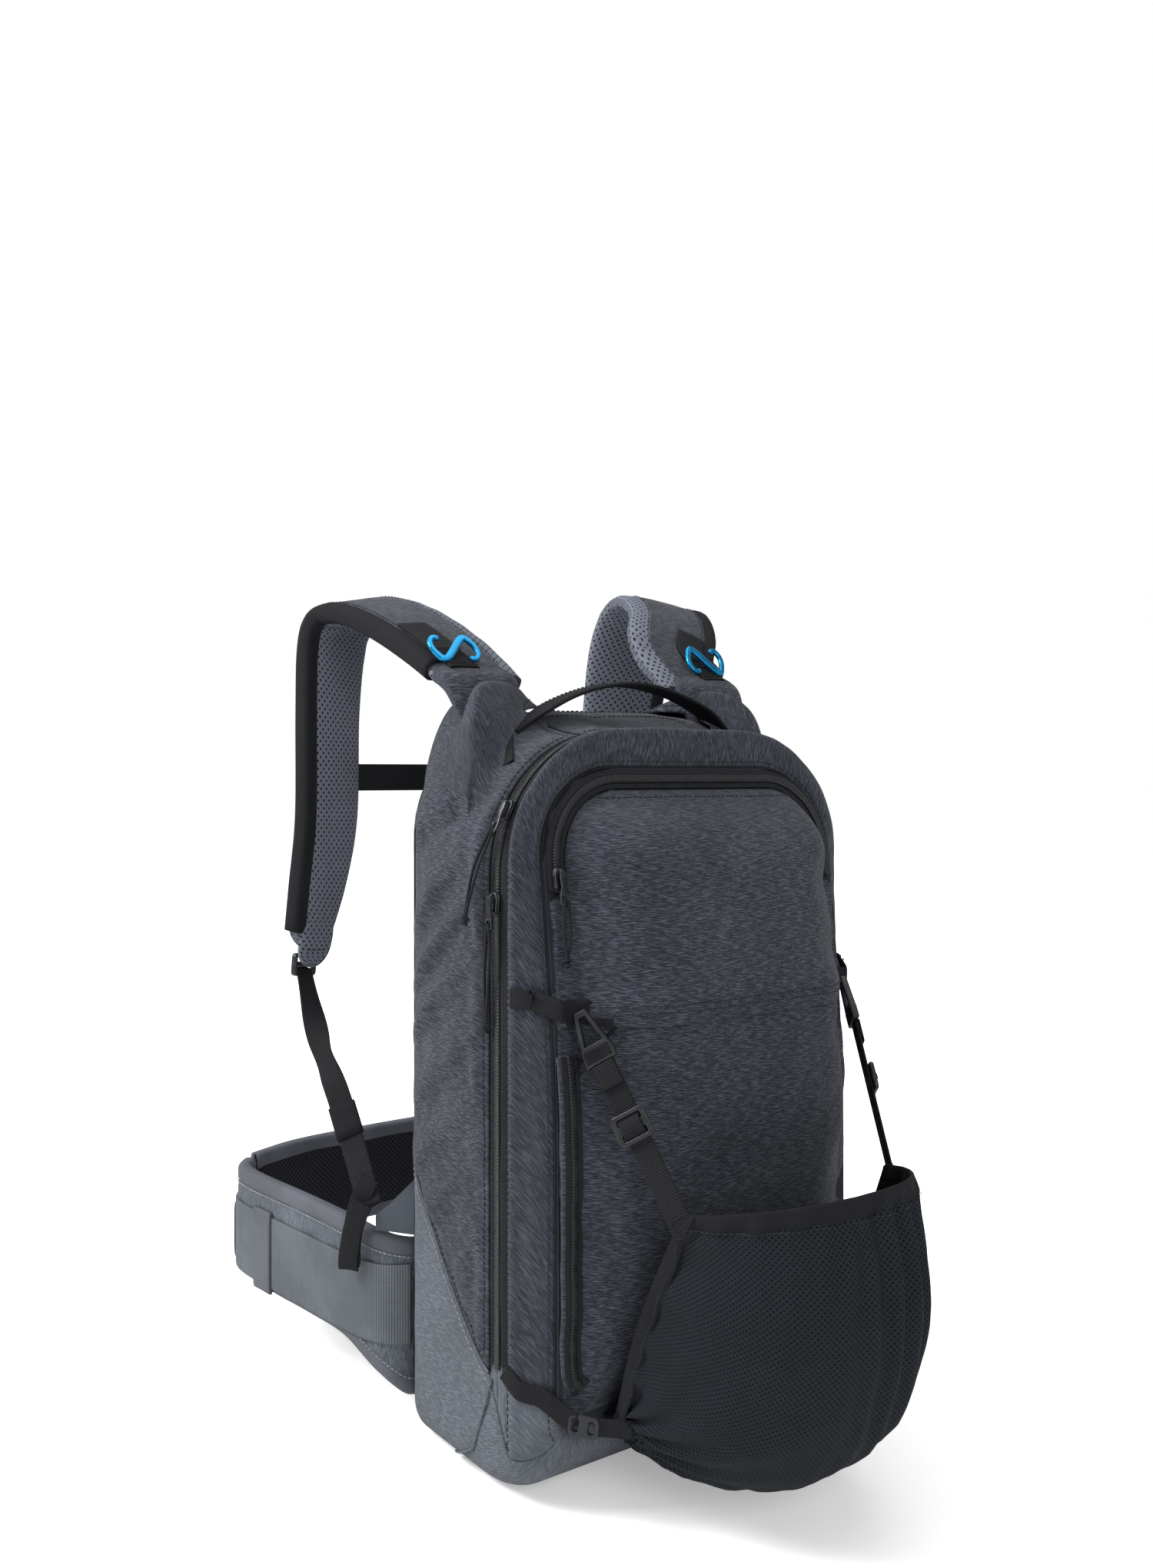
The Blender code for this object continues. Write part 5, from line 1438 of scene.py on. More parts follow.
def stitches(name: str, seam: Seam, stitch: Stitch) -> bpy.types.Object:
    """Row of thread stitches along a seam of points and normals.

    Args:
        name: piece name.
        seam: points on the cloth and the cloth's normals there.
        stitch: size of the stitches.

    Returns:
        One mesh that holds the whole row.
    """
    points = [point for point, _normal in seam]
    nearest = 0

    def outward(point: Vector) -> Vector:
        """Normal at the next nearest point of the seam."""
        nonlocal nearest
        while (nearest < len(points) - 1
               and (points[nearest + 1] - point).length < (points[nearest] - point).length):
            nearest += 1
        return seam[nearest][1]

    return stitch_row(name, even_steps(points, stitch.pitch), outward, stitch)


def smooth_noise_relief(amount: float, scale: tuple[float, float, float], seed: float,
                        edge: float = 0.06) -> Relief:
    """Soft folds that fade out at the edges of a sheet."""

    def relief(u: float, v: float, point: Vector) -> float:
        """Height of the folds."""
        inner = ease(min(u, 1.0 - u) / edge) * ease(min(v, 1.0 - v) / edge)
        broad = wander(point, scale, seed)
        fine = wander(point, (scale[0] * 2.7, scale[1] * 2.7, scale[2] * 2.7), seed + 4.1)
        return amount * inner * (broad + 0.4 * fine)

    return relief


def welt(wardrobe: Wardrobe, name: str, body: str, points: Sequence[Vector], radius: float = 0.0008,
         finish: Finish = BINDING) -> None:
    """Rolled seam between two panels."""
    wardrobe.wear(round_tube(name, points, radius, sides=6), body, finish)


def crease(distance: float, width: float) -> float:
    """Profile of a fold: steep on one side and soft on the other."""
    return math.exp(-((distance / (width if distance < 0.0 else 2.2 * width)) ** 2))


# The pack body


@dataclass
class BodyPanels:
    """Base, sides with their shoulder lifts, and top, sewn edge to edge."""

    wardrobe: Wardrobe
    cloth: float = 0.0016
    back_end: float = 0.0802
    axis_y: float = 0.045
    axis_z: float = 0.523
    strap_half: float = 0.007
    seat_gap: float = 0.0008
    climb: float = 0.70
    lift_start: float = 0.004
    lift_end: float = 0.0795
    lift_outer: float = 0.372
    lift_root: float = 0.398
    lift_inner: float = 0.442
    lift_run: float = 0.036
    joint: float = 0.0006
    drags: tuple[tuple[float, float, float, float, float], ...] = (
        (0.306, 0.006, 0.0056, -0.215, 0.050), (0.276, 0.005, 0.0064, -0.200, 0.050),
        (0.249, 0.006, 0.0056, -0.165, 0.055), (0.214, 0.007, 0.0048, -0.150, 0.055),
        (0.180, 0.006, 0.0042, -0.110, 0.050), (0.150, 0.007, 0.0036, -0.080, 0.045))

    def seam_share(self, depth: float) -> float:
        """Share of the seam between a side and the top."""
        return max(FORM.top_seam_share, self.lift_edge(depth) + 0.001)

    def lift_edge(self, depth: float) -> float:
        """Share of the shoulder lift's inner edge at a depth."""
        return mix(self.lift_root, self.lift_inner, ease((depth - self.lift_start) / self.lift_run))

    def lift_height(self, depth: float) -> float:
        """Height of the shoulder's crest at a depth."""
        seat = self.strap_half + self.seat_gap
        lip = self.axis_y - seat - 0.0006
        if depth <= lip:
            return self.axis_z + self.strap_half * 0.6 - self.climb * (lip - depth)
        if depth <= self.axis_y:
            return self.axis_z - math.sqrt(max(seat**2 - (self.axis_y - depth) ** 2, 0.0))
        behind = (depth - self.axis_y) / (FORM.back_y - self.axis_y)
        return self.axis_z - seat - mix(0.0, 0.010, behind)

    def side_point(self, u: float, v: float) -> Vector:
        """Left side from the base seam up, over the corner and up the shoulder lift."""
        depth = mix(FORM.tape_back + 0.0012, self.back_end, v)
        share = mix(FORM.base_seam(depth) + self.joint, self.seam_share(depth) - self.joint, u)
        point = FORM.rim(depth, share)
        if depth < self.lift_start or share < self.lift_outer:
            return point
        across = min((share - self.lift_outer) / (self.lift_edge(depth) - self.lift_outer), 1.0)
        flank = ease(across / 0.55) * ease((1.0 - across) / 0.12)
        fade = ease((self.lift_end - depth) / 0.012)
        rise = max(self.lift_height(depth) - point.z - 0.003, 0.0) * flank
        return point + Vector((0.0, 0.0, (0.0044 * ease(across / 0.4) + rise) * fade))

    def build(self) -> None:
        """Make and dress the panels."""
        self._base()
        for side in Side:
            self._side(side)
        self._top()

    def _base(self) -> None:
        """Grey base with the seams round it."""

        def base(u: float, v: float) -> Vector:
            """Base from the left seam to the right one."""
            depth = mix(FORM.face_y, self.back_end, v)
            edge = FORM.base_seam(depth) - self.joint
            return FORM.rim(depth, mix(-edge, edge, u))

        def relief(u: float, v: float, point: Vector) -> float:
            """Slack of the base where it leaves the floor."""
            inner = ease(min(u, 1.0 - u) / 0.05) * ease(min(v, 1.0 - v) / 0.1)
            flat = ease((point.z - 0.004) / 0.05)
            return 0.0022 * inner * flat * wander(point, (16.0, 26.0, 30.0), 3.0)

        sheet = Sheet("base_cloth", base, 150, 44, PACK_MIDDLE, relief, turned=True)
        columns = (("left", 0.007), ("right", 0.993))
        lines = {word: sheet.seam((u, 0.30), (u, 0.99), 120, PROUD) for word, u in columns}
        self.wardrobe.wear(sheet.thicken(self.cloth), "pack", GREY, stands_for=["base_panel"])
        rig.padded(sheet.piece)
        for word, line in lines.items():
            self.wardrobe.sew(f"base_stitches_{word}", line, "pack", PALE_THREAD)
        for side in Side:
            depths = spread(FORM.tape_back - 0.004, 0.026, 40)
            shares = spread(FORM.base_seam(FORM.tape_back) - 0.002, FORM.bottom_share + 0.03, 40)
            corner = [side.place(FORM.rim(depth, share, -0.0008)) for depth, share in zip(depths, shares)]
            welt(self.wardrobe, f"base_front_seam_{side.word}", "pack", corner, 0.0009, GREY)
            edge = [side.place(FORM.rim(depth, FORM.base_seam(depth), -0.0004))
                    for depth in spread(FORM.tape_back, self.back_end, 60)]
            welt(self.wardrobe, f"base_side_seam_{side.word}", "pack", edge, 0.0008, GREY)
            top = [side.place(FORM.rim(depth, self.seam_share(depth), 0.0002))
                   for depth in spread(FORM.tape_back + 0.001, self.back_end, 50)]
            welt(self.wardrobe, f"top_side_seam_{side.word}", "pack", top, 0.0007)

    def _side(self, side: Side) -> None:
        """One side with its folds and the lift under the shoulder strap."""

        def surface(u: float, v: float) -> Vector:
            """This side's own panel."""
            return side.place(self.side_point(u, v))

        def relief(u: float, v: float, point: Vector) -> float:
            """Folds, drag lines, the dart and the roll along the zip."""
            inner = ease(min(u / 0.05, (1.0 - u) / 0.03)) * ease(v / 0.10) * ease((1.0 - v) / 0.26)
            slack = 0.004 * wander(point, (8.0, 14.0, 10.0), 3.0)
            dart = crease(point.z - 0.428 + 0.45 * (point.y - 0.02) + slack, 0.005)
            dart *= ease((point.y + 0.02) / 0.04) * ease((0.078 - point.y) / 0.01)
            seat = 1.0 - 0.75 * ease((point.z - 0.475) / 0.02)
            folds = wander(point, (10.0, 30.0, 13.0), 7.0 + side.value)
            folds += 0.5 * wander(point, (10.0, 60.0, 30.0), 2.0)
            slant = 0.66 * point.y + 0.75 * point.z + 2.0 * slack
            along = 0.75 * point.y - 0.66 * point.z
            drag = sum(size * crease(slant - place, width) * math.exp(-((along - middle) / reach) ** 2)
                       for place, width, size, middle, reach in self.drags)
            roll = 0.0030 * math.exp(-((v - 0.085) / 0.055) ** 2)
            roll *= ease(v / 0.05) * ease(min(u, 1.0 - u) / 0.02)
            belly = 0.0016 * math.sin(math.pi * v)
            return inner * seat * (0.0022 * folds - 0.0060 * dart + drag + belly) + roll

        sheet = Sheet(f"side_cloth_{side.word}", surface, 150, 54, PACK_MIDDLE, relief, turned=True)
        sheet.lay(lambda point: (point.y, point.z - abs(point.x)))
        sheet.soften(45, lambda point: ease((point.z - 0.425) / 0.03))
        sheet.settle(1.5, 0.015, 0.004)
        lines = {"base": sheet.seam((0.012, 0.03), (0.012, 0.97), 120, PROUD),
                 "top": sheet.seam((0.985, 0.03), (0.985, 0.97), 120, PROUD),
                 "tape": sheet.seam((0.02, 0.035), (0.98, 0.035), 260, PROUD)}
        self.wardrobe.wear(sheet.thicken(self.cloth), "pack", CHARCOAL,
                           stands_for=[f"side_panel_{side.word}", f"yoke_{side.word}"])
        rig.padded(sheet.piece)
        for word, line in lines.items():
            self.wardrobe.sew(f"side_stitches_{word}_{side.word}", line, "pack")

    def _top(self) -> None:
        """Top panel between the sides."""

        def surface(u: float, v: float) -> Vector:
            """Top from one side seam to the other."""
            depth = mix(FORM.tape_back + 0.0012, self.back_end, v)
            edge = self.seam_share(depth) + self.joint
            return FORM.arch(depth, mix(edge, 1.0 - edge, u))

        folds = smooth_noise_relief(0.0016, (22.0, 22.0, 10.0), 5.0)
        sheet = Sheet("top_cloth", surface, 56, 40, PACK_MIDDLE, folds)
        sheet.settle(1.0, 0.012, 0.0018)
        rows = (("tape", 0.02, 0.04), ("patch", 0.06, 0.42), ("back", 0.06, 0.60))
        lines = {word: sheet.seam((u, v), (1.0 - u, v), 90, PROUD) for word, u, v in rows}
        self.wardrobe.wear(sheet.thicken(self.cloth), "pack", CHARCOAL, stands_for=["top_panel"])
        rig.padded(sheet.piece)
        for word, line in lines.items():
            self.wardrobe.sew(f"top_stitches_{word}", line, "pack")


@dataclass
class MainZip:
    """The zip that opens the whole front: two tapes and their chain."""

    wardrobe: Wardrobe
    cloth: float = 0.0012
    foot: float = 0.083
    tuck: float = 0.005
    pitch: float = 0.0021

    def line_point(self, share: float, depth: float, inset: float = 0.0) -> Vector:
        """Point of the zip's path at a share of its length."""
        start = FORM.base_seam(depth) + 0.0008
        return FORM.arch(depth, mix(start, 1.0 - start, share), inset)

    def outward(self, point: Vector) -> Vector:
        """Normal of the tape, from the corner centres of the outline."""
        half, _bottom, top, _low, high = FORM.outline(FORM.zip_y)
        if point.z > top - high:
            inner = min(max(point.x, -half + high), half - high)
            return Vector((point.x - inner, 0.0, point.z - top + high)).normalized()
        return Vector((math.copysign(1.0, point.x), 0.0, 0.0))

    def build(self) -> None:
        """Make and dress the tapes and the chain."""
        for word, near, edge, body in (("body", FORM.zip_y + 0.0002, FORM.tape_back, "pack"),
                                       ("lid", FORM.zip_y - 0.0002, FORM.tape_front, "lid")):
            way = math.copysign(1.0, edge - near)
            far = edge + way * self.tuck

            def surface(u: float, v: float) -> Vector:
                """Tape from the chain to its tucked edge."""
                depth = mix(near, far, v)
                return self.line_point(u, depth, 0.0018 * ease((way * (depth - edge) + 0.002) / 0.003))

            tape = Sheet(f"zip_cloth_{word}", surface, 200, 9, PACK_MIDDLE,
                         lambda u, v, point: 0.0006 * wander(point, (30.0, 10.0, 30.0), 1.0))
            row = 0.62 * (edge - near) / (far - near)
            line = [place for place in tape.seam((0.004, row), (0.996, row), 400, 0.0001)
                    if place[0].z > self.foot]
            for face in tape.piece.data.polygons:
                face.material_index = 1 if face.center.z < self.foot else 0
            self.wardrobe.wear(tape.thicken(self.cloth), body, TAPE, GREY,
                               stands_for=[f"main_zip_tape_{word}"])
            self.wardrobe.sew(f"zip_stitches_{word}", line, body, stitch=ZIP_STITCH)
        path = [self.line_point(share, FORM.zip_y) for share in spread(0.0, 1.0, 400)]
        path = [point for point in path if point.z > self.foot]
        for word, side, offset, body in (("body", 1.0, 0.0, "pack"),
                                         ("lid", -1.0, self.pitch / 2.0, "lid")):
            chain = zip_chain(f"zip_chain_{word}", path, self.outward, side, self.pitch, offset)
            self.wardrobe.wear(chain, body, ZIP_TEETH)


# The lid


@dataclass
class FrontLid:
    """Front that swings open: gusset, two pockets, pocket zip and tool pocket zip."""

    wardrobe: Wardrobe
    cloth: float = 0.0014
    tool_x: float = -0.1185
    tool_low: float = 0.082
    tool_high: float = 0.285
    grey_low: float = 0.069
    grey_rise: float = 0.48
    turn_back: float = 0.0056
    pitch: float = 0.0019

    @staticmethod
    def across(u: float) -> float:
        """Spread of the columns over the face, closer at the edges."""
        return math.sin(math.pi * (u - 0.5))

    def tuck(self, u: float) -> float:
        """How far the cloth's side edges turn back to the gusset seam."""
        return -self.turn_back * (1.0 - ease((1.0 - abs(self.across(u))) / 0.016))

    def pocket_point(self, u: float, v: float) -> Vector:
        """Upper pocket, from its hem up to the zip."""
        top = FORM.face_top - FORM.pocket_tape - 0.0004
        z = mix(FORM.pocket_hem - 0.012, top, v)
        border = mix(0.0012, FORM.pocket_tape, ease((z - FORM.pocket_zip_end + 0.006) / 0.006))
        lap = 0.0026 * (1.0 - ease((z - FORM.pocket_hem) / 0.02))
        edge = self.tuck(u) * ease((FORM.pocket_zip_end - z) / 0.006)
        return FORM.face_point(self.across(u) * FORM.face_half(z, border), z, lap + edge)

    def lower_point(self, u: float, v: float) -> Vector:
        """Lower pocket, from the base to under the upper pocket's hem."""
        z = mix(FORM.face_bottom + 0.006, FORM.pocket_hem - 0.002, v)
        low = -self.turn_back * (1.0 - ease((z - FORM.face_bottom - 0.006) / 0.007))
        return FORM.face_point(self.across(u) * FORM.face_half(z, 0.0008), z, min(self.tuck(u), low))

    def on_lower(self, x: float, z: float, proud: float) -> Vector:
        """Place on the settled lower pocket, by its X and height on the face."""
        low = FORM.face_bottom + 0.006
        v = (z - low) / (FORM.pocket_hem - 0.002 - low)
        reach = min(max(x / FORM.face_half(z, 0.0008), -1.0), 1.0)
        u = 0.5 + math.asin(reach) / math.pi
        return self.lower.at(u, v) + self.lower.normal(u, v) * proud

    def build(self) -> None:
        """Make and dress the lid's cloth."""
        self._gusset()
        self._pockets()
        self._pocket_zip()
        self._tool_zip()
        self.wardrobe.keep("front_panel", CHARCOAL)

    def _gusset(self) -> None:
        """Gusset between the zip and the front, grey at its foot."""

        def surface(u: float, v: float) -> Vector:
            """Gusset from the face to the zip tape."""
            depth = mix(FORM.face_y, FORM.tape_front - 0.0010, v)
            start = FORM.base_seam(depth) + 0.001
            return FORM.arch(depth, mix(start, 1.0 - start, u))

        ripple = smooth_noise_relief(0.0016, (24.0, 18.0, 24.0), 9.0, 0.2)

        def relief(u: float, v: float, point: Vector) -> float:
            """Ripples, and a roll beside the zip."""
            ends = ease(min(u, 1.0 - u) / 0.01)
            roll = math.exp(-((v - 0.80) / 0.16) ** 2) * ease((1.0 - v) / 0.12)
            return ripple(u, v, point) + 0.0026 * ends * roll

        sheet = Sheet("gusset_cloth", surface, 260, 18, PACK_MIDDLE, relief, turned=True)
        rows = (("front", 0.10), ("rear", 0.92))
        lines = {word: sheet.seam((0.004, v), (0.996, v), 420, PROUD) for word, v in rows}
        for polygon in sheet.piece.data.polygons:
            place = polygon.center
            grey_top = self.grey_low + self.grey_rise * (place.y - FORM.face_y)
            polygon.material_index = 1 if place.z < grey_top else 0
        self.wardrobe.wear(sheet.thicken(self.cloth), "lid", CHARCOAL, GREY, stands_for=["lid_gusset"])
        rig.padded(sheet.piece)
        for word, line in lines.items():
            self.wardrobe.sew(f"gusset_stitches_{word}", line, "lid")
        start = FORM.base_seam(FORM.face_y) + 0.004
        ahead = Vector((0.0, -0.0010, 0.0))
        edge = [FORM.arch(FORM.face_y, share, 0.0002) + ahead for share in spread(start, 1.0 - start, 300)]
        welt(self.wardrobe, "gusset_front_seam", "lid", edge, 0.0014)

    def _pockets(self) -> None:
        """The two stuffed pockets of the front."""

        def upper_relief(u: float, v: float, point: Vector) -> float:
            """Folds across the upper pocket."""
            inner = ease(min(u, 1.0 - u) / 0.12) * ease(min(v / 0.08, (1.0 - v) / 0.15))
            folds = wander(point, (9.0, 5.0, 26.0), 11.0) + 0.5 * wander(point, (26.0, 5.0, 34.0), 6.0)
            return 0.0030 * inner * folds

        def lower_relief(u: float, v: float, point: Vector) -> float:
            """Slanting folds of the lower pocket."""
            inner = ease(min(u, 1.0 - u) / 0.10) * ease(min(v, 1.0 - v) / 0.08)
            slant = Vector((point.x + 0.35 * point.z, point.y, point.z - 0.5 * point.x))
            folds = wander(slant, (11.0, 5.0, 20.0), 14.0) + 0.4 * wander(slant, (34.0, 5.0, 40.0), 3.0)
            return 0.0035 * inner * folds

        upper = Sheet("pocket_cloth", self.pocket_point, 90, 44, PACK_MIDDLE, upper_relief)
        upper.settle(2.5, 0.02, 0.005)
        lower = Sheet("lower_cloth", self.lower_point, 90, 80, PACK_MIDDLE, lower_relief)
        lower.settle(2.0, 0.02, 0.005)
        self.lower = lower
        rows = (("hem", 0.01, 0.055), ("hem_two", 0.01, 0.085), ("rim", 0.03, 0.965))
        lines = {word: upper.seam((u, v), (1.0 - u, v), 200, PROUD) for word, u, v in rows}
        for sheet, node in ((upper, "front_pocket"), (lower, "lower_pocket")):
            self.wardrobe.wear(sheet.thicken(self.cloth), "lid", CHARCOAL, stands_for=[node])
            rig.padded(sheet.piece)
        for word, line in lines.items():
            self.wardrobe.sew(f"pocket_stitches_{word}", line, "lid")

    def _chain(self, word: str, path: Sequence[Vector]) -> None:
        """Both rows of a small zip on the front."""
        for row, side, offset in (("inner", 1.0, 0.0), ("outer", -1.0, self.pitch / 2.0)):
            chain = zip_chain(f"{word}_chain_{row}", path, self.outward, side, self.pitch, offset)
            self.wardrobe.wear(chain, "lid", ZIP_TEETH)

    @staticmethod
    def outward(point: Vector) -> Vector:
        """Normal of the front at a point."""
        return FORM.face_normal(point.x, point.z)

    def _pocket_zip(self) -> None:
        """Zip that runs over the upper pocket."""
        start = FORM.side_share(FORM.face_y, FORM.pocket_zip_end)

        def surface(u: float, v: float) -> Vector:
            """Tape from the gusset seam to the pocket."""
            inset = mix(0.0008, FORM.pocket_tape - 0.0004, v)
            point = FORM.arch(FORM.face_y, mix(start, 1.0 - start, u), inset)
            return FORM.face_point(point.x, point.z, -self.turn_back * (1.0 - ease(v / 0.16)))

        tape = Sheet("pocket_zip_cloth", surface, 150, 12, PACK_MIDDLE)
        path = [point for point, _normal in tape.seam((0.0, 0.5), (1.0, 0.5), 300, 0.0001)]
        outer = tape.seam((0.005, 0.12), (0.995, 0.12), 300, PROUD)
        self.wardrobe.wear(tape.thicken(0.0012), "lid", TAPE, stands_for=["pocket_zip_tape"])
        self.wardrobe.sew("pocket_zip_stitches", outer, "lid", stitch=ZIP_STITCH)
        self._chain("pocket", path)

    def _tool_zip(self) -> None:
        """Short upright zip of the tool pocket, with a flap above it."""

        def line(points: Sequence[tuple[float, float]], proud: float) -> list[Vector]:
            """Smooth line on the settled cloth through places across and up the face."""
            return [self.on_lower(x, z, proud) for x, z in spline(points, 60)]

        turn = self.tool_low + 0.012
        path = line(((self.tool_x, self.tool_high), (self.tool_x + 0.0015, mix(turn, self.tool_high, 0.66)),
                     (self.tool_x + 0.0015, mix(turn, self.tool_high, 0.33)), (self.tool_x + 0.002, turn),
                     (self.tool_x + 0.008, self.tool_low)), 0.0016)
        frames = path_frames(path, lambda _index, point: self.outward(point))
        tape = webbing("tool_zip_cloth", frames, 0.0125, 0.0020)
        self.wardrobe.wear(tape, "lid", TAPE)
        slope = line(((-0.1240, 0.258), (-0.1150, 0.276), (-0.0960, 0.304)), 0.0012)
        welt(self.wardrobe, "tool_flap_edge", "lid", slope, 0.0013)
        rows = (("tool_flap_stitches", 0.0015, -0.0040), ("tool_flap_stitches_two", 0.0030, -0.0075))
        for word, across, up in rows:
            seam = [(self.on_lower(point.x + across, point.z + up, 0.0003), self.outward(point))
                    for point in slope]
            self.wardrobe.sew(word, seam, "lid")
        pipe = [point + Vector((-0.0066, 0.0014, 0.0)) for point in path]
        welt(self.wardrobe, "tool_zip_piping", "lid", pipe, 0.0018, CHARCOAL)
        raised = [point + self.outward(point) * 0.0006 for point in path]
        self._chain("tool", raised)


# The carrier net and its straps


def edge_band(name: str, seam: Seam, inward: Sequence[Vector], width: float,
              thickness: float, overhang: float = 0.0012) -> bpy.types.Object:
    """Folded binding over a cloth edge.

    Args:
        name: piece name.
        seam: points and normals along the edge.
        inward: direction from the edge into the cloth at each station.
        width: visible width on each face.
        thickness: full thickness over the cloth.
        overhang: how far it stands out beyond the edge.

    Returns:
        The band.
    """
    frames: list[Frame] = []
    for (point, normal), way in zip(seam, inward):
        way = square_to(way, normal)
        frames.append((point + way * (width / 2.0 - overhang), way, normal))
    shape = rounded_section(width, thickness, 14, 3.0)
    return sweep(name, frames, lambda _share: shape)


@dataclass
class CarrierNet:
    """Net pouch that is hooked to the front, with its bound edges."""

    wardrobe: Wardrobe
    half_width: float = 0.087
    shift: float = -0.0045
    depth: float = 0.148
    height: float = 0.160
    hem_y: float = -0.0818
    binding: float = 0.012
    band_thick: float = 0.0034
    inside: tuple[float, float, float] = (0.0, -0.14, 0.16)

    def __post_init__(self) -> None:
        """Work out the net's line down its middle and down its edges."""
        self.steps = 24
        self.middle = self._profile(((0.0, 0.019), (0.222, -0.160), (0.549, -0.185), (0.850, 0.0150),
                                     (0.987, 0.3625), (1.0, 0.694), (0.941, 1.0)))
        self.edge = self._profile(((0.0, 0.019), (0.105, 0.050), (0.170, 0.150), (0.235, 0.319),
                                   (0.327, 0.5375), (0.425, 0.7375), (0.516, 0.925)))

    def _profile(self, shares: Sequence[tuple[float, float]]) -> list[Vector]:
        """Depth and height along one line of the net, hem to rim."""
        return spline([(self.hem_y - self.depth * away, FORM.face_bottom + self.height * up)
                       for away, up in shares], self.steps)

    def surface(self, u: float, v: float) -> Vector:
        """Net: u crosses from left to right, v climbs from the hem to the rim."""
        place = min(int(v * self.steps), self.steps - 1)
        share = v * self.steps - place
        mid = self.middle[place].lerp(self.middle[place + 1], share)
        side = self.edge[place].lerp(self.edge[place + 1], share)
        across = 2.0 * u - 1.0
        reach = (1.0 - abs(across) ** 2.4) ** 0.62
        bow = 1.0 + 0.08 * math.sin(math.pi * v)
        return Vector((across * self.half_width * bow + self.shift, mix(side[0], mid[0], reach),
                       mix(side[1], mid[1], reach)))

    def build(self) -> None:
        """Make and dress the net and its binding."""

        def stretched(u: float, v: float) -> Vector:
            """Net with its columns closer at the edges."""
            closer = 0.5 - 0.5 * math.cos(math.pi * mix(0.02, 0.98, u))
            return self.surface(closer if 0.0 < u < 1.0 else u, v)

        def relief(u: float, v: float, point: Vector) -> float:
            """Gathers at the edges, rays from the hooks and pleats."""
            rim = math.exp(-(1.0 - v) / 0.10) * ease((1.0 - v) / 0.03)
            hem = math.exp(-v / 0.16) * ease(v / 0.03)
            sides = math.exp(-min(u, 1.0 - u) / 0.06) * ease(min(u, 1.0 - u) / 0.02)
            gathers = math.sin(70.0 * u + 4.0 * wander(point, (14.0, 14.0, 14.0), 1.0))
            tucks = math.sin(52.0 * v + 4.0 * wander(point, (14.0, 14.0, 14.0), 8.0))
            broad = wander(point, (12.0, 12.0, 16.0), 17.0) * ease(min(u, 1.0 - u, v, 1.0 - v) / 0.1)
            rays = 0.0
            for corner in (0.0, 1.0):
                reach = math.hypot(u - corner, v - 0.22)
                turn = math.atan2(v - 0.22, abs(u - corner) + 1e-6)
                rays += math.sin(26.0 * turn + 2.0 * broad) * math.exp(-reach / 0.20) * ease(reach / 0.06)
            middle = math.exp(-((u - 0.62) / 0.16) ** 2) * ease((1.0 - v) / 0.05) * ease((v - 0.35) / 0.4)
            pleats = math.sin(95.0 * u + 3.0 * wander(point, (9.0, 9.0, 9.0), 5.0)) * middle
            held_in = ease(min(u, 1.0 - u) / 0.02) * ease((1.0 - v) / 0.02)
            edges = 0.0020 * gathers * (rim + 1.3 * hem) + 0.0018 * tucks * sides
            return held_in * (edges + 0.0025 * broad + 0.0065 * rays + 0.0042 * pleats)

        sheet = Sheet("net_cloth", stretched, 132, 92, Vector(self.inside), relief)
        sheet.settle(1.5, 0.012, 0.005)
        rim = sheet.seam((0.0, 1.0), (1.0, 1.0), 120)
        columns = ((Side.LEFT, 0.0), (Side.RIGHT, 1.0))
        sides = {side: sheet.seam((u, 0.04), (u, 1.0), 80) for side, u in columns}
        rim_inward = [sheet.at(u, 0.97) - sheet.at(u, 1.0) for u in spread(0.0, 1.0, 120)]
        net = self.wardrobe.wear(sheet.thicken(0.0012), "lid", NET, stands_for=["carrier_net"])
        bands = [edge_band("net_rim_band", rim, rim_inward, self.binding, self.band_thick)]
        for side, line in sides.items():
            u = 0.0 if side is Side.LEFT else 1.0
            step = 0.02 if side is Side.LEFT else -0.02
            ways = [sheet.at(u + step, v) - sheet.at(u, v) for v in spread(0.04, 1.0, 80)]
            bands.append(edge_band(f"net_edge_band_{side.word}", line, ways, self.binding, self.band_thick))
        for band in bands:
            self.wardrobe.wear(band, "lid", BINDING)
        seams = [("rim", sheet.seam((0.01, 0.945), (0.99, 0.945), 160, 0.0019))]
        for side in Side:
            u = 0.022 if side is Side.LEFT else 0.978
            seams.append((side.word, sheet.seam((u, 0.06), (u, 0.98), 110, 0.0019)))
        for word, line in seams:
            self.wardrobe.sew(f"net_stitches_{word}", line, "lid", stitch=NET_STITCH)
        holders = ["lower_hook_left", "lower_hook_right", "upper_strap_left", "upper_strap_right"]
        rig.sheet(net, flat=(0.290, 0.310), held="stretched", rests_on=holders, with_pieces=bands)


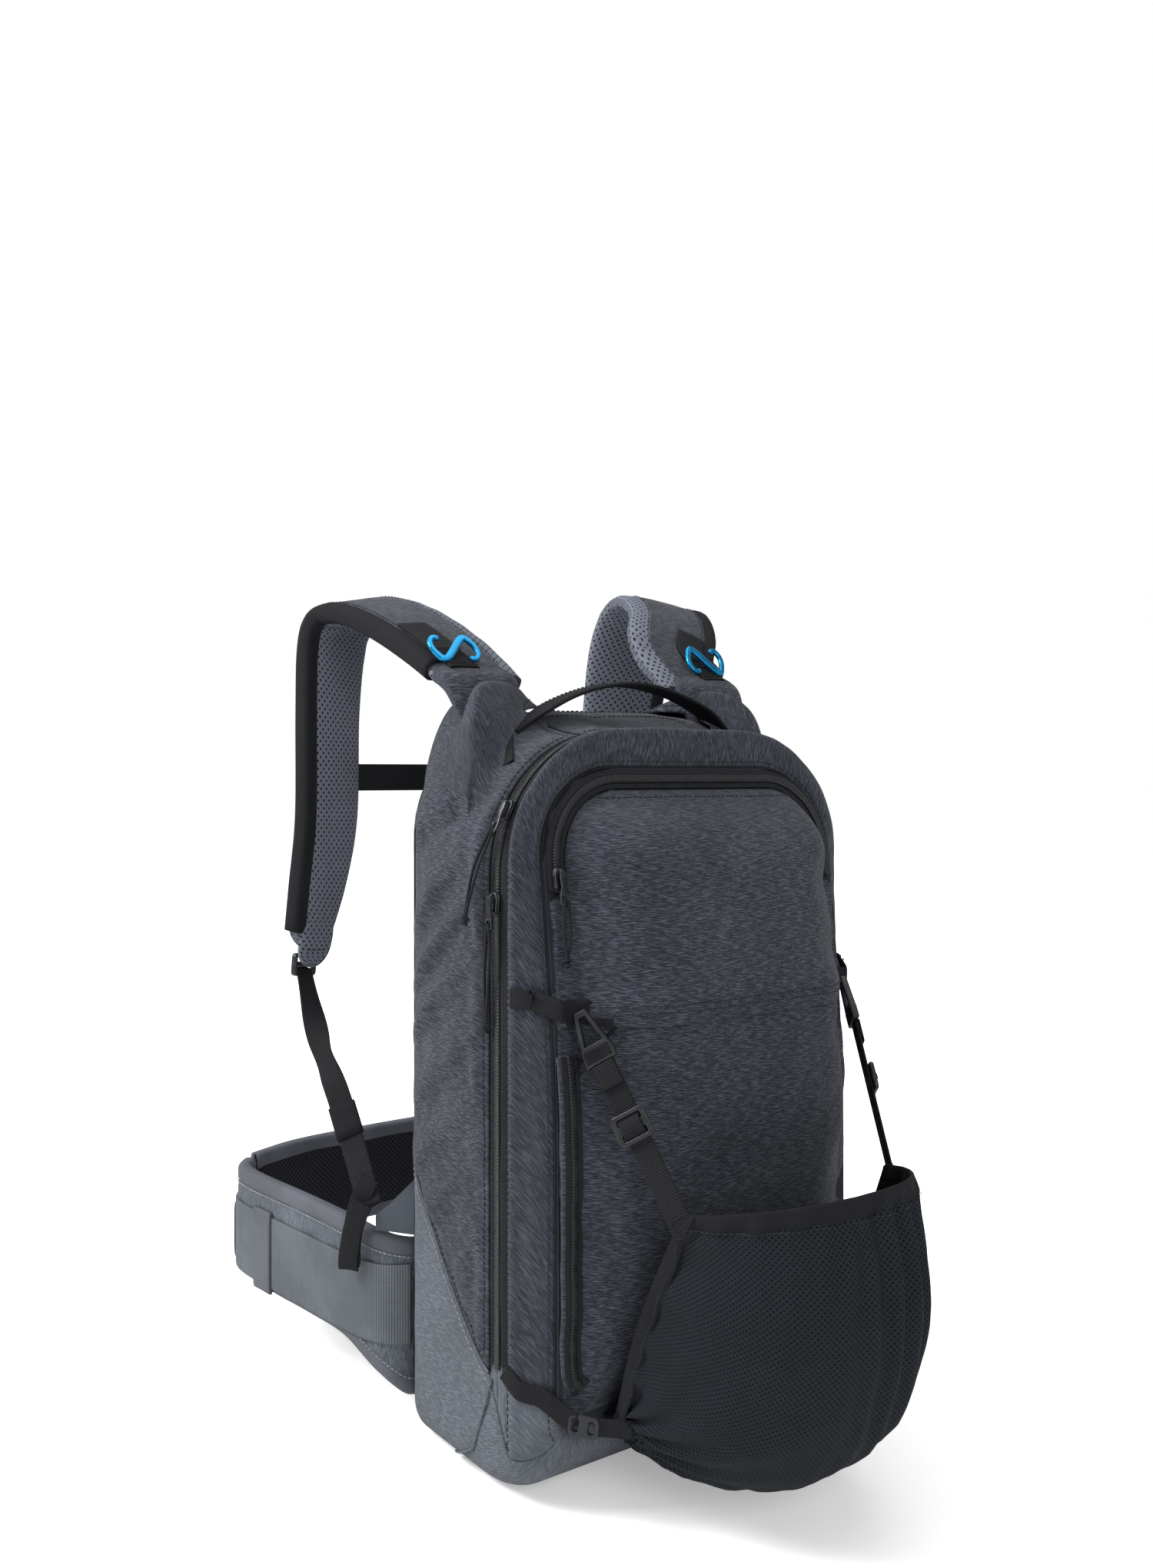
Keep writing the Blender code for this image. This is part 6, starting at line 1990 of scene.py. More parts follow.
@dataclass
class CarrierStraps:
    """Hooked straps that hold the net's upper corners, and the hooks of its lower corners."""

    wardrobe: Wardrobe
    net: CarrierNet
    face_half: float = 0.126
    hook_edge: float = 0.014
    hook_setback: float = 0.0092
    hook_drop: float = 0.003
    hook_width: float = 0.021
    hook_length: float = 0.034
    hook_thick: float = 0.005
    webbing_width: float = 0.015
    webbing_thick: float = 0.0018
    clearance: float = 0.0004

    def hook_loops(self) -> list[Outline]:
        """Outline of a triangular webbing hook, point up, and its two windows."""
        low = -self.hook_length
        half = self.hook_width / 2.0
        bar = 0.004
        outer = [(-0.004, 0.0), (0.004, 0.0), (half, low + 0.006), (half, low), (-half, low),
                 (-half, low + 0.006)]
        window = [(-0.0022, -bar), (0.0022, -bar), (half - bar, low + 0.0125), (-half + bar, low + 0.0125)]
        slot = [(-half + 0.0025, low + 0.0085), (half - 0.0025, low + 0.0085),
                (half - 0.0025, low + 0.0030), (-half + 0.0025, low + 0.0030)]
        return [outer, window, slot]

    def build(self) -> None:
        """Make and dress both sides."""
        for side in Side:
            self._upper(side)
            self._lower(side)

    def _upper(self, side: Side) -> None:
        """Hook, strap and adjuster of one upper corner of the net."""
        sign = float(side.value)
        start = Vector((sign * (self.face_half - self.hook_edge), FORM.face_y - self.hook_setback,
                        FORM.pocket_hem - self.hook_drop))
        corner = self.net.surface(0.0 if side is Side.LEFT else 1.0, 1.0)
        end = corner + Vector((sign * 0.002, -0.001, -0.004))
        along = (end - start).normalized()
        normal = square_to(Vector((sign * 0.80, -0.60, 0.0)), along)
        across = along.cross(normal)
        self._loop(side, sign)
        hook_top = start + normal * (self.webbing_thick + self.hook_thick / 2.0)
        hook = moulded_plate(f"carrier_hook_{side.word}", self.hook_loops(), self.hook_thick, 0.0012,
                             axes_matrix(hook_top, across, -along))
        self.wardrobe.wear(hook, "lid", PLASTIC, stands_for=[f"upper_hook_{side.word}"])
        strap_start = hook_top + along * (self.hook_length + self.clearance)
        strap_end = end + normal * 0.0014
        run = (strap_end - strap_start).normalized()
        flat = square_to(normal, run)
        fold = strap_start - run * 0.006
        points = [fold.lerp(strap_end + run * 0.010, share) for share in spread(0.0, 1.0, 24)]
        strap = webbing(f"carrier_strap_{side.word}", path_frames(points, flat), self.webbing_width,
                        self.webbing_thick)
        self.wardrobe.wear(strap, "lid", WEBBING, stands_for=[f"upper_strap_{side.word}"])
        doubled = [strap_start.lerp(strap_end, share) + flat * 0.0019 for share in spread(0.0, 0.15, 12)]
        tail = webbing(f"carrier_tail_{side.word}", path_frames(doubled, flat), self.webbing_width,
                       self.webbing_thick)
        self.wardrobe.wear(tail, "lid", WEBBING)
        corners = ((-0.005, -0.004), (0.005, -0.004), (0.005, 0.007), (-0.005, 0.007), (-0.005, -0.004))
        box = [strap_end + across * x + run * y + flat * 0.0011 for x, y in corners]
        self.wardrobe.wear(stitch_row(f"carrier_box_{side.word}", box, flat, BOX_STITCH), "lid", THREAD)
        middle = strap_start.lerp(strap_end, 0.40)
        glide = two_slots(rounded_loop(0.0235, 0.0190, 0.003),
                          rounded_loop(0.0165, 0.0040, 0.001), 0.0, 0.0046)
        frame = moulded_plate(f"adjuster_frame_{side.word}", glide, 0.0030, 0.0009,
                              axes_matrix(middle + flat * 0.0022, across, run))
        self.wardrobe.wear(frame, f"adjuster_{side.word}", PLASTIC, stands_for=[f"adjuster_{side.word}"])
        hump = [middle + run * mix(-0.0065, 0.0065, share)
                + flat * (0.0012 + 0.0036 * math.sin(math.pi * share)) for share in spread(0.0, 1.0, 12)]
        over = webbing(f"adjuster_webbing_{side.word}", path_frames(hump, flat),
                       self.webbing_width - 0.0008, 0.0016)
        self.wardrobe.wear(over, f"adjuster_{side.word}", WEBBING)

    def _loop(self, side: Side, sign: float) -> None:
        """Webbing loop sewn on the pocket hem, behind the hook."""

        def surface(u: float, v: float) -> Vector:
            """Loop on the pocket hem."""
            z = FORM.pocket_hem - 0.004 + (v - 0.5) * self.webbing_width
            x = mix(FORM.face_half(z, 0.027), FORM.face_half(z, 0.005), u)
            return FORM.face_point(sign * x, z, 0.0042)

        loop = Sheet(f"hook_loop_cloth_{side.word}", surface, 16, 8, PACK_MIDDLE)
        self.wardrobe.wear(loop.thicken(0.0018), "lid", WEBBING, stands_for=[f"hook_loop_{side.word}"])
        z = FORM.pocket_hem - 0.002
        wrap = [FORM.rim(depth, FORM.side_share(depth, z + 0.006), -0.0032)
                for depth in spread(FORM.tape_front - 0.008, FORM.face_y + 0.006, 10)]
        wrap += [FORM.face_point(-FORM.face_half(z, inset), z, 0.0044)
                 for inset in (0.0, 0.004, 0.010, 0.018)]
        self._flat_strip(f"hook_webbing_{side.word}", side, wrap, self.webbing_width * 0.85)

    def _flat_strip(self, name: str, side: Side, points: Sequence[Vector], width: float) -> None:
        """Webbing sewn round the lid's edge, written for the left side."""
        line = spline(points, 48)
        away = Vector((-1.0, -1.0, 0.0))

        def out(index: int, _point: Vector) -> Vector:
            """Direction away from the lid."""
            ahead = ahead_at(line, index)
            flat = Vector((ahead.y, -ahead.x, 0.0)).normalized()
            return flat if flat.dot(away) > 0.0 else -flat

        frames = side.frames(path_frames(line, out))
        self.wardrobe.wear(webbing(name, frames, width, self.webbing_thick), "lid", WEBBING)

    def _lower(self, side: Side) -> None:
        """Hook and webbing of one lower corner of the net."""
        sign = float(side.value)
        corner = Vector((sign * (self.face_half - 0.0102), FORM.face_y - 0.016, FORM.face_bottom + 0.008))
        loops = two_slots(rounded_loop(0.020, 0.014, 0.004),
                          rounded_loop(0.0035, 0.008, 0.0012), -0.005, 0.0)
        hook = moulded_plate(f"net_hook_{side.word}", loops, 0.004, 0.0012,
                             axes_matrix(corner, (sign * 0.62, 0.78, 0.10), UP))
        self.wardrobe.wear(hook, "lid", PLASTIC, stands_for=[f"lower_hook_{side.word}"])
        to_net = self.net.surface(0.02 if side is Side.LEFT else 0.98, 0.30)
        near = corner + Vector((-sign * 0.004, -0.005, 0.0))
        points = [near.lerp(to_net, share) for share in spread(0.0, 1.0, 10)]
        out = Vector((sign * 0.75, -0.65, 0.0))
        strap = webbing(f"net_webbing_{side.word}", path_frames(points, out), 0.011, 0.0017)
        self.wardrobe.wear(strap, "lid", WEBBING)
        low = [FORM.rim(FORM.tape_front - 0.002, FORM.side_share(FORM.tape_front, 0.086), -0.0030),
               FORM.rim(-0.062, FORM.side_share(-0.062, 0.079), -0.0032),
               FORM.rim(-0.074, FORM.side_share(-0.074, 0.0765), -0.0034),
               Vector((-0.1245, -0.0845, 0.0675)), Vector((-0.1200, -0.0905, 0.0635))]
        self._flat_strip(f"net_anchor_{side.word}", side, low, 0.0125)


# Zip sliders, pulls and cords


@dataclass
class ZipHardware:
    """Sliders, pulls and pull cords of the three zips."""

    wardrobe: Wardrobe
    length: float = 0.013
    height: float = 0.005
    pull_length: float = 0.022
    pull_thick: float = 0.0016
    cord: float = 0.0026
    clearance: float = 0.0004

    def build(self) -> None:
        """Make and dress the hardware of every zip."""
        half, _bottom, top, _low, high = FORM.outline(FORM.zip_y)
        arc = Vector((-half + high, FORM.zip_y, top - high))
        angle = math.radians(26.0)
        out = Vector((-math.cos(angle), 0.0, math.sin(angle)))
        up = Vector((math.sin(angle), 0.0, math.cos(angle)))
        self._set("upper", "main_{}_upper", arc + out * high, out, up,
                  ((0.0, 0.0, 0.0), (-0.0030, 0.004, -0.010), (-0.0065, 0.011, -0.026),
                   (-0.0082, 0.017, -0.044), (-0.0088, 0.022, -0.060)))
        self._set("lower", "main_{}_lower", Vector((-half, FORM.zip_y, top - high - 0.016)),
                  Vector((-1.0, 0.0, 0.0)), UP,
                  ((0.0, 0.0, 0.0), (0.0006, 0.001, -0.014), (0.0014, 0.004, -0.030),
                   (0.0018, 0.006, -0.048), (0.0018, 0.007, -0.066)))
        x = -FORM.face_half(FORM.pocket_zip_end, FORM.pocket_tape / 2.0)
        z = FORM.pocket_zip_end + self.length / 2.0 + 0.0012
        along = (FORM.face_point(x, z + 0.010) - FORM.face_point(x, z)).normalized()
        self._set("pocket", "pocket_{}", FORM.face_point(x, z), Vector((0.0, -along.z, along.y)), along,
                  ((0.0, 0.0, 0.0), (-0.0004, -0.0016, -0.010), (-0.0006, -0.0028, -0.020),
                   (-0.0006, -0.0036, -0.030), (-0.0010, -0.0040, -0.038)))

    def _set(self, word: str, node: str, point: Vector, out: Vector, up: Vector,
             route: Sequence[tuple[float, float, float]]) -> None:
        """One slider with its pull and cord.

        Args:
            word: which zip.
            node: CAD node name with a place for slider, pull or cord.
            point: place on the tape.
            out: direction away from the tape.
            up: direction along the tape.
            route: the cord's line from the pull's end.
        """
        centre = point + out * (self.clearance + self.height / 2.0)
        across = up.cross(out)
        shield = [(-0.0045, 0.0030), (-0.0030, 0.0065), (0.0030, 0.0065), (0.0045, 0.0030),
                  (0.0036, -0.0055), (0.0022, -0.0065), (-0.0022, -0.0065), (-0.0036, -0.0055)]
        for name, lift, thick in (("plate", -0.0014, 0.0018), ("cap", 0.0003, 0.0016)):
            plate = moulded_plate(f"slider_{name}_{word}", [shield], thick, 0.0006,
                                  axes_matrix(centre + out * lift, across, up))
            nodes = [node.format("slider")] if name == "plate" else []
            self.wardrobe.wear(plate, f"slider_{word}", GUNMETAL, stands_for=nodes)
        bridge = [centre + up * (0.0052 * math.cos(turn)) + out * (0.0010 + 0.0021 * math.sin(turn))
                  for turn in spread(0.0, math.pi, 12)]
        arch = round_tube(f"slider_bridge_{word}", bridge, 0.0008)
        self.wardrobe.wear(arch, f"slider_{word}", GUNMETAL)
        lift = self.height / 2.0 + self.clearance + self.pull_thick / 2.0
        hinge = centre + out * lift + up * (self.length * 0.3)
        reach = self.pull_length - self.pull_thick / 2.0
        outer = [(-0.0021, -0.0008), (0.0021, -0.0008), (0.0026, 0.004), (0.0020, 0.009), (0.0034, 0.0135),
                 (0.0034, reach - 0.002), (0.0020, reach), (-0.0020, reach), (-0.0034, reach - 0.002),
                 (-0.0034, 0.0135), (-0.0020, 0.009), (-0.0026, 0.004)]
        eye = shifted(rounded_loop(0.0040, 0.0046, 0.0016), 0.0, reach - 0.0042)
        tab = moulded_plate(f"pull_tab_{word}", [outer, eye], self.pull_thick, 0.0005,
                            axes_matrix(hinge, across, -up))
        self.wardrobe.wear(tab, f"pull_{word}", GUNMETAL, stands_for=[node.format("pull")])
        self._cord(word, hinge - up * (reach - 0.0042), across, out, route, node.format("cord"))

    def _cord(self, word: str, eye: Vector, across: Vector, out: Vector,
              route: Sequence[tuple[float, float, float]], node: str) -> None:
        """Doubled cord through the eye of a pull, with a knot and short tails."""
        line = spline(route, 24)
        strands = []
        for sign in (-1.0, 1.0):
            points = []
            for index, step in enumerate(line):
                share = index / 24.0
                bow = 0.0019 * math.sin(math.pi * min(share * 1.15, 1.0)) + 0.0007
                points.append(eye + step + across * (sign * bow) + out * (0.0012 * (1.0 - share)))
            strands.append(points)
        main = strands[0]
        length = sum((second - first).length for first, second in zip(main, main[1:]))
        first = round_tube(f"pull_cord_{word}", main, self.cord / 2.0 * 0.8, sides=8)
        second = round_tube(f"pull_cord_twin_{word}", strands[1], self.cord / 2.0 * 0.8, sides=8)
        end = (main[-1] + strands[1][-1]) / 2.0
        knot_points = []
        for index in range(36):
            angle = 2.0 * math.pi * index / 36.0
            knot_points.append(end + across * (0.0018 * math.sin(2.0 * angle) + 0.0009 * math.sin(angle))
                               + out * (0.0014 * math.cos(3.0 * angle))
                               + Vector((0.0, 0.0, 0.0022 * math.cos(angle) - 0.001)))
        knot = round_tube(f"pull_knot_{word}", knot_points, self.cord / 2.0 * 0.78, closed=True)
        for piece in (first, second, knot):
            self.wardrobe.wear(piece, f"pull_{word}", CORD, stands_for=[node] if piece is first else [])
        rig.cord(first, exit=main[0], length=length, diameter=self.cord * 0.8, far_end="knot",
                stiffness="limp", lay="hanging", path=main, with_pieces=[second, knot])


# The harness


@dataclass
class Harness:
    """Shoulder straps with their links, ladder locks, lower webbing and chest strap."""

    wardrobe: Wardrobe
    axis_y: float = 0.045
    axis_z: float = 0.523
    thick: float = 0.014
    link_length: float = 0.040
    link_height: float = 0.027
    link_bar: float = 0.0040
    link_thick: float = 0.0032
    link_tilt: float = 0.36
    sternum_z: float = 0.456
    clearance: float = 0.0004
    steps: int = 60

    def __post_init__(self) -> None:
        """Work out the straps' routes and how they turn on the way."""
        left = ((-0.1020, 0.045, 0.0, 0.066), (-0.1030, 0.088, 0.024, 0.070),
                (-0.1070, 0.132, 0.0455, 0.075), (-0.1110, 0.174, 0.0605, 0.077),
                (-0.1155, 0.204, 0.0655, 0.077), (-0.1210, 0.223, 0.058, 0.077),
                (-0.1250, 0.231, 0.033, 0.074), (-0.1280, 0.231, -0.018, 0.068),
                (-0.1290, 0.231, -0.098, 0.066), (-0.1350, 0.235, -0.153, 0.058),
                (-0.1430, 0.240, -0.201, 0.040))
        right = ((-0.0980, 0.045, 0.0, 0.074), (-0.0980, 0.079, 0.030, 0.074),
                 (-0.1240, 0.109, 0.057, 0.075), (-0.1385, 0.136, 0.0735, 0.077),
                 (-0.1460, 0.160, 0.077, 0.077), (-0.1490, 0.182, 0.066, 0.077),
                 (-0.1480, 0.197, 0.037, 0.074), (-0.1430, 0.204, -0.018, 0.068),
                 (-0.1370, 0.208, -0.098, 0.066), (-0.1340, 0.216, -0.153, 0.058),
                 (-0.1340, 0.223, -0.201, 0.040))
        turns = ((1.0, 0.0, 0.0), (1.0, 0.06, 0.10), (1.0, 0.18, 0.16), (1.0, 0.30, 0.20),
                 (1.0, 0.40, 0.20), (1.0, 0.45, 0.12), (1.0, 0.48, 0.0), (1.0, 0.48, 0.0), (1.0, 0.48, 0.0),
                 (1.0, 0.46, 0.0), (1.0, 0.45, 0.0))
        lifted = {Side.LEFT: left, Side.RIGHT: right}
        self.routes = {side: spline([(x, y, z + self.axis_z, w) for x, y, z, w in route], self.steps)
                       for side, route in lifted.items()}
        self.turns = spline(turns, self.steps)

    def section(self, side: Side, share: float) -> tuple[Vector, Vector, Vector, float]:
        """Centre, width direction, outward normal and width of a strap, as if it were the left one."""
        route = self.routes[side]
        place = min(int(share * self.steps), self.steps - 1)
        part = share * self.steps - place
        here = route[place].lerp(route[place + 1], part)
        tangent = (route[place + 1] - route[place]).xyz.normalized()
        way = square_to(self.turns[place].lerp(self.turns[place + 1], part), tangent)
        return here.xyz, way, way.cross(tangent).normalized(), here.w

    def build(self) -> None:
        """Make and dress both straps and what hangs on them."""
        for side in Side:
            self._strap(side)
            self._link(side)
            self._lower(side)
        self._sternum()

    def frames(self, side: Side, shares: Sequence[float], across: Callable[[float, float], float],
               proud: float) -> list[Frame]:
        """Frames on a strap's outer face.

        Args:
            side: which strap.
            shares: places along it.
            across: place across it from its middle, from the share and the half width.
            proud: height above the strap's middle.

        Returns:
            Origin, across and outward direction of each place, on its own side.
        """
        result = []
        for share in shares:
            centre, way, out, width = self.section(side, share)
            result.append((centre + way * across(share, width / 2.0) + out * proud, way, out))
        return side.frames(result)

    def _strap(self, side: Side) -> None:
        """Padded strap with its binding and stitches."""
        count = 96
        sides = 40
        shares = spread(0.0, 1.0, count)
        widths = [self.section(side, share)[3] for share in shares]
        frames = self.frames(side, shares, lambda _share, _half: 0.0, 0.0)

        def shape(share: float) -> Outline:
            """Padded section, thinner at the tip."""
            index = min(int(share * count + 0.5), count)
            tip = ease((1.0 - share) / 0.035) ** 0.5
            points = []
            for x, y in rounded_section(widths[index], self.thick, sides, 3.6):
                side_share = x / (widths[index] / 2.0)
                crown = 1.0 + 0.10 * (1.0 - side_share**2)
                ripple = 0.0007 * math.sin(95.0 * share + 4.0 * side_share) * ease((0.62 - share) / 0.1)
                swell = y * crown + (ripple if y < 0.0 else 0.3 * ripple)
                points.append((x * mix(0.55, 1.0, tip), swell * mix(0.5, 1.0, tip)))
            return points

        def slots(place: int, _share: float) -> int:
            """Foam on the wearer's side and the inner edge."""
            angle = 2.0 * math.pi * (place + 1.0) / sides
            return 1 if math.sin(angle) < 0.04 or math.cos(angle) > 0.40 else 0

        strap = sweep(f"strap_pad_{side.word}", frames, shape, slots)
        self.wardrobe.wear(strap, "harness", CHARCOAL, FOAM, stands_for=[f"shoulder_strap_{side.word}"])
        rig.padded(strap, 0.8)
        inner = shares[4:-3]
        lines = (("edge", lambda _share, half: 0.62 * half), ("bound", lambda _share, half: -0.66 * half))
        for word, across in lines:
            line = self.frames(side, inner, across, self.thick / 2.0 * 1.03)
            seam = [(origin, out) for origin, _way, out in line]
            self.wardrobe.sew(f"strap_stitches_{word}_{side.word}", seam, "harness")
        band_frames = self.frames(side, inner, lambda _share, half: -0.86 * half, 0.0)
        band = sweep(f"strap_binding_{side.word}", band_frames,
                     lambda _share: rounded_section(0.014, self.thick + 0.0016, 20, 3.0))
        self.wardrobe.wear(band, "harness", BINDING)

    def link_outline(self) -> Outline:
        """Double hook: a slanting bar that curls over at both ends."""
        length = self.link_length / 2.0 - self.link_bar / 2.0
        height = self.link_height / 2.0 - self.link_bar / 2.0
        hook = ((0.50, 0.80), (0.78, 0.86), (0.99, 0.34), (0.90, -0.42), (0.52, -0.84))
        half = [(-length * x, height * y, 0.0) for x, y in hook]
        steps = 72
        line = spline(half + [(-x, -y, 0.0) for x, y, _z in reversed(half)], steps)
        rims: tuple[Outline, Outline] = ([], [])
        for index, point in enumerate(line):
            ahead = ahead_at(line, index)
            share = abs(2.0 * index / steps - 1.0)
            waist = mix(1.5, 1.0, ease(share / 0.4)) * mix(0.55, 1.0, ease((1.0 - share) / 0.06))
            wide = self.link_bar / 2.0 * waist
            rims[0].append((point.x - ahead.y * wide, point.y + ahead.x * wide))
            rims[1].append((point.x + ahead.y * wide, point.y - ahead.x * wide))
        return rims[0] + rims[1][::-1]

    def _link(self, side: Side) -> None:
        """Alloy double hook at the root of a strap, and the webbing that holds it."""
        share = 0.052
        outboard = 0.014
        centre, across, normal, _width = self.section(side, share)
        tangent = normal.cross(across)
        lift = self.thick / 2.0 + self.clearance + self.link_thick / 2.0
        foot = centre - across * outboard - tangent * (self.link_height / 2.0 - 0.001)
        hinge = side.place(foot + normal * (lift + 0.0010))
        ring = shifted(self.link_outline(), 0.0, self.link_height / 2.0)
        raised = tangent * math.cos(self.link_tilt) + normal * math.sin(self.link_tilt)
        link = moulded_plate(f"strap_hook_{side.word}", [ring], self.link_thick, 0.0011,
                             axes_matrix(hinge, side.place(across), side.place(raised)))
        self.wardrobe.wear(link, f"link_{side.word}", ALLOY, stands_for=[f"strap_link_{side.word}"])
        upper = self.frames(side, [share + 0.018 + 0.006 * step for step in range(17)],
                            lambda _share, _half: -outboard, self.thick / 2.0 + 0.0020)
        piece = webbing(f"link_strap_{side.word}", upper, 0.024, 0.0024)
        self.wardrobe.wear(piece, "harness", WEBBING, stands_for=[f"link_webbing_{side.word}"])
        ladder = self.frames(side, spread(0.012, 0.070, 56),
                             lambda _share, _half: -outboard, self.thick / 2.0 + 0.0017)
        ribbed = sweep(f"link_ladder_{side.word}", ladder, lambda share: rounded_section(
            0.0235, 0.0026 + 0.0011 * math.sin(2.0 * math.pi * 6.5 * share), 14, 5.0))
        self.wardrobe.wear(ribbed, "harness", WEBBING)
        self._sleeve(side)

    def _sleeve(self, side: Side) -> None:
        """Cloth that carries the yoke on over the root of a strap."""
        count = 40
        centre, _way, out, width = self.section(side, 0.026)
        first = self.section(side, 0.0)[0] + Vector((0.0, -0.0200, -0.0300))
        middle = self.section(side, 0.0)[0] + Vector((0.0, -0.0060, -0.0040))
        route = spline((first, middle, centre), count)
        tilt = spline((Vector((0.0, -0.80, 0.60)), Vector((0.0, -0.72, 0.70)), out), count)
        frames: list[Frame] = []
        for index, point in enumerate(route):
            ahead = ahead_at(route, index)
            outward = square_to(tilt[index], ahead)
            outer = point - Vector((0.004, 0.0, 0.0))
            frames.append((side.place(outer), side.place(outward.cross(ahead)), side.place(outward)))

        def shape(share: float) -> Outline:
            """Section that grows to wrap the strap."""
            wide = mix(width - 0.016, width - 0.0050, ease(share / 0.7))
            thick = mix(0.006, self.thick + 0.0022, ease(share / 0.6))
            return rounded_section(wide, thick, 36, 3.2)

        sleeve = self.wardrobe.paint(sweep(f"strap_sleeve_{side.word}", frames, shape), CHARCOAL)
        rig.slot(sleeve, CHARCOAL.slot)
        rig.blend(sleeve, "pack", "harness", frames[4][0], frames[-8][0])

    def _lower(self, side: Side) -> None:
        """Ladder lock, lower webbing and its anchor at the foot of a strap."""
        centre, across, normal, _width = self.section(side, 1.0)
        tangent = normal.cross(across)
        lock = centre + tangent * (self.thick * 0.4 + self.clearance + 0.009)
        loops = two_slots(rounded_loop(0.026, 0.018, 0.003),
                          rounded_loop(0.020, 0.0035, 0.001), 0.0, 0.0040)
        frame = moulded_plate(f"ladder_frame_{side.word}", loops, 0.005, 0.0012,
                              axes_matrix(side.place(lock), side.place(across), UP))
        self.wardrobe.wear(frame, "harness", PLASTIC, stands_for=[f"ladder_lock_{side.word}"])
        tip: list[Frame] = []
        for share in spread(0.0, 1.0, 24):
            drop = normal * mix(0.0040, 0.0068, 3.0 * share)
            tip.append((centre + tangent * mix(-0.024, 0.0150, share) - drop, across, normal))

        def flap(share: float) -> Outline:
            """Section of the tip, rounded off at its end."""
            round_end = math.sqrt(max(1.0 - ((share - 0.55) / 0.47) ** 2, 0.02)) if share > 0.55 else 1.0
            return rounded_section(0.0385 * round_end, 0.0062 * mix(0.5, 1.0, round_end), 20, 3.0)

        pad = sweep(f"strap_tip_{side.word}", side.frames(tip), flap)
        self.wardrobe.wear(pad, "harness", FOAM)
        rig.padded(pad, 0.8)
        tack = [side.place(centre + tangent * 0.001 + across * reach - normal * 0.0094)
                for reach in spread(-0.012, 0.010, 8)]
        row = stitch_row(f"strap_tip_tack_{side.word}", tack, side.place(-normal), TACK_STITCH)
        self.wardrobe.wear(row, "harness", THREAD)
        start = lock + tangent * 0.0122
        anchor = Vector((-0.1580, 0.1035, 0.1520))
        bend = start.lerp(anchor, 0.5) + Vector((0.0, -0.012, -0.010))
        upper = start.lerp(bend, 0.5) + Vector((0.0, 0.0, -0.004))
        steps = 40
        route = spline((start - tangent * 0.010, upper, bend, anchor), steps)
        frames: list[Frame] = []
        for index, point in enumerate(route):
            ahead = ahead_at(route, index)
            turn = across.lerp(Vector((0.62, -0.70, 0.30)), ease(index / steps)).normalized()
            turn = square_to(turn, ahead)
            turn.rotate(Quaternion(ahead, 1.2 * math.sin(math.pi * ease(index / 31.0)) ** 2))
            frames.append((side.place(point), side.place(turn), side.place(turn.cross(ahead))))
        piece = webbing(f"lower_strap_{side.word}", frames, 0.018, 0.0018)
        ring = webbing(f"strap_ring_{side.word}", frames[27:32], 0.0205, 0.0052)
        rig.replaces(piece, f"lower_webbing_{side.word}")
        for part, finish in ((piece, WEBBING), (ring, BINDING)):
            self.wardrobe.paint(part, finish)
            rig.slot(part, finish.slot)
            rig.blend(part, "harness", "pack", frames[3][0], frames[-3][0])
        self.wardrobe.keep(f"strap_anchor_{side.word}", GREY)
        slack = ((0.001, 0.004, 0.020), (-0.005, 0.009, 0.000), (-0.008, 0.013, -0.022),
                 (-0.0085, 0.0145, -0.040), (-0.0105, 0.0130, -0.0445), (-0.0120, 0.0115, -0.038),
                 (-0.0105, 0.0060, -0.014), (-0.006, 0.001, 0.004))
        points = [anchor + step for step in spline(slack, 48)]
        loop = side.frames(path_frames(points, Vector((-0.78, -0.62, 0.0))))
        sling = webbing(f"anchor_loop_{side.word}", loop, 0.0150, 0.0016)
        self.wardrobe.wear(sling, f"belt_{side.word}", WEBBING)

    def _sternum(self) -> None:
        """Chest strap in two halves, and its buckle."""
        ends = []
        for side in Side:
            centre, across, _normal, width = self.section(side, 0.750)
            edge = centre + across * (width / 2.0 - 0.006)
            edge.z = self.sternum_z
            ends.append(side.place(edge))
        run = (ends[1] - ends[0]).normalized()
        out = UP.cross(run)
        middle = ends[0].lerp(ends[1], 0.5)
        for end, direction, side in ((ends[0], -run, Side.LEFT), (ends[1], run, Side.RIGHT)):
            points = [end.lerp(middle + direction * 0.020, share) for share in spread(0.0, 1.0, 16)]
            piece = webbing(f"chest_strap_{side.word}", path_frames(points, out), 0.022, 0.0018)
            self.wardrobe.paint(piece, WEBBING)
            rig.slot(piece, WEBBING.slot)
            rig.replaces(piece, f"sternum_webbing_{side.word}")
            if side is Side.LEFT:
                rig.blend(piece, "sternum", "sternum_tongue", points[2], points[-2])
            else:
                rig.ride(piece, "sternum")
        for node in ("sternum_buckle_female", "sternum_buckle_male"):
            self.wardrobe.keep(node, PLASTIC)


# The hip belt


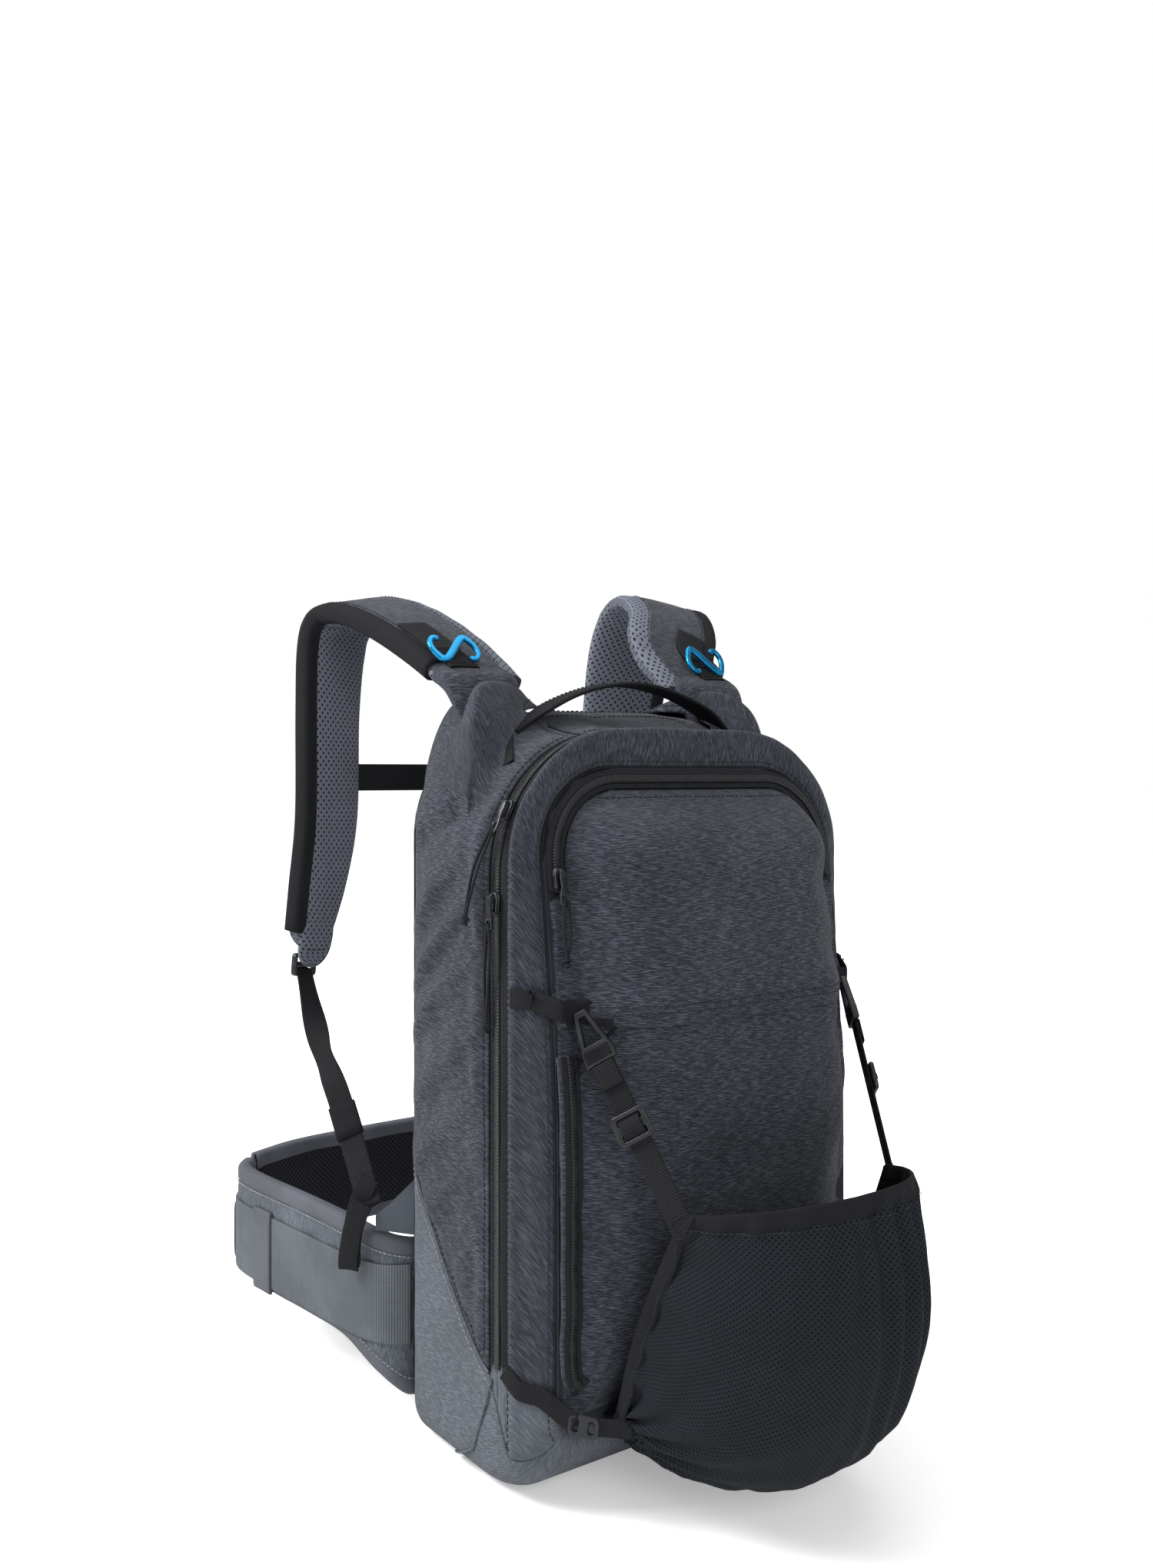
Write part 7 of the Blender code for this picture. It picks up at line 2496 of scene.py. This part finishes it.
@dataclass
class HipBelt:
    """Padded wings with stretch binding, ribbed elastic, keeper and closing tab."""

    wardrobe: Wardrobe
    thick: float = 0.010
    elastic_low: float = 0.056
    elastic_high: float = 0.112
    elastic_thick: float = 0.002
    elastic_ends: tuple[int, int] = (2, 17)
    finer: int = 6

    def __post_init__(self) -> None:
        """Set out the wings' routes, each with its number of segments."""
        root = ((-0.118, 0.0908, 0.020, 0.126), (-0.135, 0.0932, 0.020, 0.128),
                (-0.1490, 0.1050, 0.035, 0.132), (-0.1570, 0.140, 0.051, 0.136),
                (-0.1625, 0.190, 0.053, 0.137), (-0.1680, 0.240, 0.053, 0.137),
                (-0.1715, 0.280, 0.055, 0.137))
        left = ((-0.1690, 0.305, 0.058, 0.137), (-0.1575, 0.3225, 0.062, 0.136))
        right = ((-0.1690, 0.305, 0.056, 0.138), (-0.1500, 0.328, 0.057, 0.138),
                 (-0.110, 0.342, 0.058, 0.138), (-0.055, 0.349, 0.058, 0.138), (0.0, 0.351, 0.058, 0.138),
                 (0.055, 0.349, 0.058, 0.138), (0.108, 0.343, 0.058, 0.138), (0.1520, 0.3285, 0.062, 0.137))
        self.routes = {Side.LEFT: (root + left, 18), Side.RIGHT: (root + right, 30)}

    def stations(self, side: Side, count: int) -> list[tuple[Vector, Vector, float, float]]:
        """Middle, outward direction, low and high edge along a wing, as if it were the left one."""
        samples = spline(self.routes[side][0], count)
        result = []
        for index, here in enumerate(samples):
            ahead = ahead_at(samples, index)
            out = Vector((-ahead[1], ahead[0], 0.0)).normalized()
            result.append((Vector((here[0], here[1], (here[2] + here[3]) / 2.0)), out, here[2], here[3]))
        return result

    def build(self) -> None:
        """Make and dress both wings."""
        for side in Side:
            self._wing(side)

    def _wing(self, side: Side) -> None:
        """Padded wing with its binding and stitches."""
        count = self.routes[side][1] * self.finer
        stations = self.stations(side, count)
        sides = 36
        frames = [(side.place(middle), UP, side.place(out)) for middle, out, _low, _high in stations]
        heights = [high - low for _middle, _out, low, high in stations]

        def shape(share: float) -> Outline:
            """Padded section with soft ripples."""
            index = min(int(share * count + 0.5), count)
            ends = mix(0.45, 1.0, ease(min(share, 1.0 - share) / 0.02))
            points = []
            for x, y in rounded_section(heights[index], self.thick, sides, 4.0):
                swell = 1.0 + 0.12 * (1.0 - (2.0 * x / heights[index]) ** 2)
                ripple = 0.0008 * math.sin(60.0 * share + 30.0 * x) * ease(min(share, 1.0 - share) / 0.1)
                calm = max(1.0 - (2.2 * x / heights[index]) ** 2, 0.0)
                points.append((x, y * swell * ends + ripple * calm))
            return points

        def slots(place: int, _share: float) -> int:
            """Spacer mesh on the wearer's side."""
            return 1 if math.sin(2.0 * math.pi * (place + 1.0) / sides) < 0.0 else 0

        wing = sweep(f"belt_pad_{side.word}", frames, shape, slots)
        body = f"belt_{side.word}"
        self.wardrobe.wear(wing, body, GREY, SPACER, stands_for=[f"belt_wing_{side.word}"])
        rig.padded(wing, 0.7)
        for word, sign in (("top", 1.0), ("bottom", -1.0)):
            band_frames = [(origin + UP * (sign * (height / 2.0 - 0.0055)), UP, out)
                           for (origin, _way, out), height in zip(frames, heights)][2:-1]
            band = sweep(f"belt_binding_{word}_{side.word}", band_frames,
                         lambda _share: rounded_section(0.0140, self.thick * 1.12, 18, 3.0))
            self.wardrobe.wear(band, body, STRETCH)
            seam = [(origin - UP * (sign * 0.0058) + out * (self.thick * 0.53 + 0.0003), out)
                    for origin, _way, out in band_frames]
            self.wardrobe.sew(f"belt_stitches_{word}_{side.word}", seam, body, PALE_THREAD,
                              stitch=BELT_STITCH)
        self._elastic(side, body, stations)

    def _elastic(self, side: Side, body: str,
                 stations: Sequence[tuple[Vector, Vector, float, float]]) -> None:
        """Ribbed elastic over the wing, with a keeper and an end tab."""
        proud = self.thick / 2.0 + 0.0014
        first, last = (end * self.finer for end in self.elastic_ends)
        middle_z = (self.elastic_low + self.elastic_high) / 2.0
        frames: list[Frame] = []
        for middle, out, _low, _high in stations[first:last + 1]:
            place = Vector((middle.x, middle.y, middle_z)) + out * proud
            frames.append((side.place(place), UP, side.place(out)))
        height = self.elastic_high - self.elastic_low

        def strip(word: str, reach: slice, lift: float, shape: Outline) -> bpy.types.Object:
            """Part of the elastic's line, raised, in a section of its own."""
            raised = [(origin + out * lift, way, out) for origin, way, out in frames[reach]]
            return sweep(f"belt_{word}_{side.word}", raised, lambda _share: shape)

        band = strip("band", slice(None), 0.0, rounded_section(height, self.elastic_thick, 24, 6.0))
        self.wardrobe.wear(band, body, ELASTIC, stands_for=[f"belt_elastic_{side.word}"])
        keeper = strip("keeper", slice(-36, -27), 0.0010, rounded_section(height + 0.008, 0.0036, 16, 5.0))
        self.wardrobe.wear(keeper, body, STRETCH)
        tab = strip("tab", slice(-7, None), 0.0004, rounded_section(height * 0.80, 0.0034, 16, 5.0))
        self.wardrobe.wear(tab, body, WEBBING)


# The handle and the back


@dataclass
class HaulHandle:
    """Webbing handle over the top of the pack."""

    wardrobe: Wardrobe
    span: float = 0.099
    rise: float = 0.036
    width: float = 0.024
    end_width: float = 0.010
    thick: float = 0.0030
    depth_y: float = 0.010

    def build(self) -> None:
        """Make and dress the handle."""
        half, _bottom, top, _low, high = FORM.outline(self.depth_y)
        drop = high - math.sqrt(high**2 - (self.span - half + high) ** 2)
        end_z = top - drop + 0.0035 / 2.0 + 0.0012
        points = []
        widths = []
        count = 72
        for index in range(count + 1):
            share = 2.0 * index / count - 1.0
            points.append(Vector((self.span * share, self.depth_y + 0.0012 * math.sin(7.0 * share),
                                  end_z + self.rise * (1.0 - share**2))))
            widths.append(mix(self.end_width, self.width, ease((1.0 - abs(share)) / 0.35)))
        frames = path_frames(points, UP)

        def shape(share: float) -> Outline:
            """Section that narrows towards the ends."""
            return rounded_section(widths[min(int(share * count + 0.5), count)], self.thick, 14, 4.5)

        piece = sweep("handle_strap", frames, shape)
        self.wardrobe.wear(piece, "handle", WEBBING, stands_for=["haul_handle"])
        places = ((-0.0080, 0.399), (-0.001, 0.4025), (0.005, 0.4055), (0.011, 0.409))
        line = spline([FORM.rim(depth, share, -0.0018) for depth, share in places], 30)
        corner = Vector((-half + high, 0.0, top - high))
        for side in Side:
            root = side.frames(path_frames(
                line, lambda _index, point: Vector((point.x - corner.x, 0.0, point.z - corner.z))))
            self.wardrobe.wear(webbing(f"handle_root_{side.word}", root, 0.016, 0.0020), "pack", WEBBING)
        for word, sign in (("front", -1.0), ("rear", 1.0)):
            seam = [(origin + way * (sign * (size / 2.0 - 0.003)) + out * (self.thick / 2.0), out)
                    for (origin, way, out), size in zip(frames[10:-10], widths[10:-10])]
            self.wardrobe.sew(f"handle_stitches_{word}", seam, "handle", stitch=HANDLE_STITCH)


@dataclass
class BackSystem:
    """Back cloth, ventilated pads and the protector inside."""

    wardrobe: Wardrobe
    pad_width: float = 0.200
    pad_depth: float = 0.014
    rear: float = 0.0854
    binding: float = 0.0028
    floor_gap: float = 0.0030

    @property
    def edge_y(self) -> float:
        """Depth at which the back's outline is taken."""
        return FORM.back_y - 0.0045

    def half_at(self, z: float, inset: float) -> float:
        """Half width of the back at a height."""
        half, bottom, top, low, high = FORM.outline(self.edge_y)
        if z > top - high:
            return half - high + math.sqrt(max((high - inset) ** 2 - (z - top + high) ** 2, 0.0))
        if z < bottom + low:
            return half - low + math.sqrt(max((low - inset) ** 2 - (bottom + low - z) ** 2, 0.0))
        return half - inset

    def build(self) -> None:
        """Make and dress the back."""
        _half, bottom, top, _low, _high = FORM.outline(self.edge_y)

        def back(u: float, v: float) -> Vector:
            """Back from edge to edge."""
            z = mix(bottom + 0.0006, top - 0.0006, 0.5 - 0.5 * math.cos(math.pi * v))
            return Vector((math.sin(math.pi * (u - 0.5)) * self.half_at(z, 0.0004), FORM.back_y, z))

        sheet = Sheet("back_cloth", back, 64, 96, PACK_MIDDLE,
                      lambda u, v, point: -0.0008 + 0.0007 * wander(point, (26.0, 10.0, 26.0), 4.0))
        self.wardrobe.wear(sheet.thicken(0.0030), "pack", SPACER, stands_for=["back_panel"])
        edge = [FORM.rim(self.edge_y, share, 0.0010) + Vector((0.0, 0.0010, 0.0))
                for share in spread(-0.5, 0.5, 240)[:-1]]
        for point in edge:
            point.z = max(point.z, self.floor_gap)
        self.wardrobe.wear(round_tube("back_binding", edge, self.binding, closed=True), "pack", BINDING)
        self.wardrobe.keep("back_protector", PROTECTOR)
        self._pad("back_pad", 0.165, 0.450, 0.020, 60, 84)
        self._pad("lumbar_pad", 0.050, 0.155, 0.016, 60, 34)

    def _pad(self, node: str, low: float, high: float, channel: float, columns: int, rows: int) -> None:
        """One ventilated pad with a channel down its middle."""

        def face(u: float, v: float) -> Vector:
            """Pad with round edges and a channel."""
            across = 2.0 * u - 1.0
            up = 2.0 * v - 1.0
            crown = (1.0 - abs(across) ** 6) * (1.0 - abs(up) ** 8)
            groove = 1.0 - 0.7 * math.exp(-((across * self.pad_width / 2.0 / channel) ** 4))
            depth = 0.001 + (self.pad_depth - 0.004) * crown * groove
            return Vector((across * self.pad_width / 2.0, self.rear + depth, mix(low, high, v)))

        sheet = Sheet(f"{node}_cloth", face, columns, rows, Vector((0.0, 0.0, (low + high) / 2.0)))
        sheet.settle(4.0, 0.015, 0.005, 3)
        edges = (("low", 0.03), ("high", 0.97))
        lines = {word: sheet.seam((0.03, v), (0.97, v), 90, 0.0003) for word, v in edges}
        self.wardrobe.wear(sheet.thicken(0.0010), "pack", FOAM, stands_for=[node])
        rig.padded(sheet.piece, 0.7)
        for word, line in lines.items():
            self.wardrobe.sew(f"{node}_stitches_{word}", line, "pack")


# Floor, light and camera


@dataclass
class Studio:
    """Pale floor, soft light from the left and above, and the camera."""

    image_height: float = 2040.0
    focal_pixels: float = 1765.0
    centre_u: float = 828.0
    principal_u: float = 750.0
    principal_v: float = 1005.0
    distance: float = 0.97
    eye_height: float = 0.46
    look: tuple[float, float] = (0.588, 0.809)
    sensor: float = 36.0
    shadow_near: float = 0.25
    shadow_far: float = 0.70
    floor_glow: float = 0.30
    floor_reach: float = 6.0
    world_light: float = 0.42

    def build(self) -> None:
        """Make the floor, world, lights and camera."""
        self._floor()
        self._world()
        self._lights()
        self._camera()
        bpy.context.scene.view_settings.view_transform = "Standard"

    def _floor(self) -> None:
        """Pale floor that turns white away from the pack."""
        mesh = bpy.data.meshes.new("floor")
        corners = ((-1.0, -1.0), (1.0, -1.0), (1.0, 1.0), (-1.0, 1.0))
        mesh.from_pydata([(self.floor_reach * x, self.floor_reach * y, 0.0) for x, y in corners], [],
                         [(0, 1, 2, 3)])
        floor = bpy.data.objects.new("floor", mesh)
        bpy.context.scene.collection.objects.link(floor)
        material = bpy.data.materials.new("pale_floor")
        material.use_nodes = True
        sheet = NodeSheet(material.node_tree)
        shader = material.node_tree.nodes["Principled BSDF"]
        shader.inputs["Base Color"].default_value = (0.93, 0.93, 0.93, 1.0)
        shader.inputs["Roughness"].default_value = 0.95
        shader.inputs["Specular IOR Level"].default_value = 0.0
        shader.inputs["Emission Color"].default_value = (1.0, 1.0, 1.0, 1.0)
        away = sheet.vector("LENGTH", sheet.vector("MULTIPLY", sheet.place(), (1.0, 1.0, 0.0)))
        glow = sheet.remap(away, self.shadow_near, self.shadow_far, self.floor_glow, 1.0)
        seen = sheet.add("ShaderNodeLightPath").outputs["Is Camera Ray"]
        sheet.join(sheet.math("MULTIPLY", glow, seen), shader.inputs["Emission Strength"])
        mesh.materials.append(material)
        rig.stage(floor)

    def _world(self) -> None:
        """Even light all round, white where the camera sees it."""
        world = bpy.data.worlds.new("studio")
        world.use_nodes = True
        bpy.context.scene.world = world
        sheet = NodeSheet(world.node_tree)
        background = world.node_tree.nodes["Background"]
        seen = sheet.add("ShaderNodeLightPath").outputs["Is Camera Ray"]
        sheet.join(sheet.remap(seen, 0.0, 1.0, self.world_light, 1.0), background.inputs["Strength"])
        background.inputs["Color"].default_value = (1.0, 1.0, 1.0, 1.0)

    def _lights(self) -> None:
        """Three soft lamps that aim at the pack."""
        aim = Vector((0.0, 0.05, 0.28))
        lamps = (("key", (-1.3, 0.75, 1.35), 0.7, 40.0), ("front", (-0.7, -2.0, 1.1), 1.1, 23.0),
                 ("over", (0.1, 0.0, 2.2), 1.8, 24.0))
        for name, place, size, power in lamps:
            lamp = bpy.data.lights.new(name, "AREA")
            lamp.shape = "SQUARE"
            lamp.size = size
            lamp.energy = power
            item = bpy.data.objects.new(name, lamp)
            item.location = place
            item.rotation_euler = (aim - Vector(place)).to_track_quat("-Z", "Y").to_euler()
            bpy.context.scene.collection.objects.link(item)
            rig.stage(item)

    def _camera(self) -> None:
        """Camera at the photograph's viewing angle."""
        forward = Vector((self.look[0], self.look[1], 0.0)).normalized()
        right = Vector((self.look[1], -self.look[0], 0.0)).normalized()
        place = -forward * self.distance
        place -= right * ((self.centre_u - self.principal_u) * self.distance / self.focal_pixels)
        place += UP * self.eye_height
        camera = bpy.data.cameras.new("camera")
        camera.sensor_fit = "VERTICAL"
        camera.sensor_height = self.sensor
        camera.lens = self.focal_pixels * self.sensor / self.image_height
        camera.shift_y = -(self.image_height / 2.0 - self.principal_v) / self.image_height
        item = bpy.data.objects.new("camera", camera)
        rotation = Matrix((right, UP, -forward)).transposed()
        item.matrix_world = Matrix.Translation(place) @ rotation.to_4x4()
        bpy.context.scene.collection.objects.link(item)
        bpy.context.scene.camera = item


def plain(bounds: Iterable[Iterable[float]]) -> list[list[float]]:
    return [[float(value) for value in corner] for corner in bounds]


def main() -> None:
    """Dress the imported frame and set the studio."""
    logging.basicConfig(level=logging.INFO, format="%(name)s: %(message)s")
    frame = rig.load()
    before = plain(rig.bounds())
    wardrobe = Wardrobe(frame)
    net = CarrierNet(wardrobe)
    assemblies = (BodyPanels(wardrobe), MainZip(wardrobe), FrontLid(wardrobe), net,
                  CarrierStraps(wardrobe, net), ZipHardware(wardrobe), Harness(wardrobe),
                  HipBelt(wardrobe), HaulHandle(wardrobe), BackSystem(wardrobe))
    for assembly in assemblies:
        LOG.info("building %s", type(assembly).__name__)
        assembly.build()
    Studio().build()
    SIZE_FILE.write_text(json.dumps({"cad": before, "visual": plain(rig.bounds())}))


if __name__ == "__main__":
    main()
